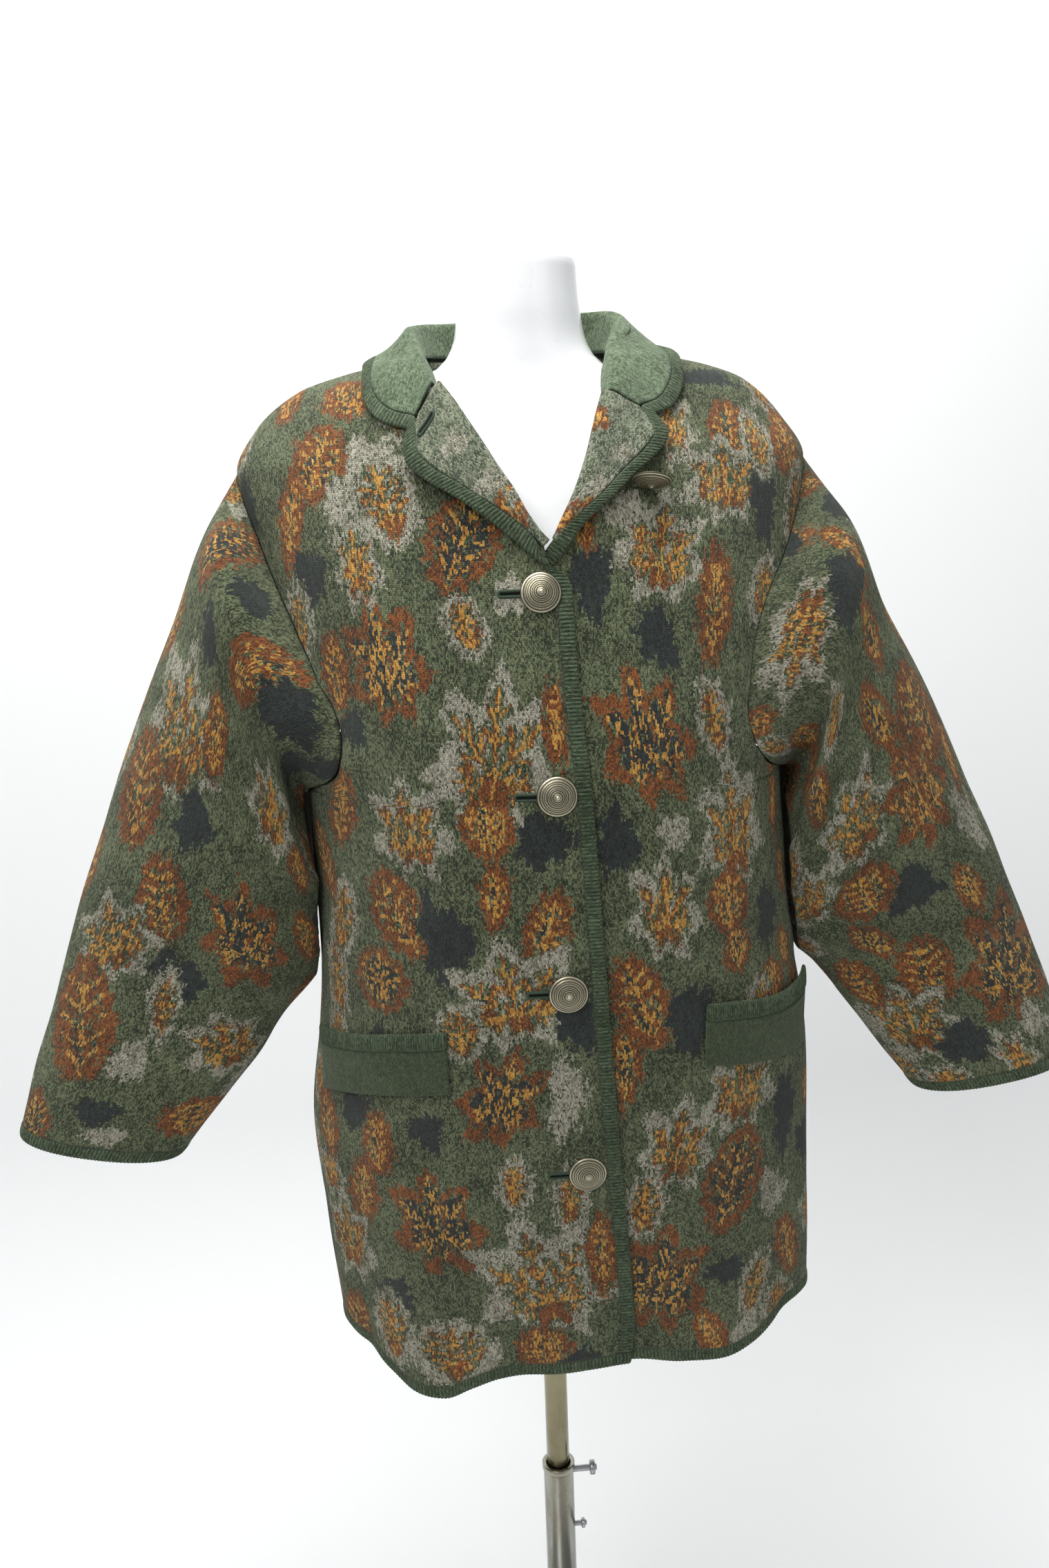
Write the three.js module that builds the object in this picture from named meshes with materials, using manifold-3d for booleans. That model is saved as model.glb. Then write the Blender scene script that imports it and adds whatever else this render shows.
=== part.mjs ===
// Boiled-wool cardigan with turned-back lapels, worn by a limbless dress form on a tube stand.
// Millimetres, +Z up, front towards -Y, floor at z = 0, the pole's axis on x = y = 0.
// Left and right are the wearer's own, so the right front lies on the -X side.
//
// The cloth lies on one body surface, a stack of rounded horizontal sections. A place on it is an
// angle (0 at +X, 90 degrees at the front, 180 at -X, 270 at the back), a height z and a lift, the
// distance that something lies above the cloth's outer face. Panels have lifts from minus the
// wool's thickness to 0, and what is sewn or folded onto them has lifts above 0.

import * as THREE from 'three';
import { mergeVertices } from 'three/addons/utils/BufferGeometryUtils.js';
import Module from 'manifold-3d';

const wasm = await Module();
wasm.setup();

// ---------------------------------------------------------------- driving dimensions

const SEAM_GAP = 0.3;
const WOOL = 3;
const LAYER_GAP = 0.6;
const WELT_GAP = 1.4;
const UNDER_DIP = 4.8;
const BAND_WIDTH = 10;
const BAND_SWELL = 0.3;
const HEM_BLEND_TOP = 760;
const UNDERLAP = 52;
const ROLL_RADIUS = 4;
const WELT_RIB_HEIGHT = 13;
const SLEEVE_CLEARANCE = 4.6;
const UNDERARM_LIFT = 1.9;
const COLLAR_CLEARANCE = 2.2;

const BUTTON_RADIUS = 15;
const BUTTON_LIFT = 0.5;
const SHANK_RADIUS = 1.1;
const BUTTONHOLE_LENGTH = 24;
const BUTTONHOLE_HEIGHT = 3;
const SHANK_ROOT = 1.6;
const HANGING_SHANK = 6;

const UPPER_TUBE_RADIUS = 10.5;
const LOWER_TUBE_RADIUS = 14;
const LOWER_TUBE_BORE = 11;
const LOWER_TUBE_TOP = 403;
const UPPER_TUBE_FOOT = 300;
const CLAMP_RIM_RADIUS = 15.2;
const CLAMP_RIM_HEIGHT = 7;
const BASE_RADIUS = 170;
const BASE_THICKNESS = 9;
const HUB_RADIUS = 24;
const HUB_HEIGHT = 34;

// Horizontal sections of the worn garment, each a rounded oval.
const BODY_SECTIONS = [
  { z: 540, halfWidth: 206, centreX: 24, front: 120, back: 122, power: 2.35 },
  { z: 600, halfWidth: 210, centreX: 21, front: 124, back: 126, power: 2.35 },
  { z: 690, halfWidth: 214, centreX: 17, front: 132, back: 128, power: 2.35 },
  { z: 780, halfWidth: 215, centreX: 13, front: 141, back: 122, power: 2.35 },
  { z: 860, halfWidth: 208, centreX: 16, front: 148, back: 114, power: 2.35 },
  { z: 930, halfWidth: 199, centreX: 13, front: 152, back: 109, power: 2.4 },
  { z: 1000, halfWidth: 196, centreX: 10, front: 154, back: 109, power: 2.4 },
  { z: 1072, halfWidth: 194, centreX: 7, front: 153, back: 113, power: 2.45 },
  { z: 1130, halfWidth: 198, centreX: 5, front: 148, back: 115, power: 2.5 },
  { z: 1200, halfWidth: 206, centreX: 4, front: 135, back: 112, power: 2.5 },
  { z: 1260, halfWidth: 217, centreX: 2, front: 120, back: 105, power: 2.3 },
  { z: 1318, halfWidth: 226, centreX: 0, front: 101, back: 93, power: 2 },
  { z: 1350, halfWidth: 208, centreX: -1, front: 84, back: 82, power: 1.85 },
  { z: 1378, halfWidth: 176, centreX: 2, front: 66, back: 70, power: 1.7 },
  { z: 1390, halfWidth: 142, centreX: 5, front: 57, back: 65, power: 1.62 },
  { z: 1397, halfWidth: 110, centreX: 6, front: 50, back: 61, power: 1.6 },
  { z: 1404, halfWidth: 80, centreX: 3, front: 45, back: 58, power: 1.7 },
];

// The hem's height round the body, in degrees.
const HEM = [
  { angle: 0, z: 586 }, { angle: 15, z: 596 }, { angle: 31, z: 603 }, { angle: 42, z: 595 },
  { angle: 52, z: 586 }, { angle: 62, z: 582 }, { angle: 72, z: 585 }, { angle: 84, z: 590 },
  { angle: 95, z: 585 }, { angle: 108, z: 581 }, { angle: 115, z: 573 }, { angle: 122, z: 565 },
  { angle: 131, z: 566 }, { angle: 140, z: 575 }, { angle: 154, z: 588 }, { angle: 163, z: 592 },
  { angle: 180, z: 585 }, { angle: 205, z: 576 }, { angle: 235, z: 572 }, { angle: 270, z: 574 },
  { angle: 305, z: 572 }, { angle: 335, z: 576 }, { angle: 360, z: 586 },
];

// Armhole edges: the share of the section's half width at which each panel ends.
const ARMHOLE = [
  { z: 1072, rightFront: 1, leftFront: 1, back: 1 },
  { z: 1077, rightFront: 0.95, leftFront: 0.94, back: 0.965 },
  { z: 1088, rightFront: 0.87, leftFront: 0.85, back: 0.91 },
  { z: 1106, rightFront: 0.815, leftFront: 0.785, back: 0.875 },
  { z: 1130, rightFront: 0.8, leftFront: 0.76, back: 0.865 },
  { z: 1165, rightFront: 0.85, leftFront: 0.765, back: 0.88 },
  { z: 1200, rightFront: 0.905, leftFront: 0.8, back: 0.905 },
  { z: 1244, rightFront: 0.948, leftFront: 0.895, back: 0.943 },
  { z: 1268, rightFront: 0.967, leftFront: 0.94, back: 0.964 },
  { z: 1292, rightFront: 0.985, leftFront: 0.97, back: 0.984 },
  { z: 1318, rightFront: 1, leftFront: 1, back: 1 },
];
const ARMHOLE_FOOT = ARMHOLE[0].z;
const SHOULDER_TIP = ARMHOLE[ARMHOLE.length - 1].z;
const NECK_TOP = 1401;

// Mean radius of the body's girth, used to measure distances round it.
const MEAN_GIRTH_RADIUS = 200;

// Large soft folds, each a ridge (height above 0) or a trough along a line on the body surface.
const FOLDS = [
  { angle: 126, z: 555, toAngle: 129, toZ: 770, width: 36, height: 9 },
  { angle: 102, z: 560, toAngle: 106, toZ: 690, width: 20, height: -4 },
  { angle: 151, z: 570, toAngle: 150, toZ: 700, width: 20, height: -4 },
  { angle: 60, z: 570, toAngle: 62, toZ: 720, width: 30, height: 4 },
  { angle: 38, z: 580, toAngle: 36, toZ: 700, width: 18, height: -3 },
  { angle: 27, z: 1092, toAngle: 43, toZ: 1178, width: 13, height: -5 },
  { angle: 150, z: 1092, toAngle: 138, toZ: 1158, width: 13, height: -4 },
  { angle: 232, z: 560, toAngle: 236, toZ: 800, width: 34, height: 6 },
  { angle: 262, z: 560, toAngle: 264, toZ: 740, width: 26, height: -4 },
  { angle: 300, z: 560, toAngle: 297, toZ: 830, width: 36, height: 7 },
  { angle: 331, z: 1085, toAngle: 318, toZ: 1170, width: 15, height: -4 },
  { angle: 209, z: 1085, toAngle: 222, toZ: 1165, width: 15, height: -4 },
];

// Front edge of the right front, which lies on top, with its band.
const FRONT_EDGE = [
  { z: 560, x: 49 }, { z: 590, x: 52 }, { z: 620, x: 56 }, { z: 667, x: 54 }, { z: 738, x: 49 },
  { z: 806, x: 44 }, { z: 887, x: 39 }, { z: 941, x: 36 }, { z: 1039, x: 31 }, { z: 1092, x: 28 },
  { z: 1137, x: 24 }, { z: 1189, x: 21.5 }, { z: 1225, x: 21 }, { z: 1240, x: 18 }, { z: 1258, x: 9 },
];
const BREAK_Z = 1244;

// Roll lines, from the break of each lapel to the neck point.
const RIGHT_ROLL = [
  { z: BREAK_Z, x: 5.4 }, { z: 1257, x: 3 }, { z: 1268, x: -5 }, { z: 1280, x: -16 }, { z: 1294, x: -24 },
  { z: 1308, x: -33 }, { z: 1327, x: -44 }, { z: 1344, x: -54 }, { z: 1358, x: -64 }, { z: 1373, x: -75 },
  { z: 1388, x: -83 }, { z: 1401, x: -86 },
];
const LEFT_ROLL = [
  { z: 1215, x: -31 }, { z: 1235, x: -12 }, { z: 1258, x: 10 }, { z: 1269, x: 19 }, { z: 1279, x: 27 },
  { z: 1291, x: 34 }, { z: 1306, x: 41 }, { z: 1321, x: 47 }, { z: 1337, x: 53 }, { z: 1351, x: 59 },
  { z: 1363, x: 67 }, { z: 1376, x: 76 }, { z: 1388, x: 83 }, { z: 1401, x: 90 },
];

// Lapels: rows from the break up to the gorge, each from the roll line to the outer edge.
const RIGHT_LAPEL = [
  { rollX: 7, rollZ: 1257, edgeX: -3, edgeZ: 1246 },
  { rollX: -5, rollZ: 1268, edgeX: -13, edgeZ: 1257 },
  { rollX: -16, rollZ: 1280, edgeX: -27, edgeZ: 1269 },
  { rollX: -24, rollZ: 1294, edgeX: -44, edgeZ: 1282 },
  { rollX: -33, rollZ: 1308, edgeX: -62, edgeZ: 1294 },
  { rollX: -44, rollZ: 1327, edgeX: -81, edgeZ: 1306 },
  { rollX: -54, rollZ: 1344, edgeX: -92, edgeZ: 1319 },
  { rollX: -62, rollZ: 1358, edgeX: -92, edgeZ: 1333 },
  { rollX: -69, rollZ: 1369, edgeX: -88, edgeZ: 1342 },
];
const LEFT_LAPEL = [
  { rollX: 11, rollZ: 1259, edgeX: 16, edgeZ: 1254 },
  { rollX: 19, rollZ: 1269, edgeX: 28, edgeZ: 1267 },
  { rollX: 27, rollZ: 1279, edgeX: 42, edgeZ: 1279 },
  { rollX: 34, rollZ: 1291, edgeX: 57, edgeZ: 1291 },
  { rollX: 41, rollZ: 1306, edgeX: 72, edgeZ: 1304 },
  { rollX: 47, rollZ: 1321, edgeX: 86, edgeZ: 1315 },
  { rollX: 52, rollZ: 1336, edgeX: 98, edgeZ: 1329 },
  { rollX: 57, rollZ: 1350, edgeX: 95, edgeZ: 1339 },
  { rollX: 61.5, rollZ: 1361, edgeX: 90, edgeZ: 1347 },
];
const LAPEL_BODY_START = 2.7;
const BREAK_ROWS = [0.15, 0.8, 1.7];
const ROLL_START = 3.2;
const TURNED_WIDTH = 24;
const LAPEL_SEAM = 1;
const FALL_SWELL = -1.5;
const COLLAR_ROWS = 28;

// Collar stations from the right gorge round the back of the neck to the left gorge: neck seam,
// top of the fold and outer edge of the fall.
const COLLAR = [
  { seamX: -67, seamY: -52, seamZ: 1371, foldX: -71, foldY: -62, foldZ: 1376, edgeX: -89, edgeY: -82, edgeZ: 1344 },
  { seamX: -68, seamY: -45, seamZ: 1377, foldX: -74, foldY: -50, foldZ: 1386, edgeX: -99, edgeY: -77, edgeZ: 1345 },
  { seamX: -70, seamY: -35, seamZ: 1385, foldX: -78, foldY: -36, foldZ: 1398, edgeX: -114, edgeY: -66, edgeZ: 1353 },
  { seamX: -73, seamY: -22, seamZ: 1393, foldX: -82, foldY: -18, foldZ: 1410, edgeX: -121, edgeY: -50, edgeZ: 1368 },
  { seamX: -76, seamY: -5, seamZ: 1400, foldX: -86, foldY: 2, foldZ: 1423, edgeX: -121, edgeY: -28, edgeZ: 1387 },
  { seamX: -74, seamY: 15, seamZ: 1403, foldX: -82, foldY: 22, foldZ: 1426, edgeX: -119, edgeY: 8, edgeZ: 1399 },
  { seamX: -63, seamY: 36, seamZ: 1405, foldX: -69, foldY: 42, foldZ: 1430, edgeX: -107, edgeY: 50, edgeZ: 1391 },
  { seamX: -42, seamY: 54, seamZ: 1406, foldX: -45, foldY: 60, foldZ: 1433, edgeX: -74, edgeY: 85, edgeZ: 1379 },
  { seamX: -20, seamY: 62, seamZ: 1407, foldX: -21, foldY: 69, foldZ: 1435, edgeX: -37, edgeY: 101, edgeZ: 1371 },
  { seamX: 1, seamY: 64, seamZ: 1407, foldX: 1, foldY: 72, foldZ: 1436, edgeX: 0, edgeY: 106, edgeZ: 1368 },
  { seamX: 22, seamY: 62, seamZ: 1407, foldX: 25, foldY: 69, foldZ: 1437, edgeX: 38, edgeY: 101, edgeZ: 1371 },
  { seamX: 44, seamY: 54, seamZ: 1406, foldX: 50, foldY: 59, foldZ: 1438, edgeX: 76, edgeY: 85, edgeZ: 1379 },
  { seamX: 63, seamY: 35, seamZ: 1405, foldX: 74, foldY: 38, foldZ: 1436, edgeX: 108, edgeY: 50, edgeZ: 1391 },
  { seamX: 71, seamY: 13, seamZ: 1403, foldX: 83, foldY: 14, foldZ: 1429, edgeX: 117, edgeY: 8, edgeZ: 1400 },
  { seamX: 69, seamY: -8, seamZ: 1398, foldX: 77, foldY: -8, foldZ: 1418, edgeX: 119, edgeY: -27, edgeZ: 1388 },
  { seamX: 64, seamY: -26, seamZ: 1391, foldX: 70, foldY: -27, foldZ: 1407, edgeX: 118, edgeY: -47, edgeZ: 1373 },
  { seamX: 60, seamY: -40, seamZ: 1383, foldX: 66, foldY: -45, foldZ: 1394, edgeX: 111, edgeY: -62, edgeZ: 1358 },
  { seamX: 58, seamY: -50, seamZ: 1374, foldX: 64, foldY: -59, foldZ: 1380, edgeX: 101, edgeY: -71, edgeZ: 1350 },
  { seamX: 57, seamY: -59, seamZ: 1364, foldX: 62, foldY: -70, foldZ: 1367, edgeX: 90, edgeY: -78, edgeZ: 1349 },
];

// Sleeve rings from the shoulder to the cuff: the ring's outer and inner points seen from the
// front, the y of its centre, and how deep it reaches to the front and the back of that.
const RIGHT_SLEEVE = [
  { outX: -249, outZ: 1281, inX: -184, inZ: 1054, midY: 0, front: 92, back: 74 },
  { outX: -282, outZ: 1206, inX: -172, inZ: 1002, midY: -7, front: 90, back: 62 },
  { outX: -319, outZ: 1125, inX: -173, inZ: 954, midY: -15, front: 82, back: 52 },
  { outX: -354, outZ: 1040, inX: -186, inZ: 916, midY: -22, front: 68, back: 46 },
  { outX: -381, outZ: 967, inX: -216, inZ: 883, midY: -28, front: 50, back: 41 },
  { outX: -402, outZ: 905, inX: -240, inZ: 849, midY: -32, front: 45, back: 37 },
  { outX: -423, outZ: 848, inX: -271, inZ: 813, midY: -37, front: 40, back: 33 },
  { outX: -439, outZ: 796, inX: -309, inZ: 768, midY: -41, front: 36, back: 30 },
];
const LEFT_SLEEVE = [
  { outX: 254, outZ: 1276, inX: 205, inZ: 1058, midY: 0, front: 92, back: 74 },
  { outX: 287, outZ: 1203, inX: 190, inZ: 1004, midY: -5, front: 90, back: 62 },
  { outX: 328, outZ: 1125, inX: 190, inZ: 956, midY: -9, front: 82, back: 52 },
  { outX: 366, outZ: 1040, inX: 202, inZ: 922, midY: -13, front: 68, back: 46 },
  { outX: 398, outZ: 970, inX: 234, inZ: 893, midY: -16, front: 50, back: 41 },
  { outX: 422, outZ: 912, inX: 259, inZ: 861, midY: -19, front: 45, back: 37 },
  { outX: 444, outZ: 853, inX: 287, inZ: 822, midY: -22, front: 40, back: 33 },
  { outX: 457, outZ: 797, inX: 322, inZ: 776, midY: -26, front: 36, back: 30 },
];
const SLEEVE_OVAL_POWER = 2.3;
const CUFF_BAND_SHARE = 0.17;
const CUFF_GAP_SHARE = 0.012;
const SLEEVE_STEPS = [0, 0.3, 0.7, 1.2, 1.8, 2.5, 3.2, 4, 5, 6, 7];

// Pocket welts: top and bottom heights along x, and how far the mouth gapes there.
const RIGHT_WELT = [
  { x: -189, top: 873, bottom: 824, gape: 5 }, { x: -170, top: 880, bottom: 831, gape: 4 },
  { x: -150, top: 885, bottom: 836, gape: 2 }, { x: -130, top: 890, bottom: 840, gape: 1 },
  { x: -108, top: 894, bottom: 843, gape: 0 }, { x: -84, top: 898, bottom: 847, gape: 0 },
];
const LEFT_WELT = [
  { x: 114, top: 907, bottom: 857, gape: 0 }, { x: 138, top: 904, bottom: 852, gape: 1 },
  { x: 160, top: 900, bottom: 848, gape: 2 }, { x: 180, top: 898, bottom: 845, gape: 4 },
  { x: 197, top: 900, bottom: 843, gape: 6 }, { x: 212, top: 905, bottom: 843, gape: 7 },
];

const BUTTONS = [
  { name: 'button_1', x: -1, z: 1224 },
  { name: 'button_2', x: 4, z: 1079 },
  { name: 'button_3', x: 8, z: 927 },
  { name: 'button_4', x: 20, z: 773 },
];
const TOP_BUTTON = { x: 83, y: -117, z: 1301, tiltX: 70, tiltY: 8 };

// Sections of the dress form, a general figure with no limbs.
const FORM_SECTIONS = [
  { z: 690, halfWidth: 132, front: 82, back: 80, power: 2.2 },
  { z: 697, halfWidth: 152, front: 97, back: 93, power: 2.2 },
  { z: 715, halfWidth: 163, front: 106, back: 101, power: 2.2 },
  { z: 760, halfWidth: 171, front: 111, back: 106, power: 2.2 },
  { z: 810, halfWidth: 172, front: 112, back: 104, power: 2.2 },
  { z: 870, halfWidth: 162, front: 106, back: 95, power: 2.15 },
  { z: 940, halfWidth: 141, front: 96, back: 84, power: 2.1 },
  { z: 1005, halfWidth: 130, front: 92, back: 80, power: 2.1 },
  { z: 1065, halfWidth: 137, front: 100, back: 85, power: 2.15 },
  { z: 1120, halfWidth: 149, front: 114, back: 91, power: 2.2 },
  { z: 1165, halfWidth: 157, front: 119, back: 95, power: 2.25 },
  { z: 1215, halfWidth: 165, front: 106, back: 96, power: 2.25 },
  { z: 1265, halfWidth: 178, front: 91, back: 88, power: 2.15 },
  { z: 1305, halfWidth: 189, front: 79, back: 79, power: 2 },
  { z: 1335, halfWidth: 188, front: 68, back: 71, power: 1.9 },
  { z: 1358, halfWidth: 169, front: 58, back: 63, power: 1.8 },
  { z: 1373, halfWidth: 130, front: 50, back: 56, power: 1.75 },
  { z: 1382, halfWidth: 92, front: 46.5, back: 53, power: 1.85 },
  { z: 1390, halfWidth: 69, front: 45.5, back: 51, power: 2 },
  { z: 1401, halfWidth: 57, front: 45, back: 49.5, power: 2 },
  { z: 1415, halfWidth: 51, front: 44.5, back: 48.5, power: 2 },
  { z: 1432, halfWidth: 48.5, front: 45, back: 48, power: 2 },
  { z: 1452, halfWidth: 46.5, front: 44.5, back: 47, power: 2 },
  { z: 1470, halfWidth: 46, front: 44, back: 46, power: 2 },
];

const CLAMP_SCREWS = [
  { name: 'clamp_screw_upper', z: 393, radius: 3, length: 22, headRadius: 6.5, headLength: 5 },
  { name: 'clamp_screw_lower', z: 333, radius: 2.5, length: 11, headRadius: 4.5, headLength: 3.5 },
];

// ---------------------------------------------------------------- materials

/** A plain material with its own colour (sRGB), roughness and metalness. */
function material(colour, roughness, metalness) {
  return new THREE.MeshStandardMaterial({ color: colour, roughness, metalness });
}

const JACQUARD_WOOL = material('#4d5a45', 0.95, 0);
const GREEN_WOOL = material('#3f5340', 0.95, 0);
const RIB_KNIT = material('#2f3f31', 0.95, 0);
const SILVER = material('#9a9486', 0.35, 1);
const FORM_WHITE = material('#f2f3f4', 0.2, 0);
const CHROME = material('#c9c8c4', 0.15, 1);
const STEEL = material('#9ea1a3', 0.4, 1);

const group = new THREE.Group();

/** Adds a geometry to the part as a named mesh with its own copy of a material. */
function addPiece(name, geometry, finish) {
  const mesh = new THREE.Mesh(geometry, finish.clone());
  mesh.name = name;
  group.add(mesh);
}

// ---------------------------------------------------------------- tables and curves

/** Slope of a column at one row, limited so that the curve never overshoots its rows. */
function slopeAt(table, key, name, i) {
  const rise = (k) => (table[k + 1][name] - table[k][name]) / (table[k + 1][key] - table[k][key]);
  const last = table.length - 1;
  if (i === 0) return rise(0);
  if (i === last) return rise(last - 1);
  const before = rise(i - 1);
  const after = rise(i);
  if (before * after <= 0) return 0;
  return (2 * before * after) / (before + after);
}

/** Smooth value of a column where the key column has the value at, from rows sorted by the key. */
function lookUp(table, key, name, at) {
  const last = table.length - 1;
  const value = Math.min(Math.max(at, table[0][key]), table[last][key]);
  let i = 0;
  while (i < last - 1 && value > table[i + 1][key]) i += 1;
  const step = table[i + 1][key] - table[i][key];
  const t = (value - table[i][key]) / step;
  const rest = 1 - t;
  return table[i][name] * (1 + 2 * t) * rest * rest
    + slopeAt(table, key, name, i) * step * t * rest * rest
    + table[i + 1][name] * t * t * (3 - 2 * t)
    - slopeAt(table, key, name, i + 1) * step * t * t * rest;
}

/** Every column of a table at a fractional row number, as an object. */
function rowAt(table, rowNumber) {
  const numbered = table.map((row, index) => ({ ...row, index }));
  const result = {};
  for (const name of Object.keys(table[0])) {
    result[name] = lookUp(numbered, 'index', name, rowNumber);
  }
  return result;
}

/** n + 1 evenly spaced values from a to b. */
function spread(a, b, n) {
  return Array.from({ length: n + 1 }, (_, i) => a + ((b - a) * i) / n);
}

function radians(degrees) {
  return (degrees * Math.PI) / 180;
}

function mix(a, b, t) {
  return a + (b - a) * t;
}

function smoothStep(t) {
  const s = Math.min(Math.max(t, 0), 1);
  return s * s * (3 - 2 * s);
}

function signedPower(value, power) {
  return Math.sign(value) * Math.abs(value) ** power;
}

// ---------------------------------------------------------------- body surface

/** Point of a rounded oval section table at an angle and a height. */
function ovalPoint(table, angle, z) {
  const power = lookUp(table, 'z', 'power', z);
  const sine = Math.sin(angle);
  const depth = lookUp(table, 'z', sine > 0 ? 'front' : 'back', z);
  const centreX = table[0].centreX === undefined ? 0 : lookUp(table, 'z', 'centreX', z);
  const x = centreX + lookUp(table, 'z', 'halfWidth', z) * signedPower(Math.cos(angle), 2 / power);
  const y = -depth * signedPower(sine, 2 / power);
  return new THREE.Vector3(x, y, z);
}

/** How far the cloth's outer face stands off the plain section at a place, from the folds. */
function relief(angle, z) {
  let total = 0;
  for (const fold of FOLDS) {
    const ax = radians(fold.angle) * MEAN_GIRTH_RADIUS;
    const dx = radians(fold.toAngle) * MEAN_GIRTH_RADIUS - ax;
    const dz = fold.toZ - fold.z;
    const px = angle * MEAN_GIRTH_RADIUS - ax;
    const pz = z - fold.z;
    const along = Math.min(Math.max((px * dx + pz * dz) / (dx * dx + dz * dz), 0), 1);
    const distance = Math.hypot(px - along * dx, pz - along * dz);
    const fade = 1 - 0.75 * smoothStep(along);
    total += fold.height * fade * Math.exp(-((distance / fold.width) ** 2));
  }
  return total;
}

/** Outward normal of the plain body surface. */
function bodyNormal(angle, z) {
  const turn = 0.004;
  const rise = 1.5;
  const along = ovalPoint(BODY_SECTIONS, angle + turn, z).sub(ovalPoint(BODY_SECTIONS, angle - turn, z));
  const up = ovalPoint(BODY_SECTIONS, angle, z + rise).sub(ovalPoint(BODY_SECTIONS, angle, z - rise));
  return up.cross(along).normalize();
}

/** Point at an angle, a height and a lift above the cloth's outer face. */
function clothPoint(angle, z, lift) {
  const point = ovalPoint(BODY_SECTIONS, angle, z);
  return point.addScaledVector(bodyNormal(angle, z), relief(angle, z) + lift);
}

/** Angle at which the front of the body surface has a given x at a height. */
function frontAngle(x, z) {
  const half = lookUp(BODY_SECTIONS, 'z', 'halfWidth', z);
  const share = (x - lookUp(BODY_SECTIONS, 'z', 'centreX', z)) / half;
  const power = lookUp(BODY_SECTIONS, 'z', 'power', z);
  return Math.acos(signedPower(Math.min(Math.max(share, -1), 1), power / 2));
}

/** Small angle from the side seam's line at which the surface lies half a seam gap from it. */
function seamAngle(z, isFront) {
  const power = lookUp(BODY_SECTIONS, 'z', 'power', z);
  const depth = lookUp(BODY_SECTIONS, 'z', isFront ? 'front' : 'back', z);
  return Math.asin((SEAM_GAP / 2 / depth) ** (power / 2));
}

/** Angle from the side line at which a panel ends: its side seam, armhole or shoulder seam. */
function sideAngle(z, panel) {
  const seam = seamAngle(z, panel !== 'back');
  if (z <= ARMHOLE_FOOT || z >= SHOULDER_TIP) return seam;
  const power = lookUp(BODY_SECTIONS, 'z', 'power', z);
  const share = lookUp(ARMHOLE, 'z', panel, z);
  return Math.max(seam, Math.acos(share ** (power / 2)));
}

function hemHeight(angle) {
  return lookUp(HEM, 'angle', 'z', (angle * 180) / Math.PI);
}

/** Height of a level at an angle: levels below the blend height follow the hem's wave. */
function levelHeight(level, angle, clearOfHem) {
  const lowest = BODY_SECTIONS[1].z;
  if (level >= HEM_BLEND_TOP) return level;
  const foot = hemHeight(angle) + clearOfHem;
  return mix(foot, HEM_BLEND_TOP, (level - lowest) / (HEM_BLEND_TOP - lowest));
}

// Signed distance estimate from the body's outer face, folds aside, and its gradient.
function bodyDistance(point) {
  const value = (p) => {
    const z = Math.min(Math.max(p.z, BODY_SECTIONS[0].z), BODY_SECTIONS[BODY_SECTIONS.length - 1].z);
    const power = lookUp(BODY_SECTIONS, 'z', 'power', z);
    const half = lookUp(BODY_SECTIONS, 'z', 'halfWidth', z);
    const depth = lookUp(BODY_SECTIONS, 'z', p.y < 0 ? 'front' : 'back', z);
    const across = Math.abs(p.x - lookUp(BODY_SECTIONS, 'z', 'centreX', z)) / half;
    return (across ** power + (Math.abs(p.y) / depth) ** power) ** (1 / power) - 1;
  };
  const step = 0.5;
  const here = value(point);
  const gradient = new THREE.Vector3();
  for (const axis of ['x', 'y', 'z']) {
    const ahead = point.clone();
    const behind = point.clone();
    ahead[axis] += step;
    behind[axis] -= step;
    gradient[axis] = (value(ahead) - value(behind)) / (2 * step);
  }
  return { distance: here / gradient.length(), direction: gradient.normalize() };
}

/** Moves a point out until it stands at least a clearance off the body's outer face. */
function pushOut(point, clearance) {
  const moved = point.clone();
  for (let pass = 0; pass < 6; pass += 1) {
    const { distance, direction } = bodyDistance(moved);
    if (distance >= clearance) break;
    moved.addScaledVector(direction, (clearance - distance) * 0.9);
  }
  return moved;
}

// ---------------------------------------------------------------- walls

/** Triangle geometry from points and faces, turned so that its faces point out. */
function closedGeometry(points, faces) {
  let volume = 0;
  const cross = new THREE.Vector3();
  for (const [a, b, c] of faces) {
    volume += points[a].dot(cross.copy(points[b]).cross(points[c]));
  }
  const order = volume > 0 ? faces : faces.map(([a, b, c]) => [a, c, b]);
  const geometry = new THREE.BufferGeometry();
  geometry.setAttribute('position', new THREE.Float32BufferAttribute(points.flatMap((p) => p.toArray()), 3));
  geometry.setIndex(order.flat());
  geometry.computeVertexNormals();
  return geometry;
}

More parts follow.
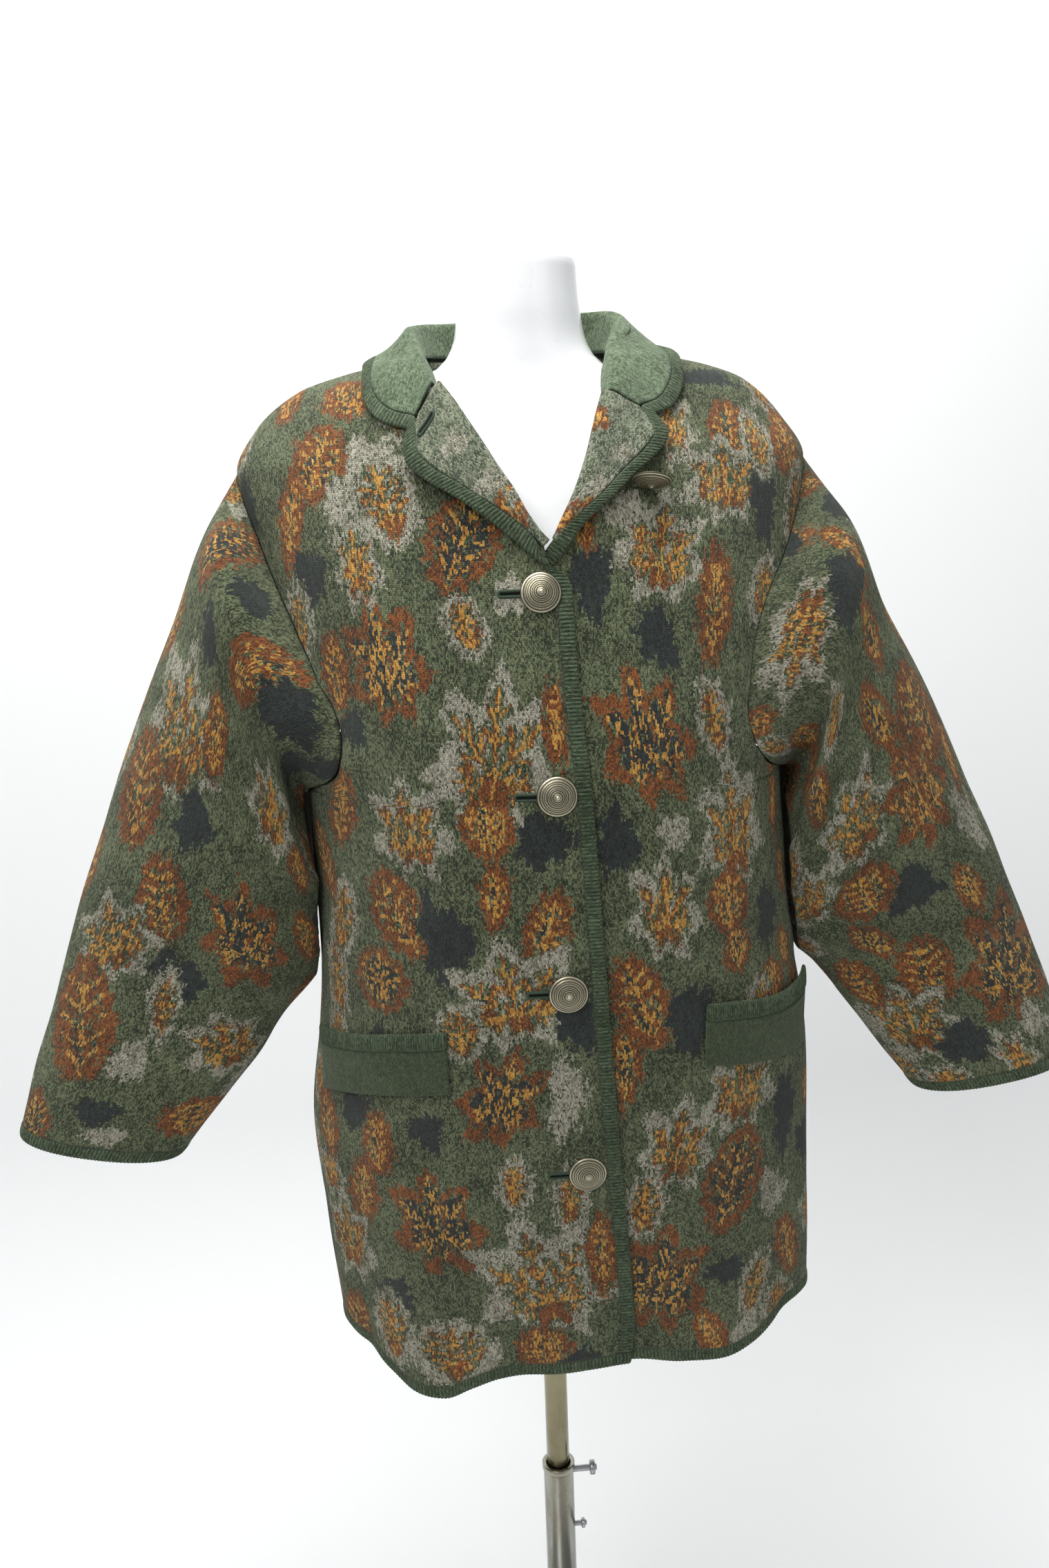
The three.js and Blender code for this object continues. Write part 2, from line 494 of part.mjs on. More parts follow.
/** Closed wall between two grids of points, outer and inner, as an open sheet or a tube. */
function wallBetween(outer, inner, isTube) {
  const rows = outer.length;
  const columns = outer[0].length;
  const size = rows * columns;
  const points = [...outer.flat(), ...inner.flat()];
  const at = (i, j) => i * columns + (j % columns);
  const faces = [];
  const quad = (a, b, c, d) => faces.push([a, b, c], [a, c, d]);
  const spans = isTube ? columns : columns - 1;
  for (let i = 0; i < rows - 1; i += 1) {
    for (let j = 0; j < spans; j += 1) {
      quad(at(i, j), at(i, j + 1), at(i + 1, j + 1), at(i + 1, j));
      quad(size + at(i + 1, j), size + at(i + 1, j + 1), size + at(i, j + 1), size + at(i, j));
    }
  }
  for (let j = 0; j < spans; j += 1) {
    quad(at(0, j + 1), at(0, j), size + at(0, j), size + at(0, j + 1));
    quad(at(rows - 1, j), at(rows - 1, j + 1), size + at(rows - 1, j + 1), size + at(rows - 1, j));
  }
  if (!isTube) {
    for (let i = 0; i < rows - 1; i += 1) {
      quad(at(i, 0), at(i + 1, 0), size + at(i + 1, 0), size + at(i, 0));
      quad(at(i + 1, columns - 1), at(i, columns - 1), size + at(i, columns - 1), size + at(i + 1, columns - 1));
    }
  }
  return closedGeometry(points, faces);
}

/** Wall on the body surface from a grid of places {angle, z, lift} and its thickness. */
function clothWall(places, thickness) {
  const face = (drop) => places.map((row) => row.map((p) => clothPoint(p.angle, p.z, p.lift - drop)));
  return wallBetween(face(0), face(thickness), false);
}

/** Wall made of a grid of middle points, thickened to both sides along the grid's normals. */
function sheetWall(grid, above, below, isTube) {
  const rows = grid.length;
  const columns = grid[0].length;
  const normal = (i, j) => {
    const left = isTube ? (j + columns - 1) % columns : Math.max(j - 1, 0);
    const right = isTube ? (j + 1) % columns : Math.min(j + 1, columns - 1);
    const across = grid[i][right].clone().sub(grid[i][left]);
    const along = grid[Math.min(i + 1, rows - 1)][j].clone().sub(grid[Math.max(i - 1, 0)][j]);
    return across.cross(along).normalize();
  };
  const offset = (amount) => grid.map((row, i) => row.map((p, j) => p.clone().addScaledVector(normal(i, j), amount)));
  return wallBetween(offset(above), offset(-below), isTube);
}

/** Solid of a closed geometry for cutting and joining. */
function toSolid(geometry) {
  const bare = geometry.clone();
  bare.deleteAttribute('normal');
  bare.deleteAttribute('uv');
  const merged = mergeVertices(bare, 1e-4);
  return new wasm.Manifold(new wasm.Mesh({
    numProp: 3,
    vertProperties: new Float32Array(merged.attributes.position.array),
    triVerts: new Uint32Array(merged.index.array),
  }));
}

/** Geometry of a solid after cutting or joining. */
function toGeometry(solid) {
  const mesh = solid.getMesh();
  const geometry = new THREE.BufferGeometry();
  geometry.setAttribute('position', new THREE.BufferAttribute(new Float32Array(mesh.vertProperties), 3));
  geometry.setIndex(Array.from(mesh.triVerts));
  geometry.computeVertexNormals();
  return geometry;
}

// ---------------------------------------------------------------- body panels

const PANEL_LEVELS = [
  600, 650, 700, 760, 825, 890, 960, 1030, ...ARMHOLE.map((row) => row.z),
  1334, 1350, 1365, 1378, 1390, NECK_TOP,
];
const HEM_CLEAR = BAND_WIDTH + SEAM_GAP;

/** Inner edge of the right front's panel: beside its band, then along the roll line. */
function rightFrontEdgeX(z) {
  if (z >= BREAK_Z) return lookUp(RIGHT_ROLL, 'z', 'x', z);
  return lookUp(FRONT_EDGE, 'z', 'x', z) - BAND_WIDTH - SEAM_GAP;
}

/** Inner edge of the left front's panel: hidden under the right front, then the roll line. */
function leftFrontEdgeX(z) {
  if (z >= LEFT_ROLL[0].z) return lookUp(LEFT_ROLL, 'z', 'x', z);
  return lookUp(FRONT_EDGE, 'z', 'x', z) - UNDERLAP;
}

/** Lift of the left front, which dips under the right front beside their common edge. */
function leftFrontLift(angle, z) {
  const edge = lookUp(FRONT_EDGE, 'z', 'x', z);
  const past = ovalPoint(BODY_SECTIONS, angle, z).x - edge;
  const above = 1 - smoothStep((z - 1235) / 70);
  const beside = 1 - smoothStep((past - 4) / 42);
  return -UNDER_DIP * beside * mix(0.35, 1, above);
}

/** Grid of a panel between two angle functions of height, on the panel's levels. */
function panelPlaces(columns, firstAngle, lastAngle, lift) {
  return PANEL_LEVELS.map((level) => {
    const start = firstAngle(level);
    const end = lastAngle(level);
    return spread(start, end, columns).map((angle) => {
      const z = levelHeight(level, angle, HEM_CLEAR);
      return { angle, z, lift: lift(angle, z) };
    });
  });
}

/** Box lying along the cloth at a front place, for cutting a buttonhole. */
function buttonholeCutter(button) {
  const angle = frontAngle(button.x, button.z);
  const box = new THREE.BoxGeometry(BUTTONHOLE_LENGTH, BUTTONHOLE_HEIGHT, 5 * WOOL);
  const frame = placement(angle, button.z, 0);
  const shift = new THREE.Matrix4().makeTranslation(SHANK_RADIUS + SEAM_GAP - BUTTONHOLE_LENGTH / 2, 0, 0);
  return toSolid(box.applyMatrix4(frame.multiply(shift)));
}

/** Frame at a place on the cloth: x along the cloth, y up the cloth, z out of it. */
function placement(angle, z, lift) {
  const out = bodyNormal(angle, z);
  const side = new THREE.Vector3(0, 0, 1).cross(out).normalize();
  const up = out.clone().cross(side);
  return new THREE.Matrix4().makeBasis(side, up, out).setPosition(clothPoint(angle, z, lift));
}

function onPanel() {
  return 0;
}

const FRONT_COLUMNS = 12;
const BACK_COLUMNS = 18;
const PANELS = {
  rightFront: panelPlaces(
    FRONT_COLUMNS,
    (z) => Math.PI - sideAngle(z, 'rightFront'),
    (z) => frontAngle(rightFrontEdgeX(z), z),
    onPanel,
  ),
  leftFront: panelPlaces(
    FRONT_COLUMNS,
    (z) => frontAngle(leftFrontEdgeX(z), z),
    (z) => sideAngle(z, 'leftFront'),
    leftFrontLift,
  ),
  back: panelPlaces(
    BACK_COLUMNS,
    (z) => Math.PI + sideAngle(z, 'back'),
    (z) => 2 * Math.PI - sideAngle(z, 'back'),
    onPanel,
  ),
};

function buildPanels() {
  let solid = toSolid(clothWall(PANELS.rightFront, WOOL));
  for (const button of BUTTONS) solid = solid.subtract(buttonholeCutter(button));
  addPiece('right_front', toGeometry(solid), JACQUARD_WOOL);
  addPiece('left_front', clothWall(PANELS.leftFront, WOOL), JACQUARD_WOOL);
  addPiece('back_panel', clothWall(PANELS.back, WOOL), JACQUARD_WOOL);
}

// ---------------------------------------------------------------- bands

/** Knitted band below a panel's lowest row, and past its last column to an end angle if given. */
function hemBand(panel, lift, endAngle) {
  const angles = panel[0].map((place) => place.angle);
  if (endAngle !== undefined) angles.push(endAngle);
  return clothWall([0, BAND_WIDTH].map((above) => angles.map((angle) => {
    const z = hemHeight(angle) + above;
    return { angle, z, lift: lift(angle, z) + BAND_SWELL };
  })), WOOL + 2 * BAND_SWELL);
}

/** Knitted band along the right front's edge, from the hem band up to the lapel's break. */
function frontBand() {
  const edgeX = (z) => lookUp(FRONT_EDGE, 'z', 'x', z);
  const levels = PANEL_LEVELS.filter((level) => level <= BREAK_Z);
  return clothWall(levels.map((level) => [BAND_WIDTH, 0].map((inset) => {
    const angle = frontAngle(edgeX(level) - inset, level);
    return { angle, z: levelHeight(level, angle, HEM_CLEAR), lift: BAND_SWELL };
  })), WOOL + 2 * BAND_SWELL);
}

function buildBands() {
  const hemZ = BODY_SECTIONS[1].z;
  const frontEdge = frontAngle(lookUp(FRONT_EDGE, 'z', 'x', hemZ), hemZ);
  addPiece('right_hem_band', hemBand(PANELS.rightFront, onPanel, frontEdge), RIB_KNIT);
  addPiece('left_hem_band', hemBand(PANELS.leftFront, leftFrontLift), RIB_KNIT);
  addPiece('back_hem_band', hemBand(PANELS.back, onPanel), RIB_KNIT);
  addPiece('right_front_band', frontBand(), RIB_KNIT);
}

// ---------------------------------------------------------------- lapels

/** Place across a lapel: a distance from the roll line towards the edge, and a lift. */
function lapelPlace(row, distance, lift) {
  const width = Math.hypot(row.edgeX - row.rollX, row.edgeZ - row.rollZ);
  const x = mix(row.rollX, row.edgeX, distance / width);
  const z = mix(row.rollZ, row.edgeZ, distance / width);
  return clothPoint(frontAngle(x, z), z, lift);
}

/** Lift of the middle of the turned sheet, highest next to the roll and flat on the panel after. */
function turnedLift(distance) {
  const flat = LAYER_GAP + BAND_SWELL + WOOL / 2;
  const top = 2 * ROLL_RADIUS - WOOL / 2;
  return flat + (top - flat) * (1 - smoothStep(distance / TURNED_WIDTH));
}

/** Row numbers along a lapel's body, from where it is wider than its band up to the gorge. */
function lapelRows(table) {
  return spread(LAPEL_BODY_START, table.length - 1, 8);
}

/** Turned-back lapel: round the roll from the panel's edge, then over the panel. */
function lapelBody(table) {
  const rows = lapelRows(table).map((s) => {
    const row = rowAt(table, s);
    const width = Math.hypot(row.edgeX - row.rollX, row.edgeZ - row.rollZ);
    const end = width - BAND_WIDTH - LAPEL_SEAM;
    const arc = [-90, -140, -180, -225].map((degrees) => ({
      distance: -ROLL_START + ROLL_RADIUS * Math.cos(radians(degrees)),
      lift: -WOOL / 2 + ROLL_RADIUS + ROLL_RADIUS * Math.sin(radians(degrees)),
    }));
    const flat = spread(0, end, 4).map((distance) => ({ distance, lift: turnedLift(distance) }));
    return [...arc, ...flat].map((p) => lapelPlace(row, p.distance, p.lift));
  });
  return sheetWall(rows, WOOL / 2, WOOL / 2, false);
}

/** Knitted band along a lapel's edge, from the break to the gorge. */
function lapelBand(table) {
  const rows = [...BREAK_ROWS, ...lapelRows(table)].map((s) => {
    const row = rowAt(table, s);
    const width = Math.hypot(row.edgeX - row.rollX, row.edgeZ - row.rollZ);
    const start = Math.max(width - BAND_WIDTH, 0.5);
    return spread(start, width, 2).map((distance) => lapelPlace(row, distance, turnedLift(distance)));
  });
  return sheetWall(rows, WOOL / 2 + BAND_SWELL, WOOL / 2 + BAND_SWELL, false);
}

function buildLapels() {
  addPiece('right_lapel', lapelBody(RIGHT_LAPEL), JACQUARD_WOOL);
  addPiece('left_lapel', lapelBody(LEFT_LAPEL), JACQUARD_WOOL);
  addPiece('right_lapel_band', lapelBand(RIGHT_LAPEL), RIB_KNIT);
  addPiece('left_lapel_band', lapelBand(LEFT_LAPEL), RIB_KNIT);
}

// ---------------------------------------------------------------- collar

/** Middle of the collar's sheet and of its band at a station: up the stand, over the fold and down. */
function collarSection(station) {
  const seam = new THREE.Vector3(station.seamX, station.seamY, station.seamZ);
  const fold = new THREE.Vector3(station.foldX, station.foldY, station.foldZ);
  const edge = new THREE.Vector3(station.edgeX, station.edgeY, station.edgeZ);
  const out = edge.clone().sub(seam).setZ(0).normalize();
  const over = (outward, up) => fold.clone().addScaledVector(out, outward).add(new THREE.Vector3(0, 0, up));
  const shoulder = over(3.2, -2.2);
  const stand = [seam, seam.clone().lerp(over(-3.2, -3), 0.5), over(-3.2, -3), over(-1.2, -0.5), over(1.2, -0.3)];
  const fallLength = shoulder.distanceTo(edge);
  const fallPoint = (share) => {
    const swell = FALL_SWELL * Math.sin(Math.PI * share) * Math.SQRT1_2;
    const point = shoulder.clone().lerp(edge, share).addScaledVector(out, swell);
    return pushOut(point.add(new THREE.Vector3(0, 0, swell)), WOOL / 2 + COLLAR_CLEARANCE);
  };
  const bodyShares = [0, 0.5, 1].map((t) => t * (1 - (BAND_WIDTH + LAPEL_SEAM) / fallLength));
  const bandShares = [1, 0.5, 0].map((t) => 1 - (t * BAND_WIDTH) / fallLength);
  return { body: [...stand, ...bodyShares.map(fallPoint)], band: bandShares.map(fallPoint) };
}

function buildCollar() {
  const sections = spread(0, COLLAR.length - 1, COLLAR_ROWS).map((s) => collarSection(rowAt(COLLAR, s)));
  const body = sections.map((section) => section.body);
  const band = sections.map((section) => section.band);
  addPiece('collar', sheetWall(body, WOOL / 2, WOOL / 2, false), GREEN_WOOL);
  addPiece('collar_band', sheetWall(band, WOOL / 2 + BAND_SWELL, WOOL / 2 + BAND_SWELL, false), RIB_KNIT);
}

// ---------------------------------------------------------------- sleeves

/** Armhole loop of a side as points: front edge from foot to tip, then back edge to the foot. */
function armholeLoop(isRight) {
  const panel = isRight ? 'rightFront' : 'leftFront';
  const sideLine = isRight ? Math.PI : 0;
  const frontTurn = isRight ? -1 : 1;
  const lift = (z) => UNDERARM_LIFT * (1 - smoothStep((z - ARMHOLE_FOOT) / 45));
  const front = ARMHOLE.map((row) => {
    const angle = row.z === ARMHOLE_FOOT || row.z === SHOULDER_TIP ? 0 : sideAngle(row.z, panel);
    return clothPoint(sideLine + frontTurn * angle, row.z, lift(row.z));
  });
  const backRows = ARMHOLE.slice(1, -1).reverse();
  const back = backRows.map((row) => {
    const angle = sideLine - frontTurn * sideAngle(row.z, 'back');
    return clothPoint(angle < 0 ? angle + 2 * Math.PI : angle, row.z, lift(row.z));
  });
  return [...front, ...back];
}

/** Share of the way round the ring for each loop point: 0 at the foot, 0.5 at the tip. */
function loopShares(loop) {
  const half = ARMHOLE.length - 1;
  const lengths = loop.map((p, k) => p.distanceTo(loop[(k + 1) % loop.length]));
  const total = (from, to) => lengths.slice(from, to).reduce((sum, value) => sum + value, 0);
  return loop.map((_, k) => (k <= half
    ? (0.5 * total(0, k)) / total(0, half)
    : 0.5 + (0.5 * total(half, k)) / total(half, loop.length)));
}

/** Point of a sleeve ring at a share of the way round, 0 at the inner point. */
function ringPoint(ring, share) {
  const turn = share * 2 * Math.PI;
  const across = -signedPower(Math.cos(turn), 2 / SLEEVE_OVAL_POWER);
  const depthwise = signedPower(Math.sin(turn), 2 / SLEEVE_OVAL_POWER);
  const x = mix(ring.inX, ring.outX, (across + 1) / 2);
  const z = mix(ring.inZ, ring.outZ, (across + 1) / 2);
  const depth = depthwise > 0 ? ring.front : ring.back;
  return new THREE.Vector3(x, ring.midY - depth * depthwise, z);
}

/** Smooth sleeve surface through the armhole loop and the rings; s runs 0 to the ring count. */
function sleeveSurface(table, isRight) {
  const loop = armholeLoop(isRight);
  const shares = loopShares(loop);
  const strings = loop.map((start, k) => {
    const rings = table.map((ring) => ringPoint(ring, shares[k]));
    const away = rings[0].clone().sub(start).normalize();
    return [start.clone().addScaledVector(away, 1.3 * SEAM_GAP), ...rings];
  });
  return (s) => strings.map((points) => {
    const last = points.length - 1;
    const i = Math.min(Math.floor(s), last - 1);
    const t = s - i;
    const tangent = (k) => points[Math.min(k + 1, last)].clone().sub(points[Math.max(k - 1, 0)])
      .multiplyScalar(k === 0 || k === last ? 1 : 0.5);
    const value = points[i].clone().multiplyScalar((1 + 2 * t) * (1 - t) ** 2);
    value.addScaledVector(tangent(i), t * (1 - t) ** 2);
    value.addScaledVector(points[i + 1], t * t * (3 - 2 * t));
    value.addScaledVector(tangent(i + 1), -t * t * (1 - t));
    return s === 0 ? value : pushOut(value, SLEEVE_CLEARANCE * smoothStep(0.2 + s * 2));
  });
}

function buildSleeve(side, table) {
  const surface = sleeveSurface(table, side === 'right');
  const last = table.length;
  const cuffStart = last - CUFF_BAND_SHARE;
  const steps = [...SLEEVE_STEPS, cuffStart - CUFF_GAP_SHARE];
  const isFlipped = side === 'left';
  addPiece(`${side}_sleeve`, buildTube(surface, steps, 0, WOOL, isFlipped), JACQUARD_WOOL);
  const cuff = [cuffStart, last];
  addPiece(`${side}_cuff_band`, buildTube(surface, cuff, BAND_SWELL, WOOL + BAND_SWELL, isFlipped), RIB_KNIT);
}

/** Tube wall on a ring surface, reaching above and below it; flipped where rings run the other way. */
function buildTube(surface, steps, above, below, isFlipped) {
  const grid = steps.map((s) => surface(s));
  const turned = isFlipped ? grid.map((row) => [...row].reverse()) : grid;
  return sheetWall(turned, above, below, true);
}

// ---------------------------------------------------------------- pocket welts

/** Welt lying on the panel: a plain wall whose ribbed upper edge swells out on both sides. */
function weltWall(table) {
  const height = table[0].top - table[0].bottom;
  const ribShare = 1 - WELT_RIB_HEIGHT / height;
  const swellShare = BAND_SWELL / height;
  const shares = [...spread(0, ribShare, 2), ...spread(ribShare + swellShare, 1, 2)];
  const face = (drop, side) => shares.map((share) => spread(0, table.length - 1, 10).map((s) => {
    const row = rowAt(table, s);
    const z = mix(row.bottom, row.top, share);
    const swell = share > ribShare ? BAND_SWELL : 0;
    const gape = row.gape * smoothStep((share - 0.25) / 0.75);
    return clothPoint(frontAngle(row.x, z), z, WELT_GAP + WOOL + gape - drop + side * swell);
  }));
  return wallBetween(face(0, 1), face(WOOL, -1), false);
}

function buildWelts() {
  addPiece('right_pocket_welt', weltWall(RIGHT_WELT), GREEN_WOOL);
  addPiece('left_pocket_welt', weltWall(LEFT_WELT), GREEN_WOOL);
}

// ---------------------------------------------------------------- buttons

/** Domed metal button, hollow at the back, with its shank; local +Z points out of the cloth. */
function buttonGeometry(shankLength) {
  const r = BUTTON_RADIUS;
  const profile = [
    [0, SHANK_ROOT], [0.75 * r, 0.9], [0.94 * r, 0], [r, 0.9],
    [0.75 * r, 3.4], [0.4 * r, 5], [0.2 * r, 5.8], [0, 7],
  ];
  const head = new THREE.LatheGeometry(profile.map(([x, y]) => new THREE.Vector2(x, y)), 18);
  head.rotateX(Math.PI / 2);
  const buried = 1;
  const shank = new THREE.CylinderGeometry(SHANK_RADIUS, SHANK_RADIUS, shankLength + buried, 8);
  shank.rotateX(Math.PI / 2);
  shank.translate(0, 0, SHANK_ROOT + buried - (shankLength + buried) / 2);
  return toGeometry(toSolid(head).add(toSolid(shank)));
}

function buildButtons() {
  const reach = SHANK_ROOT + BUTTON_LIFT + WOOL + LAYER_GAP + BAND_SWELL - SEAM_GAP;
  for (const button of BUTTONS) {
    const frame = placement(frontAngle(button.x, button.z), button.z, BUTTON_LIFT);
    addPiece(button.name, buttonGeometry(reach).applyMatrix4(frame), SILVER);
  }
  const hanging = buttonGeometry(HANGING_SHANK);
  hanging.rotateX(radians(90 + TOP_BUTTON.tiltX));
  hanging.rotateY(radians(TOP_BUTTON.tiltY));
  hanging.translate(TOP_BUTTON.x, TOP_BUTTON.y, TOP_BUTTON.z);
  addPiece('button_top', hanging, SILVER);
}

// ---------------------------------------------------------------- dress form and stand

/** Closed body through the rings of a section table, with flat ends. */
function loftedBody(table, heights, columns) {
  const points = heights.flatMap((z) => spread(0, 2 * Math.PI, columns).slice(0, -1)
    .map((angle) => ovalPoint(table, angle, z)));
  const faces = [];
  const at = (i, j) => i * columns + (j % columns);
  for (let i = 0; i < heights.length - 1; i += 1) {
    for (let j = 0; j < columns; j += 1) {
      faces.push([at(i, j), at(i, j + 1), at(i + 1, j + 1)], [at(i, j), at(i + 1, j + 1), at(i + 1, j)]);
    }
  }
  for (const [end, isTop] of [[0, false], [heights.length - 1, true]]) {
    points.push(new THREE.Vector3(0, 0, heights[end]));
    const centre = points.length - 1;
    for (let j = 0; j < columns; j += 1) {
      const [a, b] = [at(end, j), at(end, j + 1)];
      faces.push(isTop ? [a, b, centre] : [b, a, centre]);
    }
  }
  return closedGeometry(points, faces);
}

/** Solid of revolution about the pole's axis from a closed profile of [radius, z] pairs. */
function turned(profile, segments) {
  const geometry = new THREE.LatheGeometry(profile.map(([r, z]) => new THREE.Vector2(r, z)), segments);
  return geometry.rotateX(Math.PI / 2);
}

function buildForm() {
  addPiece('form_torso', loftedBody(FORM_SECTIONS, FORM_SECTIONS.map((row) => row.z), 28), FORM_WHITE);
}

function buildStand() {
  const formFoot = FORM_SECTIONS[0].z;
  const upperTop = formFoot - SEAM_GAP;
  addPiece('pole_upper', turned([
    [0, UPPER_TUBE_FOOT], [UPPER_TUBE_RADIUS, UPPER_TUBE_FOOT], [UPPER_TUBE_RADIUS, upperTop], [0, upperTop],
  ], 24), CHROME);

  const lowerFoot = BASE_THICKNESS + HUB_HEIGHT / 2 + SEAM_GAP;
  let lower = toSolid(turned([
    [LOWER_TUBE_BORE, lowerFoot], [LOWER_TUBE_RADIUS, lowerFoot],
    [LOWER_TUBE_RADIUS, LOWER_TUBE_TOP - CLAMP_RIM_HEIGHT], [CLAMP_RIM_RADIUS, LOWER_TUBE_TOP - CLAMP_RIM_HEIGHT],
    [CLAMP_RIM_RADIUS, LOWER_TUBE_TOP], [LOWER_TUBE_BORE, LOWER_TUBE_TOP], [LOWER_TUBE_BORE, lowerFoot],
  ], 24));
  for (const screw of CLAMP_SCREWS) {
    const drill = new THREE.CylinderGeometry(screw.radius + SEAM_GAP, screw.radius + SEAM_GAP, 12, 16);
    drill.rotateZ(Math.PI / 2);
    drill.translate(LOWER_TUBE_RADIUS, 0, screw.z);
    lower = lower.subtract(toSolid(drill));
  }
  addPiece('pole_lower', toGeometry(lower), CHROME);

  for (const screw of CLAMP_SCREWS) {
    const inner = UPPER_TUBE_RADIUS + SEAM_GAP;
    const outer = LOWER_TUBE_RADIUS + screw.length;
    const bolt = new THREE.CylinderGeometry(screw.radius, screw.radius, outer - inner, 14);
    bolt.rotateZ(Math.PI / 2);
    bolt.translate((inner + outer) / 2, 0, screw.z);
    const head = new THREE.CylinderGeometry(screw.headRadius, screw.headRadius, screw.headLength, 6);
    head.rotateZ(Math.PI / 2);
    head.translate(outer - screw.headLength / 2 - 1.5, 0, screw.z);
    addPiece(screw.name, toGeometry(toSolid(bolt).add(toSolid(head))), STEEL);
  }

  const top = BASE_THICKNESS + HUB_HEIGHT;
  const seat = BASE_THICKNESS + HUB_HEIGHT / 2;
  const bore = LOWER_TUBE_RADIUS + SEAM_GAP;
  addPiece('base_plate', turned([
    [0, 0], [BASE_RADIUS - 2, 0], [BASE_RADIUS, 2], [BASE_RADIUS, BASE_THICKNESS - 2],
    [BASE_RADIUS - 3, BASE_THICKNESS], [HUB_RADIUS + 4, BASE_THICKNESS], [HUB_RADIUS, BASE_THICKNESS + 4],
    [HUB_RADIUS, top - 2], [HUB_RADIUS - 2, top], [bore, top], [bore, seat], [0, seat],
  ], 36), STEEL);
}

buildPanels();
buildBands();
buildLapels();
buildCollar();
buildSleeve('right', RIGHT_SLEEVE);
buildSleeve('left', LEFT_SLEEVE);
buildWelts();
buildButtons();
buildForm();
buildStand();

export default group;
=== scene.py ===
"""Leaf-patterned boiled-wool cardigan on a limbless dress form and tube stand, dressed for rendering.

Tables and surfaces are in millimetres, and meshes in metres. The frame has +Z up and the front
towards -Y. Right and left are the wearer's own, so the right front lies on the -X side.
"""

import logging
import math
from collections.abc import Callable, Sequence
from dataclasses import dataclass
from enum import Enum

import bpy
import numpy as np
from mathutils import Matrix


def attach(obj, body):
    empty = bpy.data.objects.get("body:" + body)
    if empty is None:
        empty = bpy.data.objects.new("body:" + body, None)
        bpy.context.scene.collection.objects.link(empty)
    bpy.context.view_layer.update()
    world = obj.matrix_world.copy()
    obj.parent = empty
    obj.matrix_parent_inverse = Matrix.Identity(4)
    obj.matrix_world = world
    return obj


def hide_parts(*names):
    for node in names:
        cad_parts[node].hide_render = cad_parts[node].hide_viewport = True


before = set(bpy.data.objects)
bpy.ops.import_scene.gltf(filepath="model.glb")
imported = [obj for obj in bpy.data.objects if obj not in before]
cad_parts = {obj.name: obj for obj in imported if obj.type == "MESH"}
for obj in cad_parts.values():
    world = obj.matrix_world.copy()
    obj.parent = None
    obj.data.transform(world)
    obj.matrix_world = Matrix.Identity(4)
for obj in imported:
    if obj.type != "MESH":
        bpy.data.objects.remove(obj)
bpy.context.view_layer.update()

LOG = logging.getLogger("cardigan")
MM = 0.001
Rows = Sequence[Sequence[float]]
Grid = np.ndarray

# ---------------------------------------------------------------- the garment's driving sizes

WOOL = 3.0
BAND_WIDTH = 10.0
BAND_SWELL = 0.3
LAYER_GAP = 0.6
WELT_GAP = 1.4
UNDER_DIP = 4.8
UNDERLAP = 52.0
ROLL_RADIUS = 4.0
ROLL_START = 3.2
TURNED_WIDTH = 24.0
EDGE_SPRING = 6.5
SLEEVE_CLEARANCE = 4.6
UNDERARM_LIFT = 1.9
COLLAR_CLEARANCE = 2.2
SEAM_GAP = 0.3
BREAK_Z = 1244.0
NECK_TOP = 1401.0
HEM_BLEND_TOP = 760.0
LOWEST_LEVEL = 600.0
MEAN_GIRTH_RADIUS = 200.0
CLOTH_STEP = 2.5
RIB_PITCH = 2.9

# z, half width, centre x, front depth, back depth, roundness
BODY_SECTIONS = (
    (540, 206, 24, 120, 122, 2.35), (600, 210, 21, 124, 126, 2.35), (690, 214, 17, 132, 128, 2.35),
    (780, 215, 13, 141, 122, 2.35), (860, 208, 16, 148, 114, 2.35), (930, 199, 13, 152, 109, 2.4),
    (1000, 196, 10, 154, 109, 2.4), (1072, 194, 7, 153, 113, 2.45), (1130, 198, 5, 148, 115, 2.5),
    (1200, 206, 4, 135, 112, 2.5), (1260, 217, 2, 120, 105, 2.3), (1318, 226, 0, 101, 93, 2),
    (1350, 208, -1, 84, 82, 1.85), (1378, 176, 2, 66, 70, 1.7), (1390, 142, 5, 57, 65, 1.62),
    (1397, 110, 6, 50, 61, 1.6), (1404, 80, 3, 45, 58, 1.7),
)
# angle in degrees, z
HEM = (
    (0, 586), (15, 596), (31, 603), (42, 595), (52, 586), (62, 582), (72, 585), (84, 590), (95, 585),
    (108, 581), (115, 573), (122, 565), (131, 566), (140, 575), (154, 588), (163, 592), (180, 585),
    (205, 576), (235, 572), (270, 574), (305, 572), (335, 576), (360, 586),
)
# z, then the share of the half width at which the right front, left front and back end
ARMHOLE = (
    (1072, 1, 1, 1), (1077, 0.95, 0.94, 0.965), (1088, 0.87, 0.85, 0.91), (1106, 0.815, 0.785, 0.875),
    (1130, 0.8, 0.76, 0.865), (1165, 0.85, 0.765, 0.88), (1200, 0.905, 0.8, 0.905),
    (1244, 0.948, 0.895, 0.943), (1268, 0.967, 0.94, 0.964), (1292, 0.985, 0.97, 0.984), (1318, 1, 1, 1),
)
# angle, z, to angle, to z, width, height: the large folds that the solids have too
LARGE_FOLDS = (
    (126, 555, 129, 770, 36, 9), (102, 560, 106, 690, 20, -4), (151, 570, 150, 700, 20, -4),
    (60, 570, 62, 720, 30, 4), (38, 580, 36, 700, 18, -3), (27, 1092, 43, 1178, 13, -5),
    (150, 1092, 138, 1158, 13, -4), (232, 560, 236, 800, 34, 6), (262, 560, 264, 740, 26, -4),
    (300, 560, 297, 830, 36, 7), (331, 1085, 318, 1170, 15, -4), (209, 1085, 222, 1165, 15, -4),
)
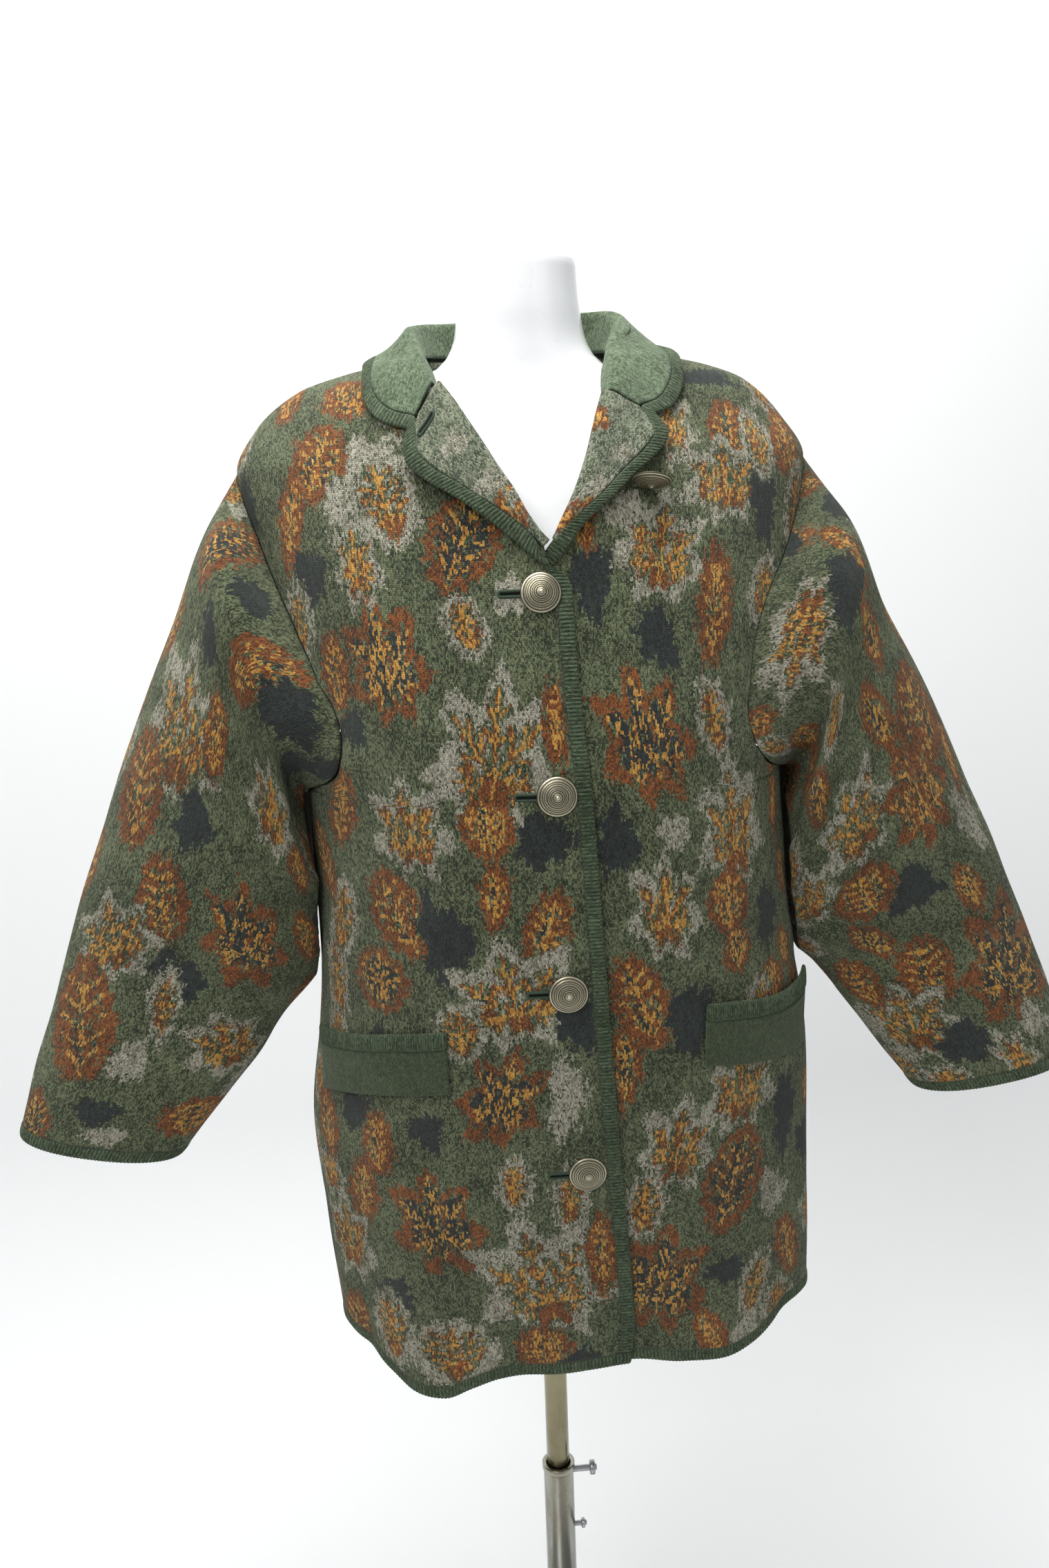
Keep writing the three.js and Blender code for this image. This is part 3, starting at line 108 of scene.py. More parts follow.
# the same columns: small creases, uneven in length, depth and spacing
SMALL_CREASES = (
    (146, 1092, 131, 1156, 8, -3.4), (151, 1120, 139, 1200, 9, 2.4), (140, 1098, 124, 1118, 6, 1.2),
    (31, 1092, 50, 1148, 8, -3.4), (36, 1104, 46, 1200, 9, 2.6), (40, 1088, 60, 1098, 6, 1.1),
    (160, 985, 146, 1040, 12, -1.6), (166, 930, 152, 965, 10, 1.3), (20, 985, 33, 1046, 12, -1.7),
    (14, 925, 29, 962, 10, 1.4), (97, 1214, 112, 1196, 7, -1.1), (96, 1078, 113, 1064, 8, -1.2),
    (94, 926, 109, 940, 8, -1.0), (88, 772, 101, 760, 8, -0.9), (112, 1000, 124, 962, 14, 1.2),
    (70, 1010, 61, 968, 14, 1.3), (118, 780, 121, 660, 12, -1.8), (133, 800, 139, 650, 14, 1.8),
    (144, 760, 147, 640, 11, -1.4), (158, 740, 160, 620, 12, 1.6), (83, 720, 80, 610, 12, 1.2),
    (74, 760, 71, 630, 13, -1.4), (52, 780, 50, 640, 12, 1.5), (45, 720, 44, 610, 10, -1.3),
    (24, 760, 22, 630, 14, 1.6), (12, 700, 12, 610, 10, -1.4), (170, 700, 171, 610, 10, -1.2),
    (128, 1330, 140, 1286, 14, -1.2), (52, 1330, 40, 1284, 14, -1.2), (110, 1240, 104, 1180, 12, 0.9),
    (212, 1098, 228, 1150, 7, -1.8), (207, 1120, 219, 1190, 7, 1.4), (220, 1100, 240, 1116, 7, 1.2),
    (328, 1098, 312, 1146, 7, -1.7), (333, 1118, 322, 1186, 7, 1.5), (320, 1094, 302, 1112, 7, 1.0),
    (196, 960, 214, 1010, 12, -1.5), (345, 955, 330, 1006, 12, -1.6), (250, 1290, 290, 1296, 16, 1.4),
    (244, 1262, 262, 1250, 12, -1.0), (296, 1260, 279, 1246, 12, -1.1), (222, 800, 224, 640, 14, -1.7),
    (246, 780, 248, 640, 13, 1.6), (254, 700, 255, 600, 11, -1.3), (278, 800, 277, 620, 15, -1.8),
    (288, 720, 287, 600, 12, 1.4), (312, 800, 310, 640, 14, -1.6), (322, 740, 321, 610, 12, 1.5),
    (338, 760, 337, 630, 12, -1.4), (190, 720, 190, 610, 11, 1.3), (204, 780, 206, 640, 13, 1.5),
    (262, 1000, 271, 930, 18, -1.2), (282, 1040, 276, 960, 16, 1.0),
)
# z, x of the right front's outer edge
FRONT_EDGE = (
    (560, 49), (590, 52), (620, 56), (667, 54), (738, 49), (806, 44), (887, 39), (941, 36), (1039, 31),
    (1092, 28), (1137, 24), (1189, 21.5), (1225, 21), (1240, 18), (1258, 9),
)
# z, x of the roll lines
RIGHT_ROLL = (
    (1244, 5.4), (1257, 3), (1268, -5), (1280, -16), (1294, -24), (1308, -33), (1327, -44), (1344, -54),
    (1358, -64), (1373, -75), (1388, -83), (1401, -86),
)
LEFT_ROLL = (
    (1215, -31), (1235, -12), (1258, 10), (1269, 19), (1279, 27), (1291, 34), (1306, 41), (1321, 47),
    (1337, 53), (1351, 59), (1363, 67), (1376, 76), (1388, 83), (1401, 90),
)
# roll x, roll z, edge x, edge z
RIGHT_LAPEL = (
    (7, 1257, -3, 1246), (-5, 1268, -13, 1257), (-16, 1280, -27, 1269), (-24, 1294, -44, 1282),
    (-33, 1308, -62, 1294), (-44, 1327, -81, 1306), (-54, 1344, -92, 1319), (-62, 1358, -92, 1333),
    (-69, 1369, -88, 1342),
)
LEFT_LAPEL = (
    (11, 1259, 16, 1254), (19, 1269, 28, 1267), (27, 1279, 42, 1279), (34, 1291, 57, 1291),
    (41, 1306, 72, 1304), (47, 1321, 86, 1315), (52, 1336, 98, 1329), (57, 1350, 95, 1339),
    (61.5, 1361, 90, 1347),
)
# seam x y z, fold x y z, edge x y z, from the right gorge round the neck to the left gorge
COLLAR = (
    (-67, -52, 1371, -71, -62, 1376, -89, -82, 1344), (-68, -45, 1377, -74, -50, 1386, -99, -77, 1345),
    (-70, -35, 1385, -78, -36, 1398, -114, -66, 1353), (-73, -22, 1393, -82, -18, 1410, -121, -50, 1368),
    (-76, -5, 1400, -86, 2, 1423, -121, -28, 1387), (-74, 15, 1403, -82, 22, 1426, -119, 8, 1399),
    (-63, 36, 1405, -69, 42, 1430, -107, 50, 1391), (-42, 54, 1406, -45, 60, 1433, -74, 85, 1379),
    (-20, 62, 1407, -21, 69, 1435, -37, 101, 1371), (1, 64, 1407, 1, 72, 1436, 0, 106, 1368),
    (22, 62, 1407, 25, 69, 1437, 38, 101, 1371), (44, 54, 1406, 50, 59, 1438, 76, 85, 1379),
    (63, 35, 1405, 74, 38, 1436, 108, 50, 1391), (71, 13, 1403, 83, 14, 1429, 117, 8, 1400),
    (69, -8, 1398, 77, -8, 1418, 119, -27, 1388), (64, -26, 1391, 70, -27, 1407, 118, -47, 1373),
    (60, -40, 1383, 66, -45, 1394, 111, -62, 1358), (58, -50, 1374, 64, -59, 1380, 101, -71, 1350),
    (57, -59, 1364, 62, -70, 1367, 90, -78, 1349),
)
FALL_SWELL = -1.5
# outer x and z, inner x and z, middle y, reach to the front, reach to the back
RIGHT_SLEEVE = (
    (-249, 1281, -184, 1054, 0, 92, 74), (-282, 1206, -172, 1002, -7, 90, 62),
    (-319, 1125, -173, 954, -15, 82, 52), (-354, 1040, -186, 916, -22, 68, 46),
    (-381, 967, -216, 883, -28, 50, 41), (-402, 905, -240, 849, -32, 45, 37),
    (-423, 848, -271, 813, -37, 40, 33), (-439, 796, -309, 768, -41, 36, 30),
)
LEFT_SLEEVE = (
    (254, 1276, 205, 1058, 0, 92, 74), (287, 1203, 190, 1004, -5, 90, 62),
    (328, 1125, 190, 956, -9, 82, 52), (366, 1040, 202, 922, -13, 68, 46),
    (398, 970, 234, 893, -16, 50, 41), (422, 912, 259, 861, -19, 45, 37),
    (444, 853, 287, 822, -22, 40, 33), (457, 797, 322, 776, -26, 36, 30),
)
SLEEVE_OVAL_POWER = 2.3
CUFF_BAND_SHARE = 0.17
CUFF_GAP_SHARE = 0.012
# along, share round, to along, to share, width, height
RIGHT_SLEEVE_CREASES = (
    (0.4, 0.20, 2.6, 0.16, 11, 3.8), (0.3, 0.13, 2.1, 0.10, 10, -4.4), (0.5, 0.29, 2.1, 0.26, 12, -2.6),
    (1.2, 0.08, 2.4, 0.22, 10, -2.0), (2.0, 0.05, 3.1, 0.20, 9, 1.8), (2.9, 0.10, 3.5, 0.36, 12, -1.8),
    (3.5, 0.06, 4.1, 0.30, 10, 1.7), (4.1, 0.10, 4.6, 0.38, 12, -1.5), (5.0, 0.12, 5.5, 0.34, 11, 1.3),
    (5.9, 0.16, 6.4, 0.40, 12, -1.2), (6.8, 0.10, 7.3, 0.28, 10, 1.0), (0.5, 0.84, 2.2, 0.88, 10, -2.2),
    (1.0, 0.76, 2.4, 0.80, 12, 1.8), (2.6, 0.92, 3.2, 0.70, 12, -1.8), (3.5, 0.94, 4.0, 0.66, 11, 1.6),
    (4.4, 0.90, 4.8, 0.64, 12, -1.5), (5.4, 0.88, 5.8, 0.66, 12, 1.3), (6.5, 0.86, 6.9, 0.68, 11, -1.1),
    (1.5, 0.45, 2.8, 0.40, 16, 1.2), (3.6, 0.48, 4.6, 0.44, 14, -1.1),
)
LEFT_SLEEVE_CREASES = (
    (0.3, 0.15, 2.1, 0.12, 10, -4.4), (0.5, 0.22, 2.6, 0.18, 11, 3.6), (0.3, 0.29, 1.9, 0.29, 12, -2.8),
    (1.4, 0.07, 2.3, 0.24, 9, 2.0), (2.1, 0.09, 2.8, 0.30, 10, -2.2), (2.8, 0.05, 3.6, 0.26, 11, 1.6),
    (3.4, 0.10, 4.0, 0.36, 12, -1.7), (4.2, 0.08, 4.9, 0.30, 11, 1.5), (5.1, 0.12, 5.6, 0.40, 13, -1.4),
    (6.1, 0.14, 6.5, 0.32, 10, 1.1), (6.9, 0.20, 7.3, 0.42, 10, -0.9), (0.5, 0.86, 2.0, 0.90, 10, -2.4),
    (1.1, 0.78, 2.6, 0.83, 12, 1.7), (2.4, 0.94, 3.1, 0.72, 12, -1.7), (3.4, 0.93, 3.8, 0.68, 12, 1.7),
    (4.3, 0.91, 4.9, 0.66, 12, -1.6), (5.5, 0.90, 5.9, 0.68, 11, 1.2), (6.4, 0.86, 6.8, 0.66, 12, -1.2),
    (1.7, 0.46, 3.0, 0.42, 15, -1.2), (3.9, 0.50, 4.7, 0.45, 15, 1.2),
)
# x, top z, bottom z, gape
RIGHT_WELT = (
    (-189, 873, 824, 5), (-170, 880, 831, 4), (-150, 885, 836, 2), (-130, 890, 840, 1), (-108, 894, 843, 0),
    (-84, 898, 847, 0),
)
LEFT_WELT = (
    (114, 907, 857, 0), (138, 904, 852, 1), (160, 900, 848, 2), (180, 898, 845, 4), (197, 900, 843, 6),
    (212, 905, 843, 7),
)
WELT_RIB_HEIGHT = 13.0
WELT_TRIM = 0.3
STITCHED_LINE = 6.2
# node name, x, z
BUTTONS = (("button_1", -1, 1224), ("button_2", 4, 1079), ("button_3", 8, 927), ("button_4", 20, 773))
TOP_BUTTON = (83, -117, 1301)
TOP_BUTTON_TILT = 70.0
TOP_BUTTON_LEAN = 8.0
BUTTON_RADIUS = 15.0
BUTTON_LIFT = 0.5
SHANK_RADIUS = 1.1
SHANK_ROOT = 1.6
# z, half width, front, back, roundness
FORM_SECTIONS = (
    (690, 132, 82, 80, 2.2), (697, 152, 97, 93, 2.2), (715, 163, 106, 101, 2.2), (760, 171, 111, 106, 2.2),
    (810, 172, 112, 104, 2.2), (870, 162, 106, 95, 2.15), (940, 141, 96, 84, 2.1), (1005, 130, 92, 80, 2.1),
    (1065, 137, 100, 85, 2.15), (1120, 149, 114, 91, 2.2), (1165, 157, 119, 95, 2.25),
    (1215, 165, 106, 96, 2.25), (1265, 178, 91, 88, 2.15), (1305, 189, 79, 79, 2), (1335, 188, 68, 71, 1.9),
    (1358, 169, 58, 63, 1.8), (1373, 130, 50, 56, 1.75), (1382, 92, 46.5, 53, 1.85), (1390, 69, 45.5, 51, 2),
    (1401, 57, 45, 49.5, 2), (1415, 51, 44.5, 48.5, 2), (1432, 48.5, 45, 48, 2), (1452, 46.5, 44.5, 47, 2),
    (1470, 46, 44, 46, 2),
)


# ---------------------------------------------------------------- leaves of the jacquard


class Outline(Enum):
    """Kind of leaf outline."""

    MAPLE = "lobed"
    ELM = "oval"
    SLIM = "narrow"
    PATCH = "patch"


class Tone(Enum):
    """Yarns of a leaf: its body, and what lies along its veins."""

    RUST = "rust with gold veins"
    RUST_NAVY = "rust with a navy heart and gold veins"
    GREY = "grey rim, green heart and gold veins"
    NAVY = "navy patch"
    PALE = "pale grey patch"


@dataclass(frozen=True)
class Leaf:
    """One leaf of the jacquard: outline, tone, place, size in millimetres and turn in degrees."""

    outline: Outline
    tone: Tone
    across: float
    up: float
    width: float
    height: float
    turn: float


def leaf_rows(rows: Sequence[tuple[str, str, float, float, float, float, float]]) -> list[Leaf]:
    """Leaves from short rows.

    Args:
        rows: Outline letter, tone letter, place across, place up, width, height and turn.

    Returns:
        The leaves in the order in which they are knitted, the last on top.
    """
    outlines = {"M": Outline.MAPLE, "E": Outline.ELM, "S": Outline.SLIM, "P": Outline.PATCH}
    tones = {"r": Tone.RUST, "n": Tone.RUST_NAVY, "g": Tone.GREY, "d": Tone.NAVY, "p": Tone.PALE}
    return [Leaf(outlines[o], tones[t], *rest) for o, t, *rest in rows]


# across is x and up is z, both where the leaf's middle shows from the front
RIGHT_FRONT_LEAVES = leaf_rows((
    ("P", "p", -120, 1315, 65, 71, 0), ("E", "g", -109, 1292, 53, 64, 15), ("E", "r", -158, 1322, 51, 66, -20),
    ("E", "r", -136, 1368, 50, 43, 40), ("P", "p", -144, 1293, 30, 47, 0), ("S", "r", -180, 1283, 27, 79, -15),
    ("P", "d", -168, 1240, 36, 48, 0), ("M", "n", -115, 1175, 60, 100, 12), ("S", "r", -152, 1169, 29, 59, 0),
    ("P", "d", -142, 1129, 29, 35, 0), ("E", "n", -55, 1262, 57, 75, -25), ("P", "p", -21, 1223, 40, 34, 0),
    ("M", "g", -39, 1110, 85, 116, -8), ("E", "r", -47, 1056, 46, 46, 10), ("P", "d", -6, 1048, 51, 46, 0),
    ("S", "r", 3, 1131, 20, 62, 0), ("M", "g", -104, 1055, 58, 75, 6), ("E", "r", -116, 990, 53, 71, 25),
    ("P", "d", -84, 968, 47, 83, 10), ("E", "n", -133, 934, 55, 49, 0), ("S", "r", -7, 976, 41, 64, -20),
    ("M", "g", -33, 925, 95, 83, 10), ("P", "d", 13, 900, 36, 54, 0), ("S", "g", -168, 923, 35, 70, 0),
    ("M", "n", -46, 840, 65, 87, -18), ("P", "p", 4, 841, 37, 93, 0), ("P", "d", -159, 819, 39, 39, 0),
    ("E", "g", -75, 896, 42, 42, 0), ("M", "n", -98, 730, 73, 99, 8), ("E", "r", -159, 746, 40, 60, -10),
    ("M", "g", -173, 694, 56, 77, 0), ("P", "d", -137, 655, 42, 42, 0), ("S", "r", -174, 603, 44, 66, -15),
    ("E", "g", -142, 622, 43, 64, 0), ("M", "g", -19, 672, 101, 115, 14), ("S", "r", 29, 698, 30, 73, 0),
    ("E", "g", -91, 608, 77, 56, 0), ("E", "r", -19, 610, 56, 42, 20), ("P", "d", 14, 597, 42, 28, 0),
))
LEFT_FRONT_LEAVES = leaf_rows((
    ("E", "r", 153, 1335, 44, 62, 0), ("M", "g", 144, 1297, 73, 67, 0), ("P", "d", 175, 1282, 31, 74, 0),
    ("S", "g", 175, 1329, 31, 57, 10), ("P", "d", 141, 1379, 70, 26, 0), ("M", "g", 90, 1251, 70, 76, -12),
    ("S", "r", 129, 1210, 34, 88, -8), ("P", "p", 66, 1280, 41, 35, 0), ("S", "r", 29, 1273, 23, 46, 15),
    ("E", "r", 202, 1329, 39, 65, 0), ("M", "n", 73, 1118, 69, 109, 14), ("P", "d", 49, 1042, 35, 58, 0),
    ("P", "p", 91, 1047, 35, 35, 0), ("M", "g", 139, 1039, 60, 102, 4), ("E", "r", 135, 985, 49, 49, 0),
    ("P", "d", 171, 966, 31, 57, 0), ("S", "r", 180, 1065, 19, 94, 0), ("M", "g", 85, 987, 53, 77, 0),
    ("E", "r", 63, 915, 51, 78, 16), ("P", "d", 102, 897, 43, 68, 0), ("S", "n", 50, 861, 28, 68, 0),
    ("E", "r", 176, 910, 38, 38, 0), ("M", "g", 146, 827, 65, 71, 0), ("M", "g", 94, 786, 61, 77, -6),
    ("E", "n", 140, 748, 60, 87, -20), ("P", "d", 188, 791, 34, 88, 0), ("M", "n", 80, 661, 75, 103, -10),
    ("P", "p", 177, 724, 41, 55, 10), ("P", "p", 153, 597, 44, 44, 0), ("S", "r", 195, 662, 36, 65, 15),
    ("E", "g", 193, 594, 44, 52, 0), ("P", "d", 134, 665, 42, 28, 0),
))
RIGHT_SLEEVE_LEAVES = leaf_rows((
    ("E", "n", -229, 1268, 49, 74, 25), ("M", "g", -194, 1318, 55, 92, 10), ("S", "r", -165, 1357, 37, 55, -40),
    ("P", "d", -212, 1226, 37, 37, 0), ("M", "g", -271, 1130, 81, 94, 15), ("E", "r", -307, 1085, 57, 70, 20),
    ("P", "d", -266, 1061, 38, 50, 0), ("S", "r", -244, 1125, 31, 56, 10), ("E", "r", -210, 1175, 55, 74, -15),
    ("P", "d", -189, 1144, 68, 49, 0), ("M", "g", -208, 1064, 53, 69, 0), ("S", "r", -192, 1016, 32, 38, 20),
    ("E", "r", -298, 996, 51, 64, 30), ("M", "g", -340, 966, 72, 59, 40), ("P", "d", -297, 931, 52, 59, 0),
    ("M", "n", -235, 963, 77, 96, 20), ("E", "r", -372, 896, 64, 94, 22), ("P", "p", -337, 863, 40, 47, 0),
    ("M", "g", -259, 868, 66, 66, 30), ("E", "r", -294, 808, 68, 41, 0), ("P", "d", -367, 821, 41, 28, 0),
    ("P", "p", -363, 800, 42, 21, 0), ("S", "g", -308, 911, 26, 59, 10),
))
LEFT_SLEEVE_LEAVES = leaf_rows((
    ("E", "n", 192, 1305, 31, 82, 0), ("S", "r", 196, 1252, 31, 57, 0), ("M", "g", 200, 1182, 58, 92, 84),
    ("E", "r", 242, 1250, 26, 70, -20), ("P", "d", 240, 1217, 70, 45, 0), ("P", "d", 186, 1252, 38, 38, 0),
    ("M", "g", 249, 1030, 72, 79, 10), ("E", "r", 302, 1114, 72, 66, -15), ("M", "r", 301, 1047, 73, 86, 10),
    ("P", "d", 296, 968, 61, 47, 0), ("E", "r", 260, 970, 67, 53, 0), ("E", "n", 198, 1059, 39, 90, 10),
    ("M", "g", 217, 962, 53, 66, 0), ("P", "p", 350, 1028, 34, 75, 0), ("E", "r", 318, 894, 55, 69, -10),
    ("M", "g", 309, 846, 77, 84, 0), ("M", "n", 393, 890, 85, 114, -25), ("P", "d", 354, 825, 57, 50, 0),
    ("S", "g", 346, 776, 44, 29, 0), ("P", "p", 415, 842, 36, 44, 0), ("P", "d", 288, 1278, 32, 39, 0),
    ("S", "r", 332, 1084, 20, 60, -20),
))
# across is the angle round the body and up is z
BACK_LEAVES = leaf_rows((
    ("M", "n", 268, 1268, 74, 100, 8), ("E", "r", 247, 1310, 56, 74, -16), ("M", "g", 228, 1268, 84, 104, 10),
    ("P", "d", 238, 1232, 52, 50, 0), ("E", "g", 290, 1322, 58, 66, 12), ("M", "g", 306, 1262, 88, 108, -12),
    ("E", "r", 322, 1298, 50, 76, 18), ("P", "p", 283, 1226, 44, 60, 0), ("S", "r", 256, 1192, 28, 84, -12),
    ("M", "r", 216, 1196, 70, 90, 14), ("E", "n", 296, 1172, 58, 84, 20), ("P", "d", 310, 1150, 54, 58, 0),
    ("M", "g", 270, 1120, 92, 118, -6), ("E", "r", 263, 1064, 52, 56, 8), ("P", "d", 281, 1062, 56, 44, 0),
    ("M", "n", 240, 1090, 70, 104, 12), ("E", "g", 221, 1110, 56, 70, -10), ("P", "p", 230, 1030, 40, 56, 0),
    ("M", "n", 318, 1062, 72, 106, -14), ("E", "r", 334, 1104, 48, 70, 10), ("S", "g", 303, 1090, 30, 74, 0),
    ("E", "r", 208, 1036, 50, 76, 14), ("M", "g", 196, 990, 70, 90, -8), ("P", "d", 211, 968, 48, 64, 0),
    ("M", "g", 300, 986, 78, 96, 8), ("E", "r", 289, 936, 54, 66, -12), ("P", "d", 312, 930, 52, 60, 0),
    ("E", "n", 256, 972, 56, 82, -18), ("M", "g", 238, 946, 84, 90, 12), ("E", "r", 226, 900, 50, 64, 16),
    ("S", "r", 334, 996, 30, 80, 12), ("M", "r", 346, 946, 62, 84, -10), ("P", "p", 330, 890, 46, 56, 0),
    ("M", "n", 272, 866, 76, 106, -10), ("P", "d", 288, 838, 50, 54, 0), ("E", "g", 252, 868, 52, 60, 0),
    ("M", "g", 306, 852, 88, 100, 14), ("E", "r", 322, 812, 52, 70, -14), ("M", "g", 210, 830, 82, 98, -12),
    ("E", "r", 196, 880, 50, 72, 10), ("P", "d", 224, 794, 54, 56, 0), ("E", "n", 243, 786, 58, 84, 16),
    ("M", "g", 262, 752, 84, 104, 6), ("E", "r", 274, 712, 52, 60, 8), ("S", "r", 290, 760, 30, 82, -10),
    ("M", "n", 304, 722, 74, 100, -8), ("P", "p", 320, 742, 46, 60, 0), ("E", "g", 338, 762, 54, 72, 10),
    ("M", "r", 214, 706, 70, 90, 12), ("P", "d", 231, 690, 50, 50, 0), ("E", "g", 196, 738, 50, 66, 0),
    ("M", "g", 246, 650, 88, 100, -8), ("E", "r", 262, 628, 54, 60, 14), ("P", "d", 278, 642, 56, 52, 0),
    ("M", "g", 292, 634, 82, 96, 10), ("E", "r", 310, 622, 50, 64, -12), ("M", "n", 330, 660, 72, 98, 14),
    ("E", "r", 346, 700, 48, 72, -8), ("P", "d", 344, 622, 50, 48, 0), ("M", "g", 200, 636, 78, 90, 10),
    ("E", "r", 218, 622, 52, 56, -10), ("S", "g", 348, 1032, 28, 60, 0), ("P", "p", 190, 1050, 34, 50, 0),
))
# across is the share of the way round the sleeve, and up the step along it, on its hidden half
SLEEVE_BACK_LEAVES = leaf_rows((
    ("M", "g", 0.62, 0.9, 74, 92, 10), ("E", "r", 0.75, 0.7, 54, 72, -14), ("P", "d", 0.86, 1.0, 52, 48, 0),
    ("M", "n", 0.72, 1.9, 72, 96, 12), ("E", "r", 0.56, 1.9, 50, 68, 16), ("S", "g", 0.88, 1.9, 28, 66, 0),
    ("M", "g", 0.62, 3.0, 80, 90, -10), ("E", "r", 0.76, 2.9, 54, 70, 14), ("P", "d", 0.84, 3.4, 54, 50, 0),
    ("E", "n", 0.90, 2.7, 48, 70, -12), ("M", "r", 0.70, 4.1, 66, 84, 8), ("P", "p", 0.58, 4.0, 44, 50, 0),
    ("M", "g", 0.86, 4.5, 70, 84, 10), ("E", "r", 0.60, 5.1, 50, 68, -10), ("P", "d", 0.72, 5.2, 50, 44, 0),
    ("M", "n", 0.80, 5.9, 66, 86, 12), ("E", "g", 0.66, 6.2, 50, 62, 0), ("M", "g", 0.58, 7.0, 60, 70, 10),
    ("E", "r", 0.74, 7.1, 50, 60, 16), ("P", "d", 0.88, 7.0, 44, 40, 0), ("E", "r", 0.97, 5.4, 46, 60, 0),
    ("M", "g", 0.98, 3.6, 60, 76, 0), ("E", "r", 0.99, 1.9, 46, 66, 10), ("P", "p", 0.04, 6.6, 40, 40, 0),
))
# across is the distance in from the roll, and up the distance along the lapel
RIGHT_LAPEL_LEAVES = leaf_rows((
    ("E", "r", 16, 34, 30, 46, -34), ("P", "p", 22, 60, 24, 22, 0), ("S", "g", 8, 52, 14, 34, -20),
    ("P", "p", 28, 98, 26, 20, 0),
))
LEFT_LAPEL_LEAVES = leaf_rows((
    ("E", "g", 14, 24, 26, 44, 26), ("P", "p", 24, 46, 26, 26, 0), ("S", "r", 8, 20, 14, 34, 30),
    ("E", "r", 10, 104, 20, 18, 40), ("P", "p", 34, 78, 20, 18, 0),
))


# ---------------------------------------------------------------- numbers


def smooth_step(t: Grid | float) -> Grid:
    """Smooth rise from 0 at t = 0 to 1 at t = 1."""
    s = np.clip(t, 0.0, 1.0)
    return s * s * (3 - 2 * s)


def mix(a: Grid | float, b: Grid | float, t: Grid | float) -> Grid:
    """Blend of a and b at the share t."""
    return a + (b - a) * t


def signed_power(value: Grid, power: Grid | float) -> Grid:
    """Power of a value's size with the value's own sign."""
    return np.sign(value) * np.abs(value) ** power


def unit(vectors: Grid) -> Grid:
    """Vectors of length one along the last axis."""
    return vectors / np.maximum(np.linalg.norm(vectors, axis=-1, keepdims=True), 1e-9)


class Curve:
    """Smooth curve through the rows of a table that never overshoots them."""

    def __init__(self, at: Sequence[float], value: Sequence[float]) -> None:
        """Keeps the rows and works out a slope at each.

        Args:
            at: Rising places of the rows.
            value: Values at those places.
        """
        self.at = np.asarray(at, float)
        self.value = np.asarray(value, float)
        rise = np.diff(self.value) / np.diff(self.at)
        slope = np.zeros(len(self.at))
        slope[0], slope[-1] = rise[0], rise[-1]
        before, after = rise[:-1], rise[1:]
        same = before * after > 0
        total = np.where(same, before + after, 1.0)
        slope[1:-1] = np.where(same, 2 * before * after / total, 0.0)
        self.slope = slope

    @classmethod
    def of(cls, rows: Rows) -> "Curve":
        """Curve through rows of a place and a value."""
        return cls(*np.asarray(rows, float).T)

    def __call__(self, where: Grid | float) -> Grid:
        """Value of the curve.

        Args:
            where: Places at which it is wanted.

        Returns:
            The values, in the same arrangement.
        """
        place = np.clip(np.asarray(where, float), self.at[0], self.at[-1])
        i = np.clip(np.searchsorted(self.at, place, side="left") - 1, 0, len(self.at) - 2)
        step = self.at[i + 1] - self.at[i]
        t = (place - self.at[i]) / step
        rest = 1 - t
        return (
            self.value[i] * (1 + 2 * t) * rest * rest
            + self.slope[i] * step * t * rest * rest
            + self.value[i + 1] * t * t * (3 - 2 * t)
            - self.slope[i + 1] * step * t * t * rest
        )


def table_curves(rows: Rows, names: Sequence[str]) -> dict[str, Curve]:
    """Curves of a table's columns against its first column.

    Args:
        rows: The table, whose first column rises.
        names: Names of the other columns.

    Returns:
        One curve for each name.
    """
    columns = np.asarray(rows, float).T
    return {name: Curve(columns[0], columns[k + 1]) for k, name in enumerate(names)}


def numbered_curves(rows: Rows, names: Sequence[str]) -> dict[str, Curve]:
    """Curves of a table's columns against the row number, with one name for each column."""
    columns = np.asarray(rows, float).T
    number = np.arange(len(rows))
    return {name: Curve(number, columns[k]) for k, name in enumerate(names)}


def arc_length(points: Grid, axis: int) -> Grid:
    """Distance along a grid's rows or columns from its first point.

    Args:
        points: Grid of points.
        axis: 0 to measure down the columns and 1 to measure along the rows.

    Returns:
        Distances with the grid's rows and columns.
    """
    steps = np.linalg.norm(np.diff(points, axis=axis), axis=-1)
    pad = [(0, 0)] * steps.ndim
    pad[axis] = (1, 0)
    return np.cumsum(np.pad(steps, pad), axis=axis)


def resample(points: Grid, spacing: float) -> Grid:
    """Polyline with its points evenly spaced.

    Args:
        points: Points of the line, with more columns after x, y and z if wanted.
        spacing: Wanted distance between points.

    Returns:
        The new points, ends included.
    """
    length = arc_length(points[:, :3], 0)
    count = max(int(round(length[-1] / spacing)), 2)
    at = np.linspace(0, length[-1], count + 1)
    return np.stack([np.interp(at, length, points[:, k]) for k in range(points.shape[1])], axis=1)


def spline_rows(keys: Grid, count: int) -> Grid:
    """Smooth curve through each row of a grid of points.

    Args:
        keys: Grid of points, row by row.
        count: How many points each curve gets.

    Returns:
        Grid with as many rows.
    """
    last = keys.shape[1] - 1
    spots = np.linspace(0, last, count)
    low = np.clip(spots.astype(int), 0, last - 1)
    t = (spots - low)[None, :, None]
    before, after = np.clip(low - 1, 0, None), np.clip(low + 2, None, last)
    a, b, c, d = keys[:, before], keys[:, low], keys[:, low + 1], keys[:, after]
    return 0.5 * (2 * b + (c - a) * t + (2 * a - 5 * b + 4 * c - d) * t**2 + (3 * b - a - 3 * c + d) * t**3)


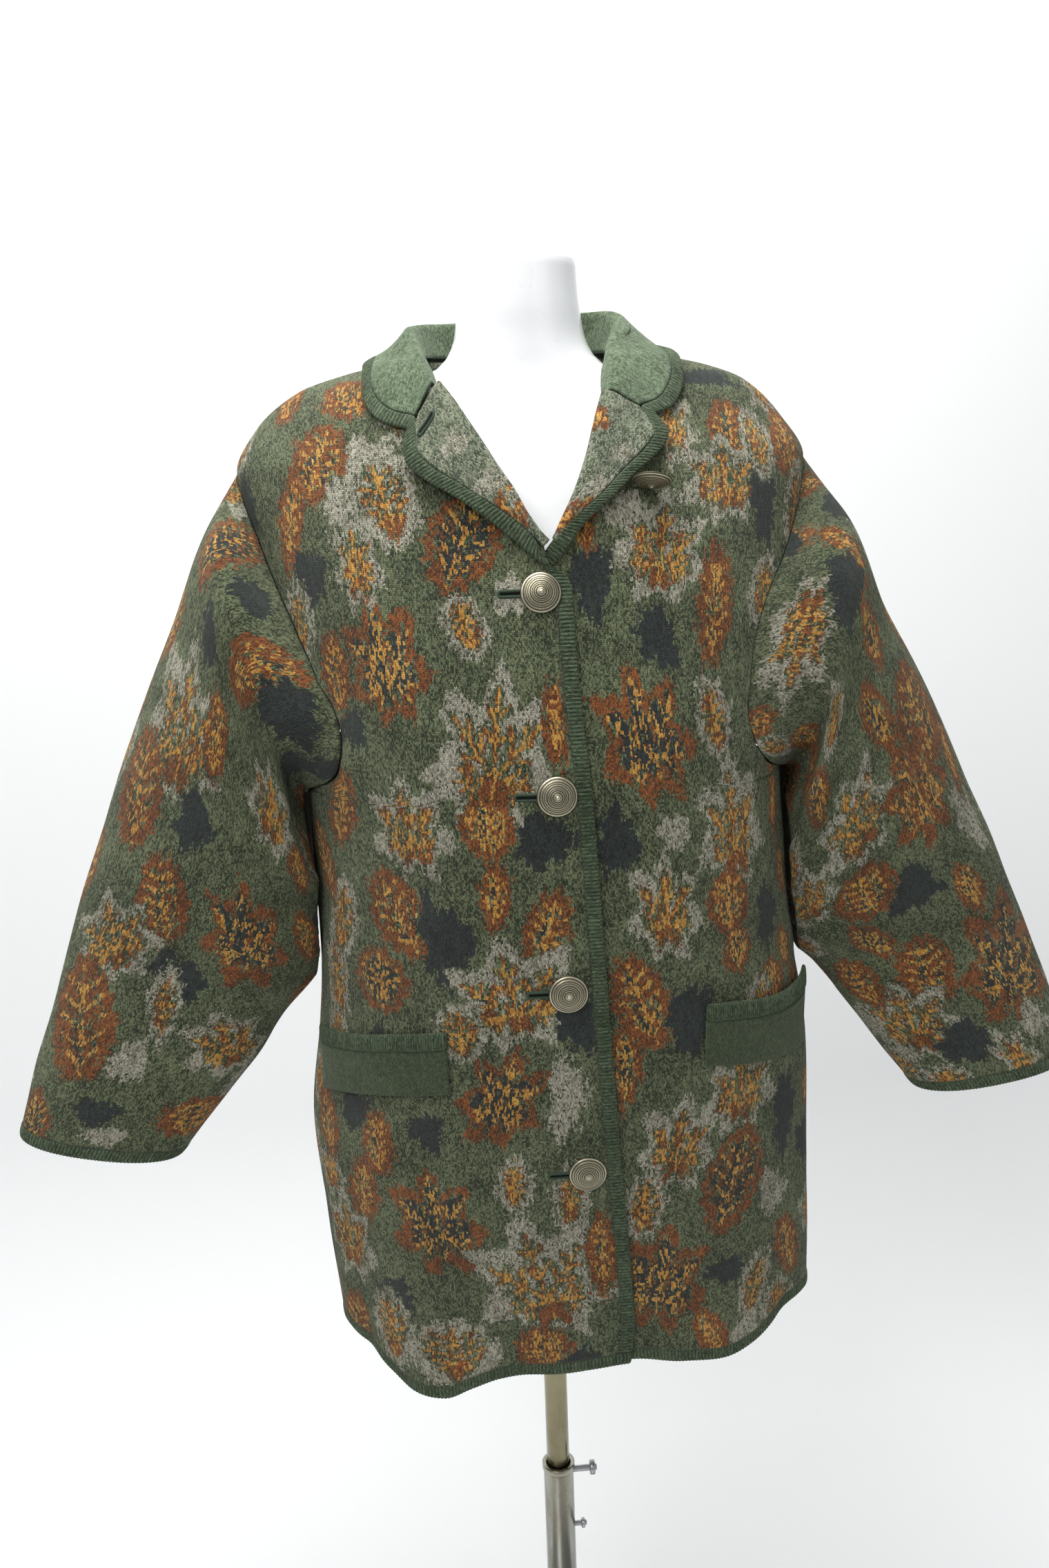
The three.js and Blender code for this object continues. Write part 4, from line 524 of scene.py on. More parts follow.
def smoothed(values: Grid, passes: int) -> Grid:
    """A line's values after neighbours are averaged, with its ends kept.

    Args:
        values: One row for each point of the line.
        passes: How many times they are averaged.

    Returns:
        The smoothed rows.
    """
    line = values.copy()
    for _ in range(passes):
        line[1:-1] = 0.25 * line[:-2] + 0.5 * line[1:-1] + 0.25 * line[2:]
    return line


# ---------------------------------------------------------------- the worn garment's surface


class BodySurface:
    """Outer face of the worn cloth: a place is an angle, a height and a lift off that face."""

    def __init__(self) -> None:
        """Makes the curves of the section, hem and armhole tables."""
        self.section = table_curves(BODY_SECTIONS, ("half", "centre", "front", "back", "power"))
        self.hem = Curve.of(HEM)
        self.armhole = table_curves(ARMHOLE, ("right_front", "left_front", "back"))
        self.edge = Curve.of(FRONT_EDGE)
        self.folds = np.asarray(LARGE_FOLDS + SMALL_CREASES, float)

    def plain(self, angle: Grid, z: Grid) -> Grid:
        """Points of the plain sections.

        Args:
            angle: Angles round the body in radians.
            z: Heights.

        Returns:
            Points, with x, y and z on the last axis.
        """
        power = self.section["power"](z)
        sine = np.sin(angle)
        depth = np.where(sine > 0, self.section["front"](z), self.section["back"](z))
        x = self.section["centre"](z) + self.section["half"](z) * signed_power(np.cos(angle), 2 / power)
        y = -depth * signed_power(sine, 2 / power)
        return np.stack(np.broadcast_arrays(x, y, np.asarray(z, float)), axis=-1)

    def normal(self, angle: Grid, z: Grid) -> Grid:
        """Outward directions of the plain sections at places."""
        along = self.plain(angle + 0.004, z) - self.plain(angle - 0.004, z)
        up = self.plain(angle, z + 1.5) - self.plain(angle, z - 1.5)
        return unit(np.cross(up, along))

    def relief(self, angle: Grid, z: Grid) -> Grid:
        """Height of the folds, creases and soft waves at places."""
        px = angle * MEAN_GIRTH_RADIUS
        total = np.zeros(np.broadcast(angle, z).shape)
        for start, low, end, high, width, height in self.folds:
            ax = math.radians(start) * MEAN_GIRTH_RADIUS
            dx = math.radians(end) * MEAN_GIRTH_RADIUS - ax
            dz = high - low
            along = np.clip(((px - ax) * dx + (z - low) * dz) / (dx * dx + dz * dz), 0, 1)
            distance = np.hypot(px - ax - along * dx, z - low - along * dz)
            total += height * (1 - 0.75 * smooth_step(along)) * np.exp(-((distance / width) ** 2))
        waves = (
            np.sin(px / 23 + 0.8 * np.sin(z / 61)) * np.sin(z / 31 + 1.1)
            + 0.7 * np.sin(px / 13.7 + z / 47 + 2.0) * np.sin(z / 19.3 - px / 58)
        )
        return total + 0.32 * waves

    def place(self, angle: Grid, z: Grid, lift: Grid | float) -> Grid:
        """Points at angles, heights and lifts above the cloth's outer face."""
        raised = self.relief(angle, z) + lift
        return self.plain(angle, z) + self.normal(angle, z) * raised[..., None]

    def front_angle(self, x: Grid, z: Grid) -> Grid:
        """Angles at which the front has the given x at the given heights."""
        share = (x - self.section["centre"](z)) / self.section["half"](z)
        return np.arccos(signed_power(np.clip(share, -1, 1), self.section["power"](z) / 2))

    def side_angle(self, z: Grid, panel: str) -> Grid:
        """Angle from the side line at which a panel ends: side seam, armhole or shoulder seam."""
        power = self.section["power"](z)
        depth = self.section["back" if panel == "back" else "front"](z)
        seam = np.arcsin((SEAM_GAP / 2 / depth) ** (power / 2))
        within = (z > ARMHOLE[0][0]) & (z < ARMHOLE[-1][0])
        opened = np.arccos(np.clip(self.armhole[panel](z), 0, 1) ** (power / 2))
        return np.where(within, np.maximum(seam, opened), seam)

    def hem_height(self, angle: Grid) -> Grid:
        """Height of the hem's lower edge at angles in radians."""
        return self.hem(np.degrees(angle))

    def level_height(self, level: Grid, angle: Grid) -> Grid:
        """Height of a level at an angle, following the hem's wave low down."""
        foot = self.hem_height(angle) + BAND_WIDTH + SEAM_GAP
        share = (level - LOWEST_LEVEL) / (HEM_BLEND_TOP - LOWEST_LEVEL)
        return np.where(level >= HEM_BLEND_TOP, level, mix(foot, HEM_BLEND_TOP, share))

    def left_lift(self, angle: Grid, z: Grid) -> Grid:
        """Lift of the left front, which dips under the right front beside their common edge."""
        past = self.plain(angle, z)[..., 0] - self.edge(z)
        above = 1 - smooth_step((z - 1235) / 70)
        return -UNDER_DIP * (1 - smooth_step((past - 4) / 42)) * mix(0.35, 1.0, above)

    def stitch_places(self, angle: Grid, z: Grid, is_back: bool) -> Grid:
        """Places in the knitting: round the body from the middle of a side, and up the cloth.

        Args:
            angle: Grid of angles, level by level.
            z: Grid of heights.
            is_back: True to measure from the middle of the back, and False from that of the front.

        Returns:
            Grid of distances along the courses and up the wales.
        """
        fine = np.linspace(-0.1, 2 * math.pi + 0.1, 420)
        start = math.pi * (1.5 if is_back else 0.5)
        course = np.empty(z.shape)
        for k, row in enumerate(angle):
            height = np.full(fine.shape, z[k].mean())
            distance = arc_length(self.plain(fine, height)[None], 1)[0]
            course[k] = np.interp(row, fine, distance) - np.interp(start, fine, distance)
        heights = np.linspace(BODY_SECTIONS[0][0], BODY_SECTIONS[-1][0], 400)
        rise = arc_length(self.plain(np.full(400, start - 0.6), heights)[:, None], 0)[:, 0]
        return np.stack([course, np.interp(z, heights, rise)], axis=-1)

    def _outside(self, points: Grid) -> Grid:
        """Signed measure that is 0 on the plain sections and grows outwards."""
        z = np.clip(points[..., 2], BODY_SECTIONS[0][0], BODY_SECTIONS[-1][0])
        power = self.section["power"](z)
        depth = np.where(points[..., 1] < 0, self.section["front"](z), self.section["back"](z))
        across = np.abs(points[..., 0] - self.section["centre"](z)) / self.section["half"](z)
        return (across**power + (np.abs(points[..., 1]) / depth) ** power) ** (1 / power) - 1

    def push_out(self, points: Grid, clearance: Grid | float) -> Grid:
        """Points moved out until they stand at least a clearance off the plain sections.

        Args:
            points: Points to move.
            clearance: Wanted distance, one for all or one for each.

        Returns:
            The moved points.
        """
        moved = points.copy()
        for _ in range(6):
            here = self._outside(moved)
            gradient = np.empty_like(moved)
            for axis in range(3):
                step = np.zeros(3)
                step[axis] = 0.5
                gradient[..., axis] = self._outside(moved + step) - self._outside(moved - step)
            size = np.linalg.norm(gradient, axis=-1)
            distance = here / np.maximum(size, 1e-9)
            lack = np.maximum(clearance - distance, 0) * 0.9
            moved += gradient / np.maximum(size, 1e-9)[..., None] * lack[..., None]
        return moved


BODY = BodySurface()


# ---------------------------------------------------------------- meshes


VALUE_KINDS = {1: ("FLOAT", "value"), 3: ("FLOAT_VECTOR", "vector"), 4: ("FLOAT_COLOR", "color")}


def make_object(name: str, points: Grid, faces: list, values: dict[str, Grid]) -> bpy.types.Object:
    """Mesh object from points in millimetres.

    Args:
        name: Name of the object and its mesh.
        points: Grid or list of points, in millimetres.
        faces: Faces as lists of point numbers.
        values: Named values at the points: 1 column for a number, 2 or 3 for a vector, 4 for a colour.

    Returns:
        The object, smooth shaded and linked to the scene.
    """
    mesh = bpy.data.meshes.new(name)
    mesh.from_pydata((np.reshape(points, (-1, 3)) * MM).tolist(), [], faces)
    for label, data in values.items():
        columns = data.reshape(len(mesh.vertices), -1)
        if columns.shape[1] == 2:
            columns = np.pad(columns, ((0, 0), (0, 1)))
        kind, key = VALUE_KINDS[columns.shape[1]]
        layer = mesh.attributes.new(label, kind, "POINT")
        layer.data.foreach_set(key, np.ascontiguousarray(columns, np.float32).ravel())
    mesh.polygons.foreach_set("use_smooth", np.ones(len(mesh.polygons), bool))
    mesh.update()
    thing = bpy.data.objects.new(name, mesh)
    bpy.context.scene.collection.objects.link(thing)
    return thing


def make_solid(name: str, points: Grid, faces: list, values: dict[str, Grid]) -> bpy.types.Object:
    """Closed mesh object, made as by make_object, with its faces turned outwards."""
    thing = make_object(name, points, faces, values)
    mesh = thing.data
    corners = np.empty(len(mesh.vertices) * 3, np.float32)
    mesh.vertices.foreach_get("co", corners)
    corners = corners.reshape(-1, 3).astype(float)
    mesh.calc_loop_triangles()
    triangles = np.empty(len(mesh.loop_triangles) * 3, np.int32)
    mesh.loop_triangles.foreach_get("vertices", triangles)
    a, b, c = (corners[triangles.reshape(-1, 3)[:, k]] for k in range(3))
    if np.einsum("ij,ij->i", a, np.cross(b, c)).sum() < 0:
        mesh.flip_normals()
    return thing


def grid_quads(numbers: Grid, wraps: bool) -> list:
    """Quads between neighbours of a grid of point numbers.

    Args:
        numbers: Point numbers in rows and columns.
        wraps: True if the last column meets the first.

    Returns:
        The quads as lists.
    """
    ring = np.concatenate([numbers, numbers[:, :1]], axis=1) if wraps else numbers
    quads = np.stack([ring[:-1, :-1], ring[:-1, 1:], ring[1:, 1:], ring[1:, :-1]], axis=-1)
    return quads.reshape(-1, 4).tolist()


def tube_faces(rows: int, columns: int, first: int = 0) -> list:
    """Faces of a ring grid of points that is closed at both ends, from the number of its first point."""
    numbers = first + np.arange(rows * columns).reshape(rows, columns)
    return grid_quads(numbers, True) + [numbers[0][::-1].tolist(), numbers[-1].tolist()]


def join_lines(fine: Grid, coarse: Grid, at: Grid, flip: bool) -> list:
    """Faces between a fine line of points and a coarse one beside it.

    Args:
        fine: Point numbers of the fine line.
        coarse: Point numbers of the coarse line.
        at: Places in the fine line of the coarse line's points.
        flip: True to turn the faces over.

    Returns:
        Triangles as lists.
    """
    faces = []
    for k in range(len(coarse) - 1):
        start, end = int(at[k]), int(at[k + 1])
        middle = (start + end) // 2
        faces += [[fine[j], fine[j + 1], coarse[k]] for j in range(start, middle)]
        faces.append([fine[middle], coarse[k + 1], coarse[k]])
        faces += [[fine[j], fine[j + 1], coarse[k + 1]] for j in range(middle, end)]
    return [face[::-1] for face in faces] if flip else faces


@dataclass
class Cloth:
    """A wall of cloth on a fine outer grid, with a coarser inner face.

    Attributes:
        name: Name of the piece.
        outer: Grid of points on the outer face.
        inward: Grid of unit directions to the cloth's inner side.
        stitch: Grid of places in the knitting: along the courses and up the wales.
        leaves: Grid of the four leaf fields.
        seam: Grid of distances to the nearest sewn line or edge.
        wraps: True for a tube.
        coarse: Outer points for each inner point.
    """

    name: str
    outer: Grid
    inward: Grid
    stitch: Grid
    leaves: Grid
    seam: Grid
    wraps: bool = False
    coarse: int = 6

    def build(self) -> bpy.types.Object:
        """Makes the closed wall.

        Returns:
            The mesh object.
        """
        rows, columns = self.outer.shape[:2]
        row_at = np.unique(np.linspace(0, rows - 1, max(rows // self.coarse, 2) + 1).round().astype(int))
        last = columns if self.wraps else columns - 1
        column_at = np.unique(np.linspace(0, last, max(columns // self.coarse, 3) + 1).round().astype(int))
        inner_columns = column_at[:-1] if self.wraps else column_at
        pick = np.ix_(row_at, inner_columns)
        inner = self.outer[pick] + self.inward[pick] * WOOL
        points = np.concatenate([self.outer.reshape(-1, 3), inner.reshape(-1, 3)])
        size = rows * columns
        outside = np.arange(size).reshape(rows, columns)
        inside = size + np.arange(inner.shape[0] * inner.shape[1]).reshape(inner.shape[:2])
        faces = grid_quads(outside, self.wraps)
        faces += [quad[::-1] for quad in grid_quads(inside, self.wraps)]
        if self.wraps:
            outside, inside = (np.concatenate([grid, grid[:, :1]], axis=1) for grid in (outside, inside))
        else:
            faces += join_lines(outside[:, 0], inside[:, 0], row_at, False)
            faces += join_lines(outside[:, -1], inside[:, -1], row_at, True)
        faces += join_lines(outside[0], inside[0], column_at, True)
        faces += join_lines(outside[-1], inside[-1], column_at, False)
        grids = {"stitch_place": self.stitch, "leaf_yarns": self.leaves, "seam_distance": self.seam[..., None]}
        values = {
            label: np.concatenate([grid.reshape(size, -1), grid[pick].reshape(len(points) - size, -1)])
            for label, grid in grids.items()
        }
        values["wrong_side"] = (np.arange(len(points)) >= size).astype(float)
        return make_solid(self.name, points, faces, values)


def grid_normals(grid: Grid, wraps: bool) -> Grid:
    """Unit directions across a grid of points, from its rows and columns."""
    along = np.gradient(grid, axis=0)
    if wraps:
        across = (np.roll(grid, -1, axis=1) - np.roll(grid, 1, axis=1)) / 2
    else:
        across = np.gradient(grid, axis=1)
    return unit(np.cross(across, along))


def two_faced(name: str, upper: Grid, lower: Grid, values: dict[str, Grid]) -> bpy.types.Object:
    """Closed sheet between two grids of points.

    Args:
        name: Name of the piece.
        upper: Points of the upper face.
        lower: Points of the lower face, with the same rows and columns.
        values: Grids of named values, the same on both faces.

    Returns:
        The mesh object.
    """
    rows, columns = upper.shape[:2]
    size = rows * columns
    top = np.arange(size).reshape(rows, columns)
    rim = np.concatenate([top[0, :-1], top[:-1, -1], top[-1, :0:-1], top[:0:-1, 0], top[0, :1]])
    faces = grid_quads(top, False) + [quad[::-1] for quad in grid_quads(top + size, False)]
    faces += grid_quads(np.stack([rim + size, rim]), False)
    doubled = {label: np.concatenate([grid.reshape(size, -1)] * 2) for label, grid in values.items()}
    return make_solid(name, np.stack([upper, lower]), faces, doubled)


def slab(name: str, middle: Grid, stitch: Grid, leaves: Grid | None, seam: Grid) -> bpy.types.Object:
    """Sheet of wool with both faces fine, made by moving a middle grid to both sides.

    Args:
        name: Name of the piece.
        middle: Grid of points in the middle of the sheet.
        stitch: Grid of places in the knitting.
        leaves: Grid of the four leaf fields, or None for plain wool.
        seam: Grid of distances to the nearest sewn line or edge.

    Returns:
        The mesh object.
    """
    half = grid_normals(middle, False) * WOOL / 2
    blank = np.full(seam.shape + (4,), LEAF_NONE)
    values = {
        "stitch_place": stitch, "leaf_yarns": blank if leaves is None else leaves, "seam_distance": seam,
        "wrong_side": 0 * seam,
    }
    return two_faced(name, middle + half, middle - half, values)


# ---------------------------------------------------------------- leaf fields

LEAF_NONE = -40.0
LEAF_GROWTH = {Tone.RUST: 1.04, Tone.RUST_NAVY: 1.08, Tone.GREY: 1.17, Tone.NAVY: 1.05, Tone.PALE: 0.95}
RUST_YARN, GREY_YARN, NAVY_YARN, GOLD_YARN = range(4)
FILLED_GAP = 22.5
FILLER_LIMIT = 24.0
FILLERS = (
    (Outline.ELM, Tone.GREY), (Outline.SLIM, Tone.RUST), (Outline.PATCH, Tone.NAVY), (Outline.MAPLE, Tone.GREY),
    (Outline.ELM, Tone.RUST_NAVY), (Outline.SLIM, Tone.GREY), (Outline.ELM, Tone.RUST),
)


class LeafKnitter:
    """Knits leaves into a grid: each yarn's field is its depth in millimetres inside its stitches."""

    def __init__(self, stitch: Grid) -> None:
        """Starts with plain ground.

        Args:
            stitch: Grid of places along the courses and up the wales.
        """
        self.stitch = stitch
        self.fields = np.full(stitch.shape[:2] + (4,), LEAF_NONE)

    def knit(self, leaf: Leaf, middle: Grid) -> None:
        """Adds one leaf.

        Args:
            leaf: The leaf.
            middle: Its place along the courses and up the wales.
        """
        offset = self.stitch - middle
        near = np.hypot(offset[..., 0], offset[..., 1]) < 0.75 * max(leaf.width, leaf.height)
        if not near.any():
            return
        turn = math.radians(leaf.turn)
        p = offset[near][:, 0] * math.cos(turn) - offset[near][:, 1] * math.sin(turn)
        q = offset[near][:, 0] * math.sin(turn) + offset[near][:, 1] * math.cos(turn)
        grown = LEAF_GROWTH[leaf.tone]
        a, b = p / (leaf.width / 2) / grown, q / (leaf.height / 2) / grown
        inside = (self._reach(leaf, np.arctan2(a, b)) - np.hypot(a, b)) * min(leaf.width, leaf.height) / 2
        here = self.fields[near]
        if leaf.tone is Tone.NAVY:
            self._lay(here, inside, NAVY_YARN)
        elif leaf.tone is Tone.PALE:
            self._lay(here, inside, GREY_YARN)
        else:
            vein = self._vein_distance(leaf, p, q)
            body = GREY_YARN if leaf.tone is Tone.GREY else RUST_YARN
            self._lay(here, inside, body)
            swing = 1.9 * np.sin(p / 2.3 + np.sin(q / 6.5)) * (0.6 + 0.4 * np.sin(q / 8.7 + leaf.up))
            if leaf.tone is Tone.RUST_NAVY:
                self._lay(here, np.minimum(inside - 6.0, 4.6 + 1.4 * swing - vein), NAVY_YARN)
            elif leaf.tone is Tone.GREY:
                self._lay(here, np.minimum(inside - 5.5, 3.1 + swing - vein), None)
                base = np.maximum(0.9 + swing - vein, 0.11 * leaf.height - np.hypot(p, 0.7 * (q + 0.3 * leaf.height)))
                self._lay(here, np.minimum(inside - 5.5, base), RUST_YARN)
            else:
                self._lay(here, np.minimum(inside - 8, 1.6 + 2 * swing - vein), NAVY_YARN)
            half, rim = (1.35, 5.0) if leaf.tone is Tone.GREY else (1.5, 3.0)
            here[:, GOLD_YARN] = np.maximum(here[:, GOLD_YARN], np.minimum(inside - rim, half - vein))
        self.fields[near] = here

    def lay_out(self, leaves: Sequence[Leaf], places: Grid, scale: tuple[float, float] = (1.0, 1.0)) -> None:
        """Knits leaves whose middles are given by places other than stitches.

        Args:
            leaves: The leaves.
            places: Grid of the coordinates in which the leaves are placed; a third one is sought at 0.
            scale: Factors from a leaf's own two places to those coordinates.
        """
        flat, spots = places.reshape(-1, places.shape[-1]), self.stitch.reshape(-1, 2)
        for leaf in leaves:
            target = np.zeros(flat.shape[1])
            target[:2] = leaf.across * scale[0], leaf.up * scale[1]
            self.knit(leaf, spots[np.argmin(((flat - target) ** 2).sum(axis=1))])

    def fill(self, seed: int) -> None:
        """Knits small leaves into the bare places between those already there.

        Args:
            seed: Seed of their kinds, sizes and order.
        """
        dice = np.random.default_rng(seed)
        rows, columns = (np.arange(6, n - 4, 6) for n in self.stitch.shape[:2])
        spots = np.stack(np.meshgrid(rows, columns, indexing="ij"), axis=-1).reshape(-1, 2)
        for row, column in spots[dice.permutation(len(spots))]:
            gap = -self.fields[row, column].max()
            if gap < FILLED_GAP:
                continue
            outline, tone = FILLERS[dice.integers(len(FILLERS))]
            width = min(gap, FILLER_LIMIT) * dice.uniform(1.15, 1.6)
            height = width * dice.uniform(1.2, 1.9)
            up = float(dice.uniform(0, 900))
            self.knit(Leaf(outline, tone, up / 2, up, width, height, dice.uniform(-22, 22)), self.stitch[row, column])

    @staticmethod
    def _lay(here: Grid, inside: Grid, yarn: int | None) -> None:
        """Lays a yarn, or the ground for None, over what was knitted before."""
        for k in range(4):
            if k == yarn:
                here[:, k] = np.maximum(here[:, k], inside)
            else:
                here[:, k] = np.minimum(here[:, k], -inside)

    @staticmethod
    def _reach(leaf: Leaf, turn: Grid) -> Grid:
        """Outline's distance from the leaf's middle at turns from its tip, as a share of its size."""
        size = np.abs(turn)
        if leaf.outline is Outline.MAPLE:
            lobes = ((0.0, 0.42, 0.46), (0.92, 0.46, 0.44), (1.86, 0.40, 0.48), (2.72, 0.34, 0.44))
            points = [length * np.maximum(1 - np.abs(size - at) / width, 0) for at, length, width in lobes]
            teeth = np.abs((size * 2.7 + leaf.across * 0.13) % 1.0 - 0.5)
            lean = 0.05 * np.sin(turn + leaf.up * 0.05) + 0.04 * np.sin(2 * turn + leaf.across * 0.07)
            return 0.62 + np.max(points, axis=0) + 0.18 * (teeth - 0.25) + lean
        if leaf.outline is Outline.PATCH:
            phase = leaf.across * 0.37 + leaf.up * 0.11
            waves = ((0.12, 3, phase), (0.10, 7, 2 * phase), (0.05, 13, 0))
            return 0.80 + sum(height * np.sin(count * turn + start) for height, count, start in waves)
        tip = 0.84 + 0.16 * np.abs(np.cos(turn)) ** 5
        return tip + 0.055 * np.sin(size * 15 + leaf.up)

    @staticmethod
    def _veins(leaf: Leaf) -> list[tuple[float, float, float, float]]:
        """Vein lines of a leaf in shares of half its width and height."""
        if leaf.outline is Outline.MAPLE:
            heart = (0.0, -0.28)
            tips = [(0.0, 0.84), (0.72, 0.42), (-0.72, 0.42), (0.60, -0.36), (-0.60, -0.36)]
            lines = [(0.0, -0.92, *heart)]
            for tx, ty in tips:
                lines.append((*heart, tx, ty))
                for share, reach in ((0.36, 0.30), (0.66, 0.22)):
                    x, y = heart[0] + share * (tx - heart[0]), heart[1] + share * (ty - heart[1])
                    angle = math.atan2(tx - heart[0], ty - heart[1])
                    for side in (-0.8, 0.8):
                        lines.append((x, y, x + reach * math.sin(angle + side), y + reach * math.cos(angle + side)))
            return lines
        lines = [(0.0, -0.95, 0.0, 0.86)]
        for low in (-0.72, -0.42, -0.12, 0.18, 0.46):
            reach = 0.62 * (1 - low * low * 0.8)
            lines += [(0.0, low, side * reach, low + 0.26) for side in (-1, 1)]
        return lines

    def _vein_distance(self, leaf: Leaf, p: Grid, q: Grid) -> Grid:
        """Distance in millimetres from each point to the leaf's nearest vein."""
        nearest = np.full(p.shape, 99.0)
        for x0, y0, x1, y1 in self._veins(leaf):
            ax, ay = x0 * leaf.width / 2, y0 * leaf.height / 2
            dx, dy = x1 * leaf.width / 2 - ax, y1 * leaf.height / 2 - ay
            along = np.clip(((p - ax) * dx + (q - ay) * dy) / (dx * dx + dy * dy + 1e-9), 0, 1)
            nearest = np.minimum(nearest, np.hypot(p - ax - along * dx, q - ay - along * dy))
        return nearest


# ---------------------------------------------------------------- shaders


def colour(code: str) -> tuple[float, float, float, float]:
    """Linear colour from a web colour code.

    Args:
        code: Six hexadecimal digits after a #.

    Returns:
        Red, green, blue and alpha for a shader socket.
    """
    parts = [int(code[k : k + 2], 16) / 255 for k in (1, 3, 5)]
    linear = [p / 12.92 if p <= 0.04045 else ((p + 0.055) / 1.055) ** 2.4 for p in parts]
    return (*linear, 1.0)


class Wire:
    """Output of a node to reckon with: each sign adds the maths node that does the same."""

    def __init__(self, board: "Board", socket: bpy.types.NodeSocket) -> None:
        """Keeps the board and the output."""
        self.board, self.socket = board, socket

    def math(self, operation: str, other: object = 0.0) -> "Wire":
        """Result of a maths node on this and another value."""
        return self.board.math(operation, self, other)

    def __add__(self, other: object) -> "Wire":
        """Sum."""
        return self.math("ADD", other)

    __radd__ = __add__

    def __sub__(self, other: object) -> "Wire":
        """Difference."""
        return self.math("SUBTRACT", other)

    def __rsub__(self, other: object) -> "Wire":
        """Difference of a number and this."""
        return self.board.math("SUBTRACT", other, self)

    def __mul__(self, other: object) -> "Wire":
        """Product."""
        return self.math("MULTIPLY", other)

    def __truediv__(self, other: object) -> "Wire":
        """Quotient."""
        return self.math("DIVIDE", other)

    def __abs__(self) -> "Wire":
        """Value without its sign."""
        return self.math("ABSOLUTE")

    def __pow__(self, other: float) -> "Wire":
        """Power."""
        return self.math("POWER", other)


class Board:
    """Short words for building a node tree."""

    def __init__(self, tree: bpy.types.NodeTree) -> None:
        """Keeps the tree that nodes are added to."""
        self.tree = tree

    def add(self, kind: str, setup: dict | None = None, **inputs: object) -> bpy.types.Node:
        """Adds a node.

        Args:
            kind: Node type without the ShaderNode prefix.
            setup: Values of the node's own properties.
            inputs: Wires, sockets or values for its inputs, with _ for a space and a number as iN.

        Returns:
            The node.
        """
        node = self.tree.nodes.new("ShaderNode" + kind)
        for key, value in (setup or {}).items():
            setattr(node, key, value)
        for key, value in inputs.items():
            name = int(key[1:]) if key[0] == "i" and key[1:].isdigit() else key.replace("_", " ")
            self.feed(node.inputs[name], value)
        return node

    def feed(self, socket: bpy.types.NodeSocket, value: object) -> None:
        """Links a wire or socket to an input, or sets the input's value."""
        source = value.socket if isinstance(value, Wire) else value
        if isinstance(source, bpy.types.NodeSocket):
            self.tree.links.new(source, socket)
        else:
            socket.default_value = source

    def wires(self, node: bpy.types.Node, count: int | None = None) -> list[Wire]:
        """A node's outputs as wires, all or the first few."""
        return [Wire(self, socket) for socket in node.outputs[:count]]

    def math(self, operation: str, a: object, b: object = 0.0) -> Wire:
        """Result of a maths node on one or two values."""
        return self.wires(self.add("Math", {"operation": operation}, i0=a, i1=b))[0]

    def vector(self, operation: str, a: object, b: object) -> Wire:
        """Result of a vector maths node on two vectors."""
        return self.wires(self.add("VectorMath", {"operation": operation}, i0=a, i1=b))[0]

    def stretch(self, place: object, x: float, y: float, z: float) -> Wire:
        """Place with each coordinate multiplied."""
        return self.vector("MULTIPLY", place, (x, y, z))

    def sway(self, place: object, scale: float, reach: float) -> Wire:
        """Place bent along the courses and wales by soft noise."""
        bent = self.add("TexNoise", Vector=place, Scale=scale, Detail=1.0).outputs[1]
        return self.vector("ADD", place, self.stretch(bent, reach, reach, 0.0))

    def mix(self, share: object, a: object, b: object, blend: str = "MIX") -> Wire:
        """Colour blended from a to b."""
        return self.wires(self.add("Mix", {"data_type": "RGBA", "blend_type": blend}, i0=share, i6=a, i7=b))[2]

    def ramp(self, value: object, low: object, high: object, start: object = 0.0, end: object = 1.0) -> Wire:
        """Value mapped from the range low to high onto start to end, clamped."""
        ends = {"From_Min": low, "From_Max": high, "To_Min": start, "To_Max": end}
        return self.wires(self.add("MapRange", {"clamp": True}, Value=value, **ends))[0]

    def noise(self, vector: object, scale: object, detail: float = 2.0, roughness: float = 0.5) -> Wire:
        """Smooth noise from 0 to 1."""
        return self.wires(self.add("TexNoise", Vector=vector, Scale=scale, Detail=detail, Roughness=roughness))[0]

    def group(self, tree: bpy.types.NodeTree, **inputs: object) -> list[Wire]:
        """Outputs of a shared group that is placed with its own values."""
        return self.wires(self.add("Group", {"node_tree": tree}, **inputs))

    def attribute(self, name: str, output: str = "Fac") -> Wire:
        """Value, vector or colour that the mesh keeps under a name."""
        return Wire(self, self.add("Attribute", {"attribute_name": name}).outputs[output])


class Surface(Board):
    """Board of a new material with its Principled shader."""

    def __init__(self, name: str) -> None:
        """Makes the material and the shader."""
        self.material = bpy.data.materials.new(name)
        self.material.use_nodes = True
        super().__init__(self.material.node_tree)
        self.tree.nodes.clear()
        self.shader = self.add("BsdfPrincipled")
        self.add("OutputMaterial", i0=self.shader.outputs[0])

    def object_place(self) -> Wire:
        """Place in the piece's own frame."""
        return Wire(self, self.add("TexCoord").outputs["Object"])

    def finish(self, height: Wire, strength: float, distance: float, **inputs: object) -> bpy.types.Material:
        """Gives the shader its bump and its inputs.

        Args:
            height: Height of the bump.
            strength: Strength of the bump.
            distance: Distance in metres that the height spans.
            inputs: Wires or values for the shader's inputs, with _ for a space.

        Returns:
            The material.
        """
        bump = self.add("Bump", Height=height, Strength=strength, Distance=distance)
        self.feed(self.shader.inputs["Normal"], bump.outputs[0])
        for key, value in inputs.items():
            self.feed(self.shader.inputs[key.replace("_", " ")], value)
        return self.material


